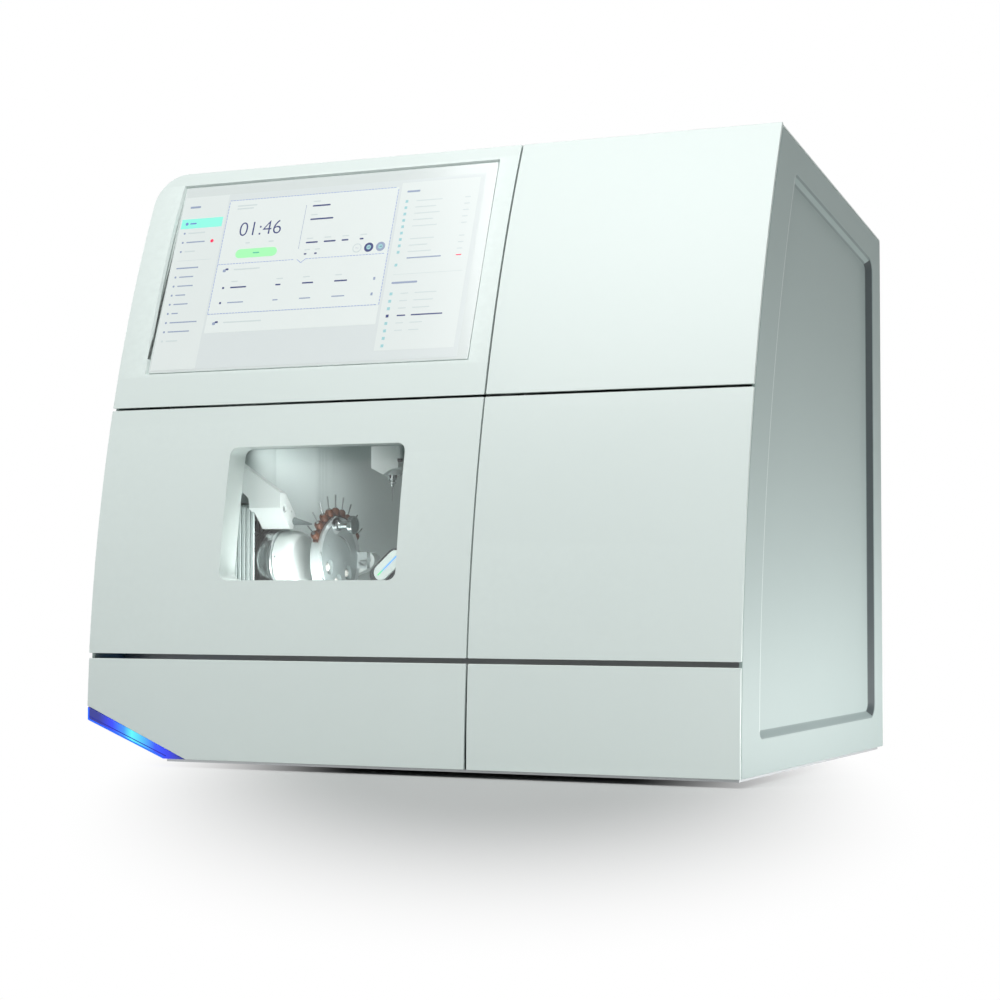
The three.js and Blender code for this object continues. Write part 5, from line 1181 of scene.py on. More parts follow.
    # Two lists in the right column
    listing = lists + 8
    bar(listing, upper - 16, 17, slate, 2.4)
    for row in range(11):
        height = upper - (29 + row * 8.3)
        dark_row = row == 9
        if not dark_row:
            add("tick", listing, listing + 3.4, height - 1.7, height + 1.7, third, soft_blue)
        if row in (5, 10):
            continue
        if dark_row:
            bar(listing + 14, height, 44, slate, 1.5)
        else:
            bar(listing + 14, height, (34 - (row * 7) % 13), pale, 1.1)
        bar(right - 22, height, 7, red if dark_row else pale, 1.1)
    add("list_rule", listing, right - 10, upper - 124.4, upper - 124, second, pale)
    bar(listing, upper - 135, 33, slate, 2.4)
    for row in range(8):
        height = upper - (149 + row * 9.4)
        dark_row = row == 3
        add("tick", listing, listing + 3.6, height - 1.8, height + 1.8, third,
            ink if dark_row else soft_blue)
        if dark_row:
            bar(listing + 14, height, 11, ink, 1.6)
            bar(listing + 32, height, 40, ink, 1.6)
        elif row < 6:
            bar(listing + 14, height, 10, pale, 1.1)
            bar(listing + 32, height, (28 - row * 3), pale, 1.1)

    layout = on_screen(merge("screen_layout", parts))
    dress(layout, None, "housing", "screen_glass")


# Top, sides and rear


def make_top_cover():
    sheet = 4 * MM
    skirt_length = 8 * MM
    edge = 3 * MM
    roll = TOP_ROLL
    outer = [(HALF, -sheet)] + arc_points(HALF - edge, -edge, edge, 0, 90, 4)
    outer += arc_points(-HALF + roll, -roll, roll, 90, 180, 16) + [(-HALF, -roll - skirt_length)]
    inner = [(-HALF + sheet, -roll - skirt_length)]
    inner += arc_points(-HALF + roll, -roll, roll - sheet, 180, 90, 16)
    cover = prism("top_skin", outer + inner, FRONT, REAR)
    for vertex in cover.data.vertices:
        vertex.co.z += top_z(vertex.co.y)
    carve(cover, behind_front("trim", COVER_FRONT), operation="INTERSECT")
    soften(cover, SHEET_EDGE, 3, 40)
    smooth(cover)
    dress(cover, COVER, "housing", "cover_paint", "top_cover")


def behind_front(name, inset):
    """A solid of all that lies deeper than an inset behind the curved front."""
    reach = TOP + OVERRUN
    steps = 72
    outline = [(arc_y(reach * i / steps, inset), reach * i / steps) for i in range(steps + 1)]
    outline += [(REAR, reach), (REAR, 0)]
    return prism(name, outline, -HALF - OVERRUN, HALF + OVERRUN, axes="yz")


# The right panel's pressed field: its distances from the panel's edges, its depth, its slope and its corners
FIELD = {
    "front": 64 * MM,
    "top": 37 * MM,
    "rear": 33 * MM,
    "bottom": 36 * MM,
    "depth": 8 * MM,
    "slope": 10 * MM,
    "rear_corner": 20 * MM,
    "front_corner": 9 * MM,
    "least_rear_corner": 4 * MM,
    "least_front_corner": 3 * MM,
}
FRONT_STEPS = 8
REAR_STEPS = 12
FIELD_STEPS = 40
# Faces of a ring round the field, counted from its lower front corner
LOWER_REAR = FRONT_STEPS + 1
FIELD_REAR = slice(LOWER_REAR + REAR_STEPS // 4, LOWER_REAR + 2 * REAR_STEPS + 1 - REAR_STEPS // 4)
FIELD_TOP = slice(FIELD_REAR.stop, LOWER_REAR + 2 * (REAR_STEPS + 1) + FRONT_STEPS)
FIELD_FRONT = slice(FIELD_TOP.stop, None)
# The finishes of the right panel, in the order of its materials: the side paint, a darker one that is painted
# shade on the step, a near black one that is painted shade on the step's rear, and a pale one that is a
# painted highlight before the field's front
BORDER, SHADED_STEP, REAR_STEP_SHADE, FRONT_HIGHLIGHT = range(4)


def fillet(corner, before, after, radius, steps):
    """Points of a rounded corner between two straight stretches."""
    here = Vector(corner)
    inward = (Vector(before) - here).normalized()
    outward = (Vector(after) - here).normalized()
    half_angle = inward.angle(outward) / 2
    reach = radius / math.tan(half_angle)
    centre = here + (inward + outward).normalized() * radius / math.sin(half_angle)
    start = here + inward * reach - centre
    end = here + outward * reach - centre
    sweep = start.angle(end) * (1 if start.cross(end) > 0 else -1)
    points = []
    for i in range(steps + 1):
        angle = sweep * i / steps
        across = start.x * math.cos(angle) - start.y * math.sin(angle)
        up = start.x * math.sin(angle) + start.y * math.cos(angle)
        points.append((centre.x + across, centre.y + up))
    return points


def field_ring(shrink):
    """The outline of the pressed field, drawn in by an amount, always with as many points."""
    front_inset = FIELD["front"] + shrink
    drop = FIELD["top"] + shrink
    low = SKIRT + FIELD["bottom"] + shrink
    back = REAR - FIELD["rear"] - shrink
    rear_corner = max(FIELD["rear_corner"] - shrink, FIELD["least_rear_corner"])
    front_corner = max(FIELD["front_corner"] - shrink, FIELD["least_front_corner"])
    upper = top_z(arc_y(TOP - drop, front_inset), drop)
    edge = []
    for i in range(FIELD_STEPS + 1):
        z = upper + (low - upper) * i / FIELD_STEPS
        edge.append((arc_y(z, front_inset), z))
    lower_front, upper_front = edge[-1], edge[0]
    upper_rear = (back, top_z(back, drop))
    lower_rear = (back, low)
    ring = fillet(lower_front, edge[-2], lower_rear, front_corner, FRONT_STEPS)
    ring += fillet(lower_rear, lower_front, upper_rear, rear_corner, REAR_STEPS)
    ring += fillet(upper_rear, lower_rear, upper_front, rear_corner, REAR_STEPS)
    ring += fillet(upper_front, upper_rear, edge[1], front_corner, FRONT_STEPS)
    first = ring[-1][1]
    last = ring[0][1]
    for i in range(1, FIELD_STEPS):
        z = first + (last - first) * i / FIELD_STEPS
        ring.append((arc_y(z, front_inset), z))
    return ring


def side_outline(front_inset, drop, bottom, rear):
    """A side panel's outline in Y and Z: straight at its rear and below, sloping above, curved in front."""
    steps = 48
    upper = top_z(arc_y(TOP - drop, front_inset), drop)
    points = [(rear, bottom), (rear, top_z(rear, drop))]
    for i in range(steps + 1):
        z = upper + (bottom - upper) * i / steps
        points.append((arc_y(z, front_inset), z))
    return points


def make_right_side():
    """A pressed panel: a flat border, a smooth step and a flat field that lies deeper. The step is painted
    darker as shade, darkest at its rear and plain in the middle of its top, and a pale band before the
    field's front is a painted highlight.
    """
    sheet = 4 * MM
    bm = bmesh.new()
    slope = FIELD["slope"]
    depth = FIELD["depth"]
    steps = 14
    # The width of the pale band before the field's front, a painted highlight
    highlight_width = 1.6 * MM
    flat = 0.6 * MM
    levels = [(-highlight_width, 0.0)]
    for i in range(steps + 1):
        share = i / steps
        levels.append((slope * share, depth * (3 * share**2 - 2 * share**3)))
    levels.append((slope + flat, depth))
    rings = []
    for shrink, sunk in levels:
        rings.append([bm.verts.new((HALF - sunk, y, z)) for y, z in field_ring(shrink)])
    for level, (near, far) in enumerate(zip(rings, rings[1:])):
        # Painted shade and highlight: the step's faces take a darker paint, those at its rear a near black
        # one, the middle of its top the plain side paint, and the band before the field's front a pale one
        faces = join_rings(bm, near, far, SHADED_STEP if 2 < level < steps else BORDER)
        if level == 0:
            finish_faces(faces[FIELD_FRONT], FRONT_HIGHLIGHT)
        elif 3 < level < steps - 1:
            finish_faces(faces[FIELD_REAR], REAR_STEP_SHADE)
        if 5 < level < steps - 3:
            finish_faces(faces[FIELD_TOP], BORDER)
    fill_flat(bm, [rings[-1]])

    # The panel's rounded edge, its back and the back of the field
    edge = 1.0 * MM
    edge_steps = 4
    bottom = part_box("right_side_panel")[0].z
    outer = None
    for i in range(edge_steps + 1):
        angle = math.pi / 2 * i / edge_steps
        grow = edge * (1 - math.sin(angle))
        sunk = edge * (1 - math.cos(angle))
        outline = side_outline(COVER_FRONT + grow, sheet + FIT + grow, bottom + grow, REAR - grow)
        ring = [bm.verts.new((HALF - sunk, y, z)) for y, z in outline]
        if outer is None:
            outer = ring
            fill_flat(bm, [outer, rings[0]])
        else:
            join_rings(bm, previous, ring)
        previous = ring
    outline = side_outline(COVER_FRONT, sheet + FIT, bottom, REAR)
    back = [bm.verts.new((HALF - sheet, y, z)) for y, z in outline]
    join_rings(bm, previous, back)
    inner_rings = []
    for shrink, sunk in ((-sheet, sheet), (slope - sheet, depth + sheet)):
        inner_rings.append([bm.verts.new((HALF - sunk, y, z)) for y, z in field_ring(shrink)])
    join_rings(bm, inner_rings[0], inner_rings[1])
    fill_flat(bm, [inner_rings[1]])
    fill_flat(bm, [back, inner_rings[0]])
    panel = new_object("right_side_skin", bm)
    smooth(panel, 60)
    dress(panel, None, "housing", "side_paint", "right_side_panel")
    for finish in (SIDE_PAINT_PARTLY_SHADED, SIDE_STEP_SHADE, SIDE_REAR_STEP_SHADE, SIDE_FRONT_HIGHLIGHT):
        panel.data.materials.append(finish)


def join_rings(bm, near, far, finish=BORDER):
    """A band of faces between two rings with as many points."""
    count = len(near)
    faces = []
    for i in range(count):
        j = (i + 1) % count
        faces.append(bm.faces.new((near[i], near[j], far[j], far[i])))
    finish_faces(faces, finish)
    return faces


def finish_faces(faces, finish):
    for face in faces:
        face.material_index = finish


def fill_flat(bm, loops):
    """Fills a flat outline, or the band between an outline and a hole."""
    flat = [[Vector((v.co.y, v.co.z, 0)) for v in loop] for loop in loops]
    verts = [v for loop in loops for v in loop]
    for triangle in tessellate_polygon(flat):
        bm.faces.new([verts[i] for i in triangle])


def make_left_side():
    low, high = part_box("left_side_panel")
    below_roll = 46.3 * MM
    bar_depth = 28.2 * MM
    outline = side_outline(COVER_FRONT, below_roll, low.z, REAR)
    panel = prism("left_side_skin", outline, low.x, high.x, axes="yz")
    rise, foot = strip_line(FIT)
    outline = [(-HALF - OVERRUN, rise + OVERRUN * STRIP_SLOPE), (-HALF - OVERRUN, 0), (foot, 0)]
    carve(panel, prism("corner", outline, FRONT, FRONT + bar_depth))
    soften(panel, SHEET_EDGE, 3, 50)
    smooth(panel)
    dress(panel, SIDE_PAINT_PARTLY_SHADED, "housing", "side_paint", "left_side_panel")


def make_rear_screws():
    """Screws round the rear panel's edge and at the corners of the fan's slots."""
    inset = 12 * MM
    sunk = 0.1 * MM
    margin = 15 * MM
    face = REAR - inset - sunk
    top = top_z(REAR) - 24 * MM
    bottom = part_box("rear_panel")[0].z + margin
    top_start, top_length = -HALF + 90 * MM, WIDTH - 180 * MM
    low_start, low_length = -HALF + 140 * MM, WIDTH - 200 * MM
    side_start, side_step = 130 * MM, 140 * MM
    fan_x, fan_z = 240 * MM, 330 * MM
    fan_across, fan_up = 56 * MM, 62 * MM
    places = []
    for i in range(6):
        places.append((top_start + top_length * i / 5, face, top))
        places.append((low_start + low_length * i / 5, face, bottom))
    for side in (-1, 1):
        for i in range(4):
            places.append((side * (HALF - margin - inset), face, side_start + side_step * i))
        for up in (-1, 1):
            places.append((fan_x + side * fan_across, face, fan_z + up * fan_up))
    screws = grown("rear_screws", SCREWS, places, [(0, 1, 0)] * len(places), head_radius=3.4 * MM,
                   head_height=1.9 * MM, socket_radius=1.6 * MM, material=SHEET)
    dress(screws, None, "housing", "sheet_steel")


# Geometry trees for what repeats


def geometry_tree(name, *sizes):
    """A tree with named inputs. Each size is a name, a socket type and its first value."""
    tree = bpy.data.node_groups.new(name, "GeometryNodeTree")
    group_socket(tree, "Geometry", "INPUT", "NodeSocketGeometry")
    for label, kind, value in sizes:
        group_socket(tree, label, "INPUT", kind, value)
    group_socket(tree, "Geometry", "OUTPUT", "NodeSocketGeometry")
    return tree, put(tree, "NodeGroupInput"), put(tree, "NodeGroupOutput")


def finish_tree(tree, inside, outside, instances):
    """Makes the copies real and gives them their material."""
    real = put(tree, "GeometryNodeRealizeInstances")
    finish = put(tree, "GeometryNodeSetMaterial")
    tree.links.new(instances, real.inputs["Geometry"])
    wire(
        tree,
        (real, "Geometry", finish, "Geometry"),
        (inside, "Material", finish, "Material"),
        (finish, "Geometry", outside, "Geometry"),
    )
    return tree


def row_tree():
    """Copies of a part at even steps along a line."""
    tree, inside, outside = geometry_tree(
        "copies in a row",
        ("Part", "NodeSocketObject", None),
        ("Count", "NodeSocketInt", 8),
        ("Start", "NodeSocketVector", (0, 0, 0)),
        ("Step", "NodeSocketVector", (0.01, 0, 0)),
        ("Material", "NodeSocketMaterial", None),
    )
    line = put(tree, "GeometryNodeMeshLine", mode="OFFSET")
    part = put(tree, "GeometryNodeObjectInfo")
    copies = put(tree, "GeometryNodeInstanceOnPoints")
    wire(
        tree,
        (inside, "Count", line, "Count"),
        (inside, "Start", line, "Start Location"),
        (inside, "Step", line, "Offset"),
        (inside, "Part", part, "Object"),
        (line, "Mesh", copies, "Points"),
        (part, "Geometry", copies, "Instance"),
    )
    return finish_tree(tree, inside, outside, copies.outputs["Instances"])


def ring_tree():
    """Copies of a part at even angles about Z. The whole ring is then turned and moved to its centre."""
    tree, inside, outside = geometry_tree(
        "copies in a ring",
        ("Part", "NodeSocketObject", None),
        ("Count", "NodeSocketInt", 12),
        ("First Angle", "NodeSocketFloat", 0.0),
        ("Angle Step", "NodeSocketFloat", 0.5),
        ("Turn", "NodeSocketVector", (0, 0, 0)),
        ("Centre", "NodeSocketVector", (0, 0, 0)),
        ("Material", "NodeSocketMaterial", None),
    )
    line = put(tree, "GeometryNodeMeshLine", mode="OFFSET")
    line.inputs["Offset"].default_value = (0, 0, 0)
    part = put(tree, "GeometryNodeObjectInfo")
    index = put(tree, "GeometryNodeInputIndex")
    angle = put(tree, "ShaderNodeMath", operation="MULTIPLY_ADD")
    rotation = put(tree, "ShaderNodeCombineXYZ")
    copies = put(tree, "GeometryNodeInstanceOnPoints")
    whole = put(tree, "GeometryNodeTransform")
    wire(
        tree,
        (inside, "Count", line, "Count"),
        (inside, "Part", part, "Object"),
        (index, "Index", angle, 0),
        (inside, "Angle Step", angle, 1),
        (inside, "First Angle", angle, 2),
        (angle, 0, rotation, "Z"),
        (line, "Mesh", copies, "Points"),
        (part, "Geometry", copies, "Instance"),
        (rotation, "Vector", copies, "Rotation"),
        (copies, "Instances", whole, "Geometry"),
        (inside, "Centre", whole, "Translation"),
        (inside, "Turn", whole, "Rotation"),
    )
    return finish_tree(tree, inside, outside, whole.outputs["Geometry"])


def screw_tree():
    """Socket-head screws, one on each point of a mesh, with their heads along the points' facing."""
    tree, inside, outside = geometry_tree(
        "socket screws",
        ("Head Radius", "NodeSocketFloat", 0.003),
        ("Head Height", "NodeSocketFloat", 0.002),
        ("Socket Radius", "NodeSocketFloat", 0.0015),
        ("Material", "NodeSocketMaterial", None),
    )
    head_sides = 24
    socket_sides = 6
    chamfer_share = 0.3
    barrel_share = 1 - chamfer_share
    overlap_share = 0.02
    crown_share = 0.86
    socket_share = 0.95

    def scaled(socket, share):
        node = put(tree, "ShaderNodeMath", operation="MULTIPLY")
        node.inputs[1].default_value = share
        tree.links.new(inside.outputs[socket], node.inputs[0])
        return node.outputs[0]

    def along_z(value):
        node = put(tree, "ShaderNodeCombineXYZ")
        tree.links.new(value, node.inputs["Z"])
        return node.outputs["Vector"]

    def lifted(mesh, value):
        node = put(tree, "GeometryNodeTransform")
        tree.links.new(mesh, node.inputs["Geometry"])
        tree.links.new(along_z(value), node.inputs["Translation"])
        return node.outputs["Geometry"]

    barrel = put(tree, "GeometryNodeMeshCylinder")
    barrel.inputs["Vertices"].default_value = head_sides
    tree.links.new(inside.outputs["Head Radius"], barrel.inputs["Radius"])
    tree.links.new(scaled("Head Height", barrel_share + overlap_share), barrel.inputs["Depth"])
    crown = put(tree, "GeometryNodeMeshCone")
    crown.inputs["Vertices"].default_value = head_sides
    tree.links.new(scaled("Head Radius", crown_share), crown.inputs["Radius Top"])
    tree.links.new(inside.outputs["Head Radius"], crown.inputs["Radius Bottom"])
    tree.links.new(scaled("Head Height", chamfer_share), crown.inputs["Depth"])
    head = put(tree, "GeometryNodeMeshBoolean", operation="UNION")
    tree.links.new(lifted(barrel.outputs["Mesh"], scaled("Head Height", barrel_share / 2)), head.inputs[1])
    tree.links.new(lifted(crown.outputs["Mesh"], scaled("Head Height", barrel_share)), head.inputs[1])
    socket = put(tree, "GeometryNodeMeshCylinder")
    socket.inputs["Vertices"].default_value = socket_sides
    tree.links.new(inside.outputs["Socket Radius"], socket.inputs["Radius"])
    tree.links.new(inside.outputs["Head Height"], socket.inputs["Depth"])
    hollow = put(tree, "GeometryNodeMeshBoolean", operation="DIFFERENCE")
    tree.links.new(head.outputs["Mesh"], hollow.inputs["Mesh 1"])
    bit = lifted(socket.outputs["Mesh"], scaled("Head Height", socket_share))
    tree.links.new(bit, hollow.inputs["Mesh 2"])
    facing = put(tree, "GeometryNodeInputNamedAttribute", data_type="FLOAT_VECTOR")
    facing.inputs["Name"].default_value = "facing"
    upright = put(tree, "FunctionNodeAlignRotationToVector", axis="Z")
    copies = put(tree, "GeometryNodeInstanceOnPoints")
    wire(
        tree,
        (facing, "Attribute", upright, "Vector"),
        (inside, "Geometry", copies, "Points"),
        (hollow, "Mesh", copies, "Instance"),
        (upright, "Rotation", copies, "Rotation"),
    )
    return finish_tree(tree, inside, outside, copies.outputs["Instances"])


ROW = row_tree()
RING = ring_tree()
SCREWS = screw_tree()


def grown(name, tree, points=((0, 0, 0),), facing=None, **sizes):
    """A plain mesh that a tree makes, with its inputs set by their sockets' identifiers."""
    mesh = bpy.data.meshes.new(name)
    mesh.from_pydata([tuple(p) for p in points], [], [])
    if facing is not None:
        attribute = mesh.attributes.new("facing", "FLOAT_VECTOR", "POINT")
        for item, direction in zip(attribute.data, facing):
            item.vector = direction
    obj = bpy.data.objects.new(name, mesh)
    bpy.context.scene.collection.objects.link(obj)
    step = obj.modifiers.new("grow", "NODES")
    step.node_group = tree
    sockets = {item.name: item for item in tree.interface.items_tree if item.in_out == "INPUT"}
    for label, value in sizes.items():
        step[sockets[label.replace("_", " ").title()].identifier] = value
    settle(obj)
    part = sizes.get("part")
    if part is not None:
        bpy.data.objects.remove(part)
    return obj


# What is seen through the window

AXIS_Y = -46 * MM
AXIS_Z = 239 * MM
HUB_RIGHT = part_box("rotary_hub")[1].x + FIT
SWIVEL_X = -182 * MM
CLAMP_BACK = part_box("blank_clamp")[0].x
CLAMP_THICK = 12 * MM
CLAMP_FACE = CLAMP_BACK + CLAMP_THICK
CLAMP_X = CLAMP_BACK + CLAMP_THICK / 2
SCREW_Y = AXIS_Y - 8 * MM
SCREW_Z = AXIS_Z + 42 * MM
SCREW_ROOM = 11.3 * MM
BORE = 5.3 * MM
SPINDLE_X = -117.5 * MM
SPINDLE_END = 560 * MM
CROWN_ANGLES = (200, 262, 324)

# The chamber's inner faces, and the radii of the hollow roundings between its rear wall and the others
CHAMBER_IN = {"left": -366 * MM, "right": 46 * MM, "floor": 135 * MM, "roof": 428.5 * MM, "rear": 152 * MM}
COVES = {"left": 70 * MM, "right": 40 * MM, "roof": 46 * MM, "floor": 30 * MM}

# The nozzle block in millimetres: its outlines from the front, with X from the chamber's left wall, and from
# the side. Its holes have Y, Z, radius and depth. The plug and the nozzle have X from the block's end
BLOCK_FRONT = ((69, 321), (76.5, 314), (78, 298), (81.6, 294), (81.6, 277), (121, 277), (121, 320), (36, 376))
BLOCK_SIDE = ((-96, 302), (-71, 277), (-64, 277), (-57, 293), (-83, 321), (-83, 388), (-96, 388))
BLOCK_LENGTH = 121
BLOCK_HOLES = ((-84, 301, 4.6, 9), (-67.5, 298.4, 1.2, 6), (-76.5, 286.5, 1.2, 6))
PLUG_PROFILE = ((0, -8), (4.4, -8), (4.4, -3), (3.4, -2), (2.0, -2), (1.6, -3.4), (0, -3.4))
NOZZLE_PROFILE = ((0, -1), (4.9, -1), (5, 0), (4.8, 0.8), (1.15, 23.6), (0.95, 24.6), (0.6, 25), (0, 25))
NOZZLE_DIP = 9


def turned_on_axis(name, profile, steps=96):
    """A solid turned about the rotary axis. The profile gives radius and X, in millimetres."""
    return turned(name, millimetres(profile), (0, AXIS_Y, AXIS_Z), "x", steps)


def disc_on_axis(name, radius, near, far):
    """A cylinder about the rotary axis, in millimetres."""
    return turned_on_axis(name, [(0, near), (radius, near), (radius, far), (0, far)], 128)


def disc_on_screw(name, radius, near, far):
    """A cylinder about the thumb screw's axis."""
    return turned(name, [(0, near), (radius, near), (radius, far), (0, far)], (0, SCREW_Y, SCREW_Z), "x", 64)


def pushed_in_x(name, outline, near, far):
    """A straight solid along X: its outline gives Y and Z."""
    return prism(name, outline, near, far, axes="yz")


def cove(name, wall_a, wall_b, radius, side_a, near, far, axes):
    """A hollow rounding between walls at A and B, open towards side_a on A and towards less B."""
    bite = 0.4 * MM
    edge = wall_a - side_a * bite
    centre_a = wall_a + side_a * radius
    centre_b = wall_b - radius
    arc = arc_points(centre_a, centre_b, radius, 180 if side_a > 0 else 0, 90, 24)
    outline = [(edge, wall_b + bite), (edge, centre_b)] + arc + [(centre_a, wall_b + bite)]
    return prism(name, outline, near, far, axes)


def make_chamber_coves():
    """Hollow roundings along the chamber's rear corners, so that its walls run into each other."""
    left, right, rear = CHAMBER_IN["left"], CHAMBER_IN["right"], CHAMBER_IN["rear"]
    floor, roof = CHAMBER_IN["floor"], CHAMBER_IN["roof"]
    coves = cove("chamber_coves", left, rear, COVES["left"], 1, floor, roof, "xy")
    unite(coves, cove("right", right, rear, COVES["right"], -1, floor, roof, "xy"))
    unite(coves, cove("roof", roof, rear, COVES["roof"], -1, left, right, "zy"))
    unite(coves, cove("floor", floor, rear, COVES["floor"], 1, left, right, "zy"))
    smooth(coves, 40)
    dress(coves, CHAMBER_WHITE_SHADED, "housing", "chamber_white")


def make_way_cover():
    """A sleeve of even ribs over a dark core, with a wiper over its end at the wall."""
    low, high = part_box("way_cover")
    count = 13
    pitch = (high.x - low.x) / count
    gap = 0.9 * MM
    crease = 1.6 * MM
    wall = 3 * MM

    def section(inset, radius, steps):
        return rounded(low.y + inset, high.y - inset, low.z + inset, high.z - inset, radius, steps)

    inner = section(wall, 3 * MM, 4)
    rib = pushed_in_x("rib", section(0, 6 * MM, 8), 0, pitch - gap)
    carve(rib, pushed_in_x("hollow", inner, -OVERRUN, pitch + OVERRUN))
    soften(rib, 1.0 * MM, 3, 40)
    ribs = grown("sleeve_ribs", ROW, part=rib, count=count, start=(low.x + gap / 2, 0, 0), step=(pitch, 0, 0),
                 material=SLEEVE)
    smooth(ribs, 45)
    dress(ribs, None, "housing", "aluminium", "way_cover")
    core = pushed_in_x("sleeve_core", section(crease, 5 * MM, 6), low.x, high.x - gap)
    carve(core, pushed_in_x("hollow", inner, low.x - OVERRUN, high.x + OVERRUN))
    smooth(core)
    dress(core, BLACK, "housing", "black_plastic")

    wiper_low, shoulder, wiper_top = 308.8 * MM, 313 * MM, 319.5 * MM
    wiper_end, slant_end = -291.5 * MM, -297.5 * MM
    outline = [(low.x, wiper_low), (wiper_end, wiper_low), (wiper_end, shoulder), (slant_end, wiper_top),
               (low.x, wiper_top)]
    wiper = prism("sleeve_wiper", outline, low.y - LAP, high.y + LAP)
    soften(wiper, SHEET_EDGE, 3)
    smooth(wiper)
    dress(wiper, WIPER, "housing", "black_plastic")


def make_nozzle_block():
    """The cast block with its slanting top, chamfered front and its nozzle."""
    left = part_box("nozzle_block")[0].x
    wall = CHAMBER_IN["left"]
    end = wall + BLOCK_LENGTH * MM
    front, rear = -96 * MM, -57 * MM
    left_low, left_top = 330 * MM, 388 * MM
    outline = [(left, left_low)] + [(wall + x * MM, z * MM) for x, z in BLOCK_FRONT] + [(left, left_top)]
    casting = prism("nozzle_casting", outline, front, rear)
    carve(casting, pushed_in_x("section", millimetres(BLOCK_SIDE), left, end), operation="INTERSECT")
    sleeve_front, sleeve_end, sleeve_top = -91.5 * MM, -284 * MM, 308.5 * MM
    carve(casting, block("sleeve_room", (left - OVERRUN, sleeve_front, 0), (sleeve_end, 0, sleeve_top)))
    holes = []
    for y, z, radius, depth in BLOCK_HOLES:
        start = (end - depth * MM, y * MM, z * MM)
        holes.append(rod("hole", radius * MM, start, (end + OVERRUN, y * MM, z * MM)))
    carve(casting, *holes)
    soften(casting, 1.3 * MM, 3, 28)
    smooth(casting, 40)
    dress(casting, CAST_WHITE, "housing", "chamber_white", "nozzle_block")
    plug_y, plug_z = BLOCK_HOLES[0][:2]
    profile = [(r * MM, end + x * MM) for r, x in PLUG_PROFILE]
    plug = turned("nozzle_plug", profile, (0, plug_y * MM, plug_z * MM), "x", 40)
    smooth(plug)
    dress(plug, SHEET, "housing", "sheet_steel")
    # The cone's dark grey is painted shade
    cone = turned("blow_nozzle", millimetres(NOZZLE_PROFILE), (0, 0, 0), "x", 40)
    dip = Matrix.Rotation(math.radians(NOZZLE_DIP), 4, "Y")
    cone.data.transform(Matrix.Translation((end, -61 * MM, 286.4 * MM)) @ dip)
    smooth(cone, 50)
    dress(cone, NOZZLE_CONE_SHADE, "housing", "sheet_steel")


def make_rotary_hub():
    """A neck, a drum and a wider rim with a groove, turned in one piece. All in millimetres."""
    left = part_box("rotary_hub")[0].x / MM
    right = HUB_RIGHT / MM - 0.3
    drum = left + 30
    rim = right - 25
    profile = [
        (0, left), (11.4, left), (12, left + 0.6), (12, drum), (33.2, drum), (34, drum + 0.8), (34, rim),
        (37.4, rim), (38.4, rim + 1), (38.4, right - 5.2), (37.6, right - 4.8), (37.6, right - 4.2),
        (38.6, right - 3.8), (38.9, right - 3.2), (38.9, right - 0.8), (38.2, right), (0, right),
    ]
    hub = turned_on_axis("rotary_hub_skin", profile, 128)
    smooth(hub, 40)
    dress(hub, TURNED, "rotary_axis", "chrome", "rotary_hub")


def make_swivel_arm():
    """One smooth casting: a domed body and the arm behind the blank."""
    radius, width, dome, roll, edge = 36, 26, 15, 6, 0.8
    left = HUB_RIGHT / MM
    right = left + width
    profile = [(0, left), (radius - edge, left), (radius, left + edge), (radius, right - dome - 0.5)]
    for degrees in range(0, 91, 10):
        angle = math.radians(degrees)
        profile.append((radius - roll + roll * math.cos(angle), right - dome + dome * math.sin(angle)))
    profile.append((0, right))
    body = turned_on_axis("swivel_casting", profile, 96)

    near, far = left * MM, right * MM
    arm_low, arm_top = AXIS_Z - 34 * MM, AXIS_Z + 18 * MM
    arm_front, arm_rear = 10 * MM, 26 * MM
    web = block("web", (near, AXIS_Y, arm_low), (far, arm_rear, arm_top))
    outline = [(near, arm_low), (far, arm_low)] + arc_points(SWIVEL_X, AXIS_Z, 10.4 * MM, -60, 66, 14)
    outline += [(far, arm_top), (near, arm_top)]
    arm = prism("arm", outline, arm_front, arm_rear)
    unite(body, web, arm)
    bore = rod("bore", BORE, (SWIVEL_X, 0, AXIS_Z), (SWIVEL_X, 40 * MM, AXIS_Z))
    hole_x = (left + 4) * MM
    hole_z = 243 * MM
    hole = rod("hole", 1.2 * MM, (hole_x, -95 * MM, hole_z), (hole_x, -72 * MM, hole_z))
    carve(body, bore, hole)
    soften(body, 2.2 * MM, 4, 30)
    smooth(body, 50)
    dress(body, CAST_WHITE, "rotary_axis", "chamber_white", "swivel_arm")


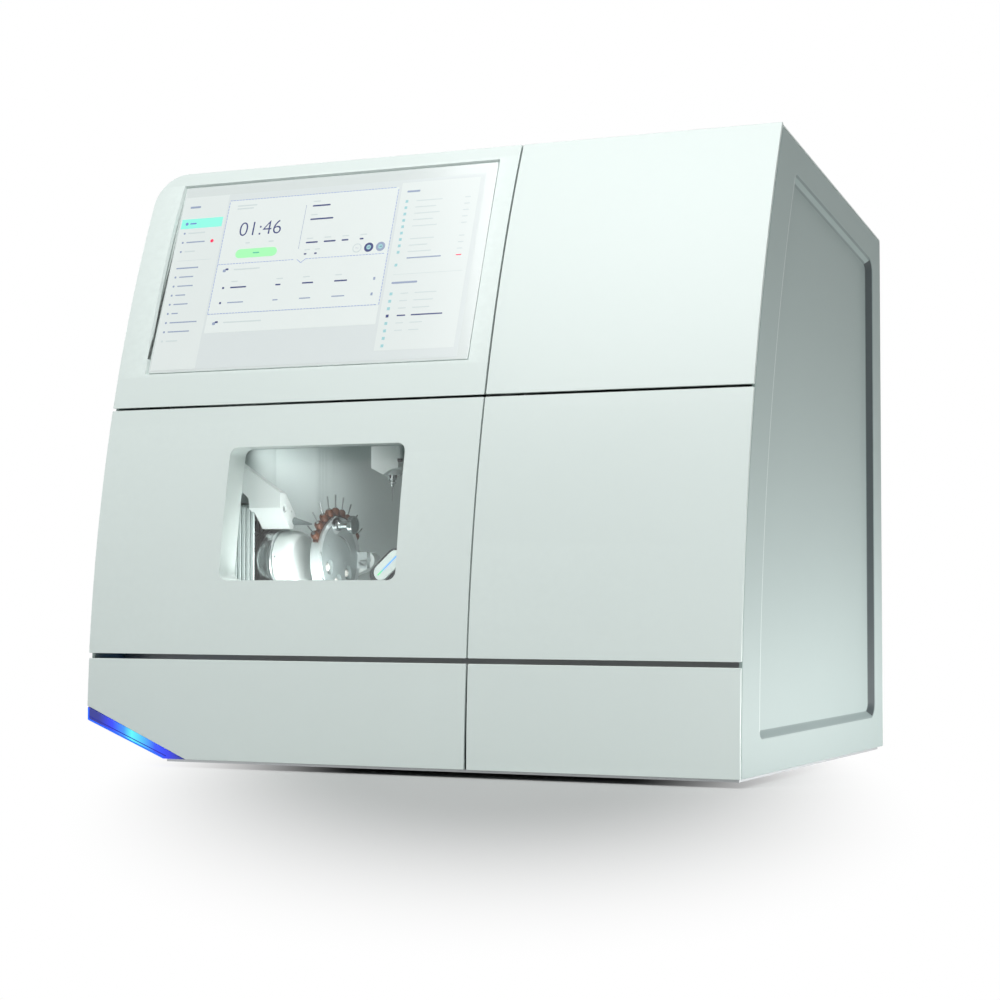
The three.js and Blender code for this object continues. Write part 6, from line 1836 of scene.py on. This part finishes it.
def make_blank_clamp():
    """A ring with a step for the disc, an ear with its pin, and a seat for the thumb screw."""
    back, face, past = CLAMP_BACK / MM, CLAMP_FACE / MM, OVERRUN / MM
    ring = disc_on_axis("clamp_ring", 52, back, face)
    step = disc_on_axis("step", 45.6, back + 2, face + past)
    rear = disc_on_axis("rear", 43.6, back - past, face)
    carve(ring, step, rear)
    ear_front, ear_rear, ear_half = 0.6 * MM, 8.5 * MM, 10 * MM
    pin_radius, pin_rear, pin_edge = 5 * MM, 25 * MM, 0.6 * MM
    pin = rod("pin", pin_radius, (SWIVEL_X, ear_front, AXIS_Z), (SWIVEL_X, pin_rear, AXIS_Z), pin_edge, 48)
    ear_low, ear_top = AXIS_Z - ear_half, AXIS_Z + ear_half
    ear = block("ear", (CLAMP_X, ear_front, ear_low), (SWIVEL_X + pin_radius, ear_rear, ear_top))
    seat = disc_on_screw("seat", 11 * MM, CLAMP_BACK, CLAMP_FACE)
    unite(ring, ear, seat, pin)
    bore_ends = [(x, SCREW_Y, SCREW_Z) for x in (CLAMP_BACK - OVERRUN, CLAMP_FACE + OVERRUN)]
    carve(ring, rod("bore", BORE, *bore_ends))
    soften(ring, SMALL_EDGE, 2, 35)
    smooth(ring, 45)
    dress(ring, PALE_STEEL, "blank_holder", "aluminium", "blank_clamp")
    screw_circle = 48.8 * MM
    sunk = 0.1 * MM
    places = []
    for degrees in (-150, -100, -50, 172):
        angle = math.radians(degrees)
        y = AXIS_Y + screw_circle * math.cos(angle)
        places.append((CLAMP_FACE - sunk, y, AXIS_Z + screw_circle * math.sin(angle)))
    screws = grown("clamp_screws", SCREWS, places, [(1, 0, 0)] * len(places), head_radius=2.2 * MM,
                   head_height=1.4 * MM, socket_radius=1.1 * MM, material=SHEET)
    dress(screws, None, "blank_holder", "sheet_steel")


def crown_mesh(name, x0, x1, y, z, radius, turn):
    """A milled crown: a rounded body with cusps and a waist, held in its pocket."""
    cusp_share, uneven_share, waist_share = 0.10, 0.05, 0.12
    cusps = 4
    bm = bmesh.new()
    bmesh.ops.create_icosphere(bm, subdivisions=4, radius=1.0)
    for vertex in bm.verts:
        direction = vertex.co.normalized()
        around = math.atan2(direction.z, direction.y) + turn
        wave = cusp_share * math.cos(cusps * around)
        cusp = 1 + wave * (1 - abs(direction.x)) + uneven_share * math.sin(3 * around)
        waist = 1 - waist_share * math.exp(-(direction.x * 3) ** 2)
        vertex.co = Vector((
            (x0 + x1) / 2 + direction.x * (x1 - x0) / 2 * (1 + wave),
            y + direction.y * radius * cusp * waist,
            z + direction.z * radius * cusp * waist,
        ))
    return new_object(name, bm)


def make_milling_blank():
    """The disc with three milled crowns, a curved cut and its centring holes."""
    low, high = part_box("milling_blank")
    near, far = low.x / MM, high.x / MM
    middle = (low.x + high.x) / 2
    profile = [(0, near), (44.7, near), (45, near + 0.4), (45, far - 0.5), (44.5, far), (0, far)]
    disc = turned_on_axis("blank_disc", profile, 128)
    crown_circle = 27 * MM
    crown_radius = 5.4 * MM
    crown_inset = 0.8 * MM
    pocket_radius = 8.7
    bridge_radius, bridge_start, bridge_end = 1.1 * MM, 4.5 * MM, 9.6 * MM
    cutters = []
    crowns = []
    for degrees in CROWN_ANGLES:
        turn = math.radians(degrees)
        y = AXIS_Y + crown_circle * math.cos(turn)
        z = AXIS_Z + crown_circle * math.sin(turn)
        outline = []
        for i in range(48):
            a = 2 * math.pi * i / 48
            r = (pocket_radius + 0.5 * math.sin(3 * a + degrees) + 0.3 * math.sin(5 * a)) * MM
            outline.append((y + r * math.cos(a), z + r * math.sin(a)))
        cutters.append(pushed_in_x("pocket", outline, low.x - OVERRUN, high.x + OVERRUN))
        start, end = low.x + crown_inset, high.x - crown_inset
        crowns.append(crown_mesh("crown", start, end, y, z, crown_radius, turn))
        for side in (-1, 1):
            ends = [(middle, y + side * reach, z) for reach in (bridge_start, bridge_end)]
            crowns.append(rod("bridge", bridge_radius, *ends, 0, 16))
    hole_depth = 3 * MM
    for y, z in millimetres(((-73.7, 256), (-44, 250.1), (-60, 262), (-33, 236))):
        cutters.append(rod("hole", 0.9 * MM, (high.x - hole_depth, y, z), (high.x + OVERRUN, y, z), 0, 20))
    cutters.append(disc_on_screw("seat", SCREW_ROOM, low.x - OVERRUN, high.x + OVERRUN))

    # The curved cut, which is widest at its middle, and a black plate in it that is painted shade in the cut
    cut_start, cut_end, cut_steps = 12, 97, 24
    cut_depth = 4 * MM
    crescent = arc_points(AXIS_Y, AXIS_Z, 29.6 * MM, cut_start, cut_end, cut_steps)
    for i, (y, z) in enumerate(arc_points(AXIS_Y, AXIS_Z, 1.0, cut_end, cut_start, cut_steps)):
        r = (29.2 - 2.2 * math.sin(math.pi * i / cut_steps)) * MM
        crescent.append((AXIS_Y + (y - AXIS_Y) * r, AXIS_Z + (z - AXIS_Z) * r))
    cutters.append(pushed_in_x("cut", crescent, high.x - cut_depth, high.x + OVERRUN))
    carve(disc, *cutters)
    soften(disc, 0.25 * MM, 2, 40)
    smooth(disc, 40)
    # The disc's grey, darker than its crowns, is partly painted shade on its face
    dress(disc, BLANK_FACE_SHADE_GREY, "blank_holder", "blank_ceramic", "milling_blank")
    teeth = merge("blank_crowns", crowns)
    smooth(teeth, 60)
    dress(teeth, CERAMIC, "blank_holder", "blank_ceramic")
    # A black plate under the cut's face, painted shade in the cut
    floor = pushed_in_x("blank_cut_floor", crescent, high.x - cut_depth - 0.1 * MM, high.x - 2.2 * MM)
    dress(floor, BLACK, "blank_holder", "black_plastic")


def make_clamp_screw():
    """A thumb screw with a waist and a knurled head. Its profile gives radius and X from the clamp's face."""
    shape = [
        (0, -12), (4.6, -12), (5, -11.6), (5, 0.2), (6.4, 0.3), (7, 0.9), (7, 3.6), (6.5, 4.2), (5.4, 4.6),
        (4.9, 6), (4.7, 10), (4.9, 15), (5.8, 17.6), (8.4, 18.7), (10.4, 19.1), (11, 19.8), (11, 25.2),
        (10.4, 26), (8.2, 26), (7.6, 25.4), (0, 25),
    ]
    face = CLAMP_FACE / MM
    profile = [(r * MM, (face + x) * MM) for r, x in shape]
    screw = turned("thumb_screw_skin", profile, (0, SCREW_Y, SCREW_Z), "x", 80)
    smooth(screw, 35)
    dress(screw, CHROME, "thumb_screw", "chrome", "clamp_screw")
    rib_low, rib_high, rib_half = 10.7 * MM, 11.25 * MM, 0.35 * MM
    rib_start, rib_end = (face + 20.2) * MM, (face + 24.8) * MM
    rib = block("rib", (rib_low, -rib_half, rib_start), (rib_high, rib_half, rib_end))
    knurl = knurled("thumb_screw_knurl", rib, 36, (0, math.radians(90), 0), (0, SCREW_Y, SCREW_Z))
    dress(knurl, None, "thumb_screw", "chrome")


def knurled(name, rib, count, turn, centre):
    """A rib repeated all the way round an axis."""
    return grown(name, RING, part=rib, count=count, first_angle=0.0, angle_step=2 * math.pi / count,
                 turn=turn, centre=centre, material=CHROME)


def make_tool_collars():
    """Nine copper collars round the clamp, each with a steel cap and a bur."""
    rail_inner, rail_outer, rail_half = 52.35 * MM, 55.8 * MM, 3 * MM
    rail_start, rail_end, rail_steps = 23, 157, 60
    outline = arc_points(AXIS_Y, AXIS_Z, rail_outer, rail_start, rail_end, rail_steps)
    outline += arc_points(AXIS_Y, AXIS_Z, rail_inner, rail_end, rail_start, rail_steps)
    rail = pushed_in_x("collar_rail", outline, CLAMP_X - rail_half, CLAMP_X + rail_half)
    carve(rail, disc_on_screw("seat", SCREW_ROOM, CLAMP_BACK - OVERRUN, CLAMP_FACE + OVERRUN))
    soften(rail, FINE_EDGE, 2, 40)
    smooth(rail)
    dress(rail, RAIL, "blank_holder", "copper", "tool_collars")

    def radial(name, profile, steps):
        """Turned about the direction in which the copies stand out, which is X before the ring is turned."""
        return turned(name, millimetres(profile), (0, 0, 0), "x", steps)

    ring = {
        "count": 9,
        "first_angle": math.radians(30),
        "angle_step": math.radians(15),
        "turn": (math.radians(90), 0, math.radians(90)),
        "centre": (CLAMP_X, AXIS_Y, AXIS_Z),
    }
    body = radial("collar", [
        (0, 53.6), (3.2, 53.6), (4.4, 54.6), (5.0, 55.9), (5.2, 57.3), (4.7, 57.8), (4.7, 58.2), (5.2, 58.7),
        (5.0, 60.6), (4.4, 62.1), (3.3, 63.2), (2.7, 63.2), (2.6, 62.6), (0, 62.6),
    ], 28)
    smooth(body, 50)
    settle(body)
    collars = grown("tool_collar_bodies", RING, part=body, material=COPPER, **ring)
    smooth(collars, 50)
    dress(collars, None, "blank_holder", "copper")
    cap = radial("cap", [
        (0, 62.4), (2.3, 62.4), (2.3, 64.0), (1.9, 64.5), (1.3, 64.5), (1.15, 64.1), (0.9, 64.1), (0.8, 64.6),
        (0.8, 73), (1.0, 73.6), (1.0, 79.2), (0.7, 79.8), (0, 80),
    ], 16)
    caps = grown("tool_collar_burs", RING, part=cap, material=GREY_STEEL, **ring)
    smooth(caps, 50)
    dress(caps, None, "blank_holder", "chrome")


def turned_on_spindle(name, profile, steps=64):
    """A solid turned about the spindle. The profile gives radius and Z, in millimetres."""
    return turned(name, millimetres(profile), (SPINDLE_X, AXIS_Y, 0), "z", steps)


def make_spindle():
    """The spindle's casting with its coolant nozzle, its nose with the collet nut, and the bur."""
    left, right = -136 * MM, -99.5 * MM
    front, rear, top = -66 * MM, -26 * MM, 554 * MM
    outline = [(left, 349 * MM), (left + 16 * MM, 341 * MM), (left + 26 * MM, 347 * MM), (right, 349 * MM),
               (right, top), (left, top)]
    casting = prism("spindle_casting", outline, front, rear)
    collar = turned_on_spindle("collar", [(0, 341), (9.2, 341), (10, 341.8), (10, 354), (0, 354)])
    arm = block("arm", (right - LAP, -78.2 * MM, 381 * MM), (-88.8 * MM, -61.8 * MM, 393 * MM))
    unite(casting, collar, arm)
    bore = turned_on_spindle("bore", [(0, 336), (8.4, 336), (7.2, 343), (7.0, 409.4), (0, 409.4)])

    def groove(name, depth, half, low):
        """Room for the carriage's rail, cut into the right side from a height upwards."""
        return block(name, (right - depth, AXIS_Y - half, low), (right + OVERRUN, AXIS_Y + half, SPINDLE_END))

    seat_low = 440 * MM
    seat_front, seat_rear = -70 * MM, -20 * MM
    beyond = right + OVERRUN
    slide_seat = block("slide_seat", (right - LAP, seat_front, seat_low), (beyond, seat_rear, SPINDLE_END))
    carve(casting, bore, groove("groove", 6 * MM, 7.3 * MM, 361 * MM), slide_seat,
          groove("wide_groove", 7 * MM, 8.3 * MM, seat_low))
    soften(casting, SHEET_EDGE, 3, 28)
    smooth(casting, 40)
    dress(casting, CAST_WHITE, "spindle_head", "chamber_white", "spindle_housing")
    coolant_place = (-93 * MM, -74 * MM, 0)
    hose_profile = [(0, 359), (3.0, 359), (3.25, 359.4), (4.2, 380), (4.2, 382), (0, 382)]
    hose = turned("coolant_cone", millimetres(hose_profile), coolant_place, "z", 40)
    smooth(hose)
    dress(hose, CAST_WHITE, "spindle_head", "chamber_white")
    tip_profile = [(0, 355), (1.0, 355), (2.4, 355), (2.9, 355.6), (3.1, 359.4), (0, 359.4)]
    tip = turned("coolant_tip", millimetres(tip_profile), coolant_place, "z", 40)
    smooth(tip)
    dress(tip, BLACK, "spindle_head", "black_plastic")

    shaft = turned_on_spindle("spindle_nose", [
        (0, 326.2), (1.0, 326.3), (1.7, 327.0), (2.1, 328.2), (1.8, 329.4), (1.5, 330.2), (3.6, 330.5),
        (4.1, 331.0), (4.1, 332.9), (3.7, 333.4), (3.0, 333.8), (3.0, 334.7), (4.7, 335.2), (5.2, 335.9),
        (5.2, 344.0), (5.6, 345.0), (6.7, 346.0), (6.7, 409), (0, 409),
    ])
    smooth(shaft, 32)
    dress(shaft, CHROME, "spindle_rotor", "chrome", "spindle_shaft")
    rib = block("rib", (4.0 * MM, -0.16 * MM, 331.0 * MM), (4.3 * MM, 0.16 * MM, 332.9 * MM))
    on_spindle = (SPINDLE_X, AXIS_Y, 0)
    knurl = knurled("spindle_nut_knurl", rib, 26, (0, 0, 0), on_spindle)
    dress(knurl, None, "spindle_rotor", "chrome")
    # Black marks flush with the nose, painted shade for its slots
    outline = millimetres(((-1.9, 343.4), (-0.5, 337.0), (0.5, 337.0), (1.9, 343.4)))
    slot = prism("slot", outline, 4.6 * MM, 5.25 * MM, axes="yz")
    slot_shades = grown("spindle_nose_slots", RING, part=slot, count=4, first_angle=0.0, angle_step=math.pi / 2,
                  turn=(0, 0, 0), centre=on_spindle, material=BLACK)
    dress(slot_shades, None, "spindle_rotor", "black_plastic")
    bur = turned_on_spindle("bur_skin", [
        (0, 309), (0.4, 309.2), (0.6, 309.7), (0.7, 313), (0.75, 316.4), (0.6, 317), (0.6, 317.6),
        (0.95, 318.6), (0.95, 326.8), (0, 326.8),
    ], 24)
    smooth(bur)
    dress(bur, GREY_STEEL, "spindle_rotor", "sheet_steel", "milling_bur")


# The lamp's centre, its size and its tilt in degrees
LAMP = {"x": -63 * MM, "y": -156 * MM, "z": 229 * MM, "length": 52 * MM, "radius": 11.6 * MM, "tilt": 42}


def lamp_outline(shrink, shift=0.0):
    """A long round-ended outline. A shift draws its lower end in."""
    length = LAMP["length"] / 2 - LAMP["radius"]
    radius = LAMP["radius"] - shrink
    return arc_points(length, 0, radius, -90, 90, 20) + arc_points(-length + shift, 0, radius, 90, 270, 20)


def on_lamp(obj):
    """Tilts a piece that was made about the lamp's centre and puts it there."""
    turn = Matrix.Rotation(math.radians(-LAMP["tilt"]), 4, "Y")
    obj.data.transform(Matrix.Translation((LAMP["x"], LAMP["y"], LAMP["z"])) @ turn)
    return obj


def lamp_line_material():
    """A row of light that runs from green to blue along the lamp."""
    material, tree, surface = node_tree("lamp line")
    place = put(tree, "ShaderNodeTexCoord")
    parts = put(tree, "ShaderNodeSeparateXYZ")
    along = put(tree, "ShaderNodeMapRange")
    half_run = 13 * MM
    preset(along, {"From Min": LAMP["x"] - half_run, "From Max": LAMP["x"] + half_run})
    glow = put(tree, "ShaderNodeValToRGB")
    glow.color_ramp.elements[0].position = 0.18
    glow.color_ramp.elements[0].color = (0.16, 0.85, 0.10, 1)
    glow.color_ramp.elements[1].position = 0.42
    glow.color_ramp.elements[1].color = (0.10, 0.38, 0.95, 1)
    wire(
        tree,
        (place, "Object", parts, 0),
        (parts, "X", along, "Value"),
        (along, "Result", glow, "Fac"),
        (glow, "Color", surface, "Emission Color"),
    )
    preset(surface, {"Emission Strength": 0.9, "Base Color": (0.05, 0.2, 0.3, 1)})
    variation = placed_group(tree, VARIATION, patch_size=60.0, grain_size=900.0, low=0.2, high=0.3)
    tree.links.new(variation.outputs["Roughness"], surface.inputs["Roughness"])
    return material


def make_chamber_lamp():
    """A tilted lamp head on a post, with a pale face and a line of light."""
    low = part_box("chamber_lamp")[0]
    face_level = -10 * MM
    dish_depth = 3 * MM
    end_draw = 4.4 * MM
    shell = prism("lamp_shell", lamp_outline(0), face_level, -face_level)
    outline = lamp_outline(1.8 * MM, end_draw)
    carve(shell, prism("dish", outline, face_level - OVERRUN, face_level + dish_depth))
    soften(shell, SHEET_EDGE, 3, 40)
    smooth(shell, 40)
    on_lamp(shell)
    foot_x = -68 * MM
    post_low, post_top = low.z + 2 * MM, LAMP["z"] - 6 * MM
    post = rod("post", 6 * MM, (foot_x, LAMP["y"], post_low), (foot_x, LAMP["y"], post_top), 0, 40)
    profile = millimetres(((0, 0), (12, 0), (12, 4.6), (10.6, 6), (0, 6)))
    base = turned("base", profile, (foot_x, LAMP["y"], low.z), "z", 48)
    stand = merge("lamp_body", [shell, post, base])
    smooth(stand, 40)
    dress(stand, LAMP_GREY, "housing", "black_plastic", "chamber_lamp")
    proud, bite = 0.2 * MM, 0.2 * MM
    outline = lamp_outline(2.0 * MM, end_draw)
    face = prism("lamp_face", outline, face_level - proud, face_level + dish_depth + bite)
    soften(face, 1.4 * MM, 4, 40)
    smooth(face, 60)
    on_lamp(face)
    dress(face, CAST_WHITE, "housing", "chamber_white")
    outline = rounded(-15 * MM, 19 * MM, -0.4 * MM, 1.2 * MM, 0.79 * MM, 6)
    line = prism("lamp_line", outline, face_level - 0.35 * MM, face_level + 0.5 * MM)
    smooth(line)
    on_lamp(line)
    dress(line, lamp_line_material(), "housing", "blue_light")


# Lights, floor and camera


# The floor, in metres: its half size, its grey, and where it starts and ends to fade to white in the turned
# and stretched oval. Inside the oval, which reaches out in front of the machine, the grey is a painted shadow
# added to the lamps' real one
FLOOR_HALF = 14.0
FLOOR_SHADOW_GREY = 0.56
SHADOW_OVAL_TURN = -24.6
SHADOW_OVAL_STRETCH = (2.4, 0.7, 0.0)
SHADOW_OVAL_START = 0.40
SHADOW_OVAL_END = 1.06
WORLD_TINT = (0.86, 1.0, 0.97)
WORLD_LIGHT = 0.18


def not_lighting(tree):
    """One for rays that show the backdrop or its mirror image, nought for those that light a surface."""
    path = put(tree, "ShaderNodeLightPath")
    total = None
    for name in ("Is Camera Ray", "Is Glossy Ray", "Is Transmission Ray"):
        if total is None:
            total = path.outputs[name]
            continue
        added = put(tree, "ShaderNodeMath", operation="ADD", use_clamp=True)
        tree.links.new(total, added.inputs[0])
        tree.links.new(path.outputs[name], added.inputs[1])
        total = added.outputs[0]
    return total


def make_stage():
    """A floor that keeps the lamps' shadow of the machine near it and fades to plain white further out. Near
    the machine it is grey in an oval stretched out in front, a painted shadow.
    """
    bm = bmesh.new()
    bmesh.ops.create_grid(bm, x_segments=1, y_segments=1, size=FLOOR_HALF)
    floor = new_object("floor", bm)
    material, tree, surface = node_tree("studio floor with painted shadow")
    preset(surface, {
        "Roughness": 0.9,
        "Base Color": (FLOOR_SHADOW_GREY, FLOOR_SHADOW_GREY, FLOOR_SHADOW_GREY, 1),
        "Specular IOR Level": 0.0,
    })
    place = put(tree, "ShaderNodeTexCoord")
    # The oval mask of the painted shadow, turned and stretched towards the front
    turned_place = put(tree, "ShaderNodeMapping")
    turned_place.inputs["Rotation"].default_value = (0.0, 0.0, math.radians(SHADOW_OVAL_TURN))
    centred = put(tree, "ShaderNodeVectorMath", operation="MULTIPLY")
    centred.inputs[1].default_value = SHADOW_OVAL_STRETCH
    distance = put(tree, "ShaderNodeVectorMath", operation="LENGTH")
    shadow_fade = put(tree, "ShaderNodeMapRange", interpolation_type="SMOOTHSTEP")
    preset(shadow_fade, {"From Min": SHADOW_OVAL_START, "From Max": SHADOW_OVAL_END})
    seen = not_lighting(tree)
    share = put(tree, "ShaderNodeMath", operation="MULTIPLY")
    white = put(tree, "ShaderNodeEmission")
    blend = put(tree, "ShaderNodeMixShader")
    wire(
        tree,
        (place, "Object", turned_place, "Vector"),
        (turned_place, "Vector", centred, 0),
        (centred, "Vector", distance, 0),
        (distance, "Value", shadow_fade, "Value"),
        (shadow_fade, "Result", share, 0),
    )
    tree.links.new(seen, share.inputs[1])
    wire(
        tree,
        (share, 0, blend, "Fac"),
        (surface, "BSDF", blend, 1),
        (white, "Emission", blend, 2),
    )
    show(tree, blend)
    floor.data.materials.append(material)

    world = bpy.data.worlds.new("studio")
    world.use_nodes = True
    bpy.context.scene.world = world
    tree = world.node_tree
    light = tree.nodes["Background"]
    preset(light, {"Color": (*WORLD_TINT, 1), "Strength": WORLD_LIGHT})
    backdrop = put(tree, "ShaderNodeBackground")
    backdrop.inputs["Color"].default_value = (1.0, 1.0, 1.0, 1)
    blend = put(tree, "ShaderNodeMixShader")
    tree.links.new(not_lighting(tree), blend.inputs["Fac"])
    tree.links.new(light.outputs["Background"], blend.inputs[1])
    tree.links.new(backdrop.outputs["Background"], blend.inputs[2])
    show(tree, blend, "OUTPUT_WORLD")


def area_light(name, place, target, size, power, spread=180):
    """A rectangular light that faces a target. Its power is in watts and its spread in degrees."""
    data = bpy.data.lights.new(name, "AREA")
    data.shape = "RECTANGLE"
    data.size, data.size_y = size
    data.energy = power
    data.spread = math.radians(spread)
    light = bpy.data.objects.new(name, data)
    bpy.context.scene.collection.objects.link(light)
    light.location = place
    light.rotation_euler = (Vector(target) - Vector(place)).to_track_quat("-Z", "Y").to_euler()
    light.visible_camera = False
    return light


def make_lights():
    area_light("overhead", (0.1, -1.75, 2.3), (0, -0.2, 0.3), (2.4, 1.6), 56)
    area_light("low_side", (0.73, 0.02, 0.03), (0.4, 0.0, 0.07), (1.1, 0.10), 2.25)
    area_light("chamber_roof", (-0.33, 0.06, 0.412), (-0.37, 0.17, 0.26), (0.06, 0.08), 0.08, spread=95)
    area_light("chamber_front", (-0.22, -0.165, 0.402), (-0.27, -0.08, 0.24), (0.16, 0.05), 0.145, spread=140)
    area_light("chamber_floor", (-0.12, -0.155, 0.175), (-0.29, -0.06, 0.24), (0.08, 0.06), 0.18, spread=90)
    area_light("window_edge", (-0.12, -0.150, 0.185), (-0.27, -0.26, 0.29), (0.05, 0.04), 0.045, spread=110)


# The fitted camera: sensor and lens in millimetres, place in metres, tilt and turn in degrees
SENSOR_WIDTH = 36
LENS = 81.88
CAMERA_PLACE = (1.1480, -2.4942, 0.2054)
CAMERA_TILT = 2.203
CAMERA_TURN = 24.638


def make_camera():
    data = bpy.data.cameras.new("camera")
    data.sensor_width = SENSOR_WIDTH
    data.lens = LENS
    camera = bpy.data.objects.new("camera", data)
    bpy.context.scene.collection.objects.link(camera)
    camera.location = CAMERA_PLACE
    camera.rotation_euler = (math.radians(90 + CAMERA_TILT), 0, math.radians(CAMERA_TURN))
    bpy.context.scene.camera = camera


make_camera()
make_stage()
make_lights()
dress_kept_nodes()
make_right_covers()
make_window_door()
make_door_liner()
make_drawer_front()
make_light_bar()
make_screen_cover()
make_screen()
make_top_cover()
make_right_side()
make_left_side()
make_rear_screws()
make_chamber_coves()
make_way_cover()
make_nozzle_block()
make_rotary_hub()
make_swivel_arm()
make_blank_clamp()
make_milling_blank()
make_clamp_screw()
make_tool_collars()
make_spindle()
make_chamber_lamp()

bpy.context.scene.view_settings.view_transform = "Standard"
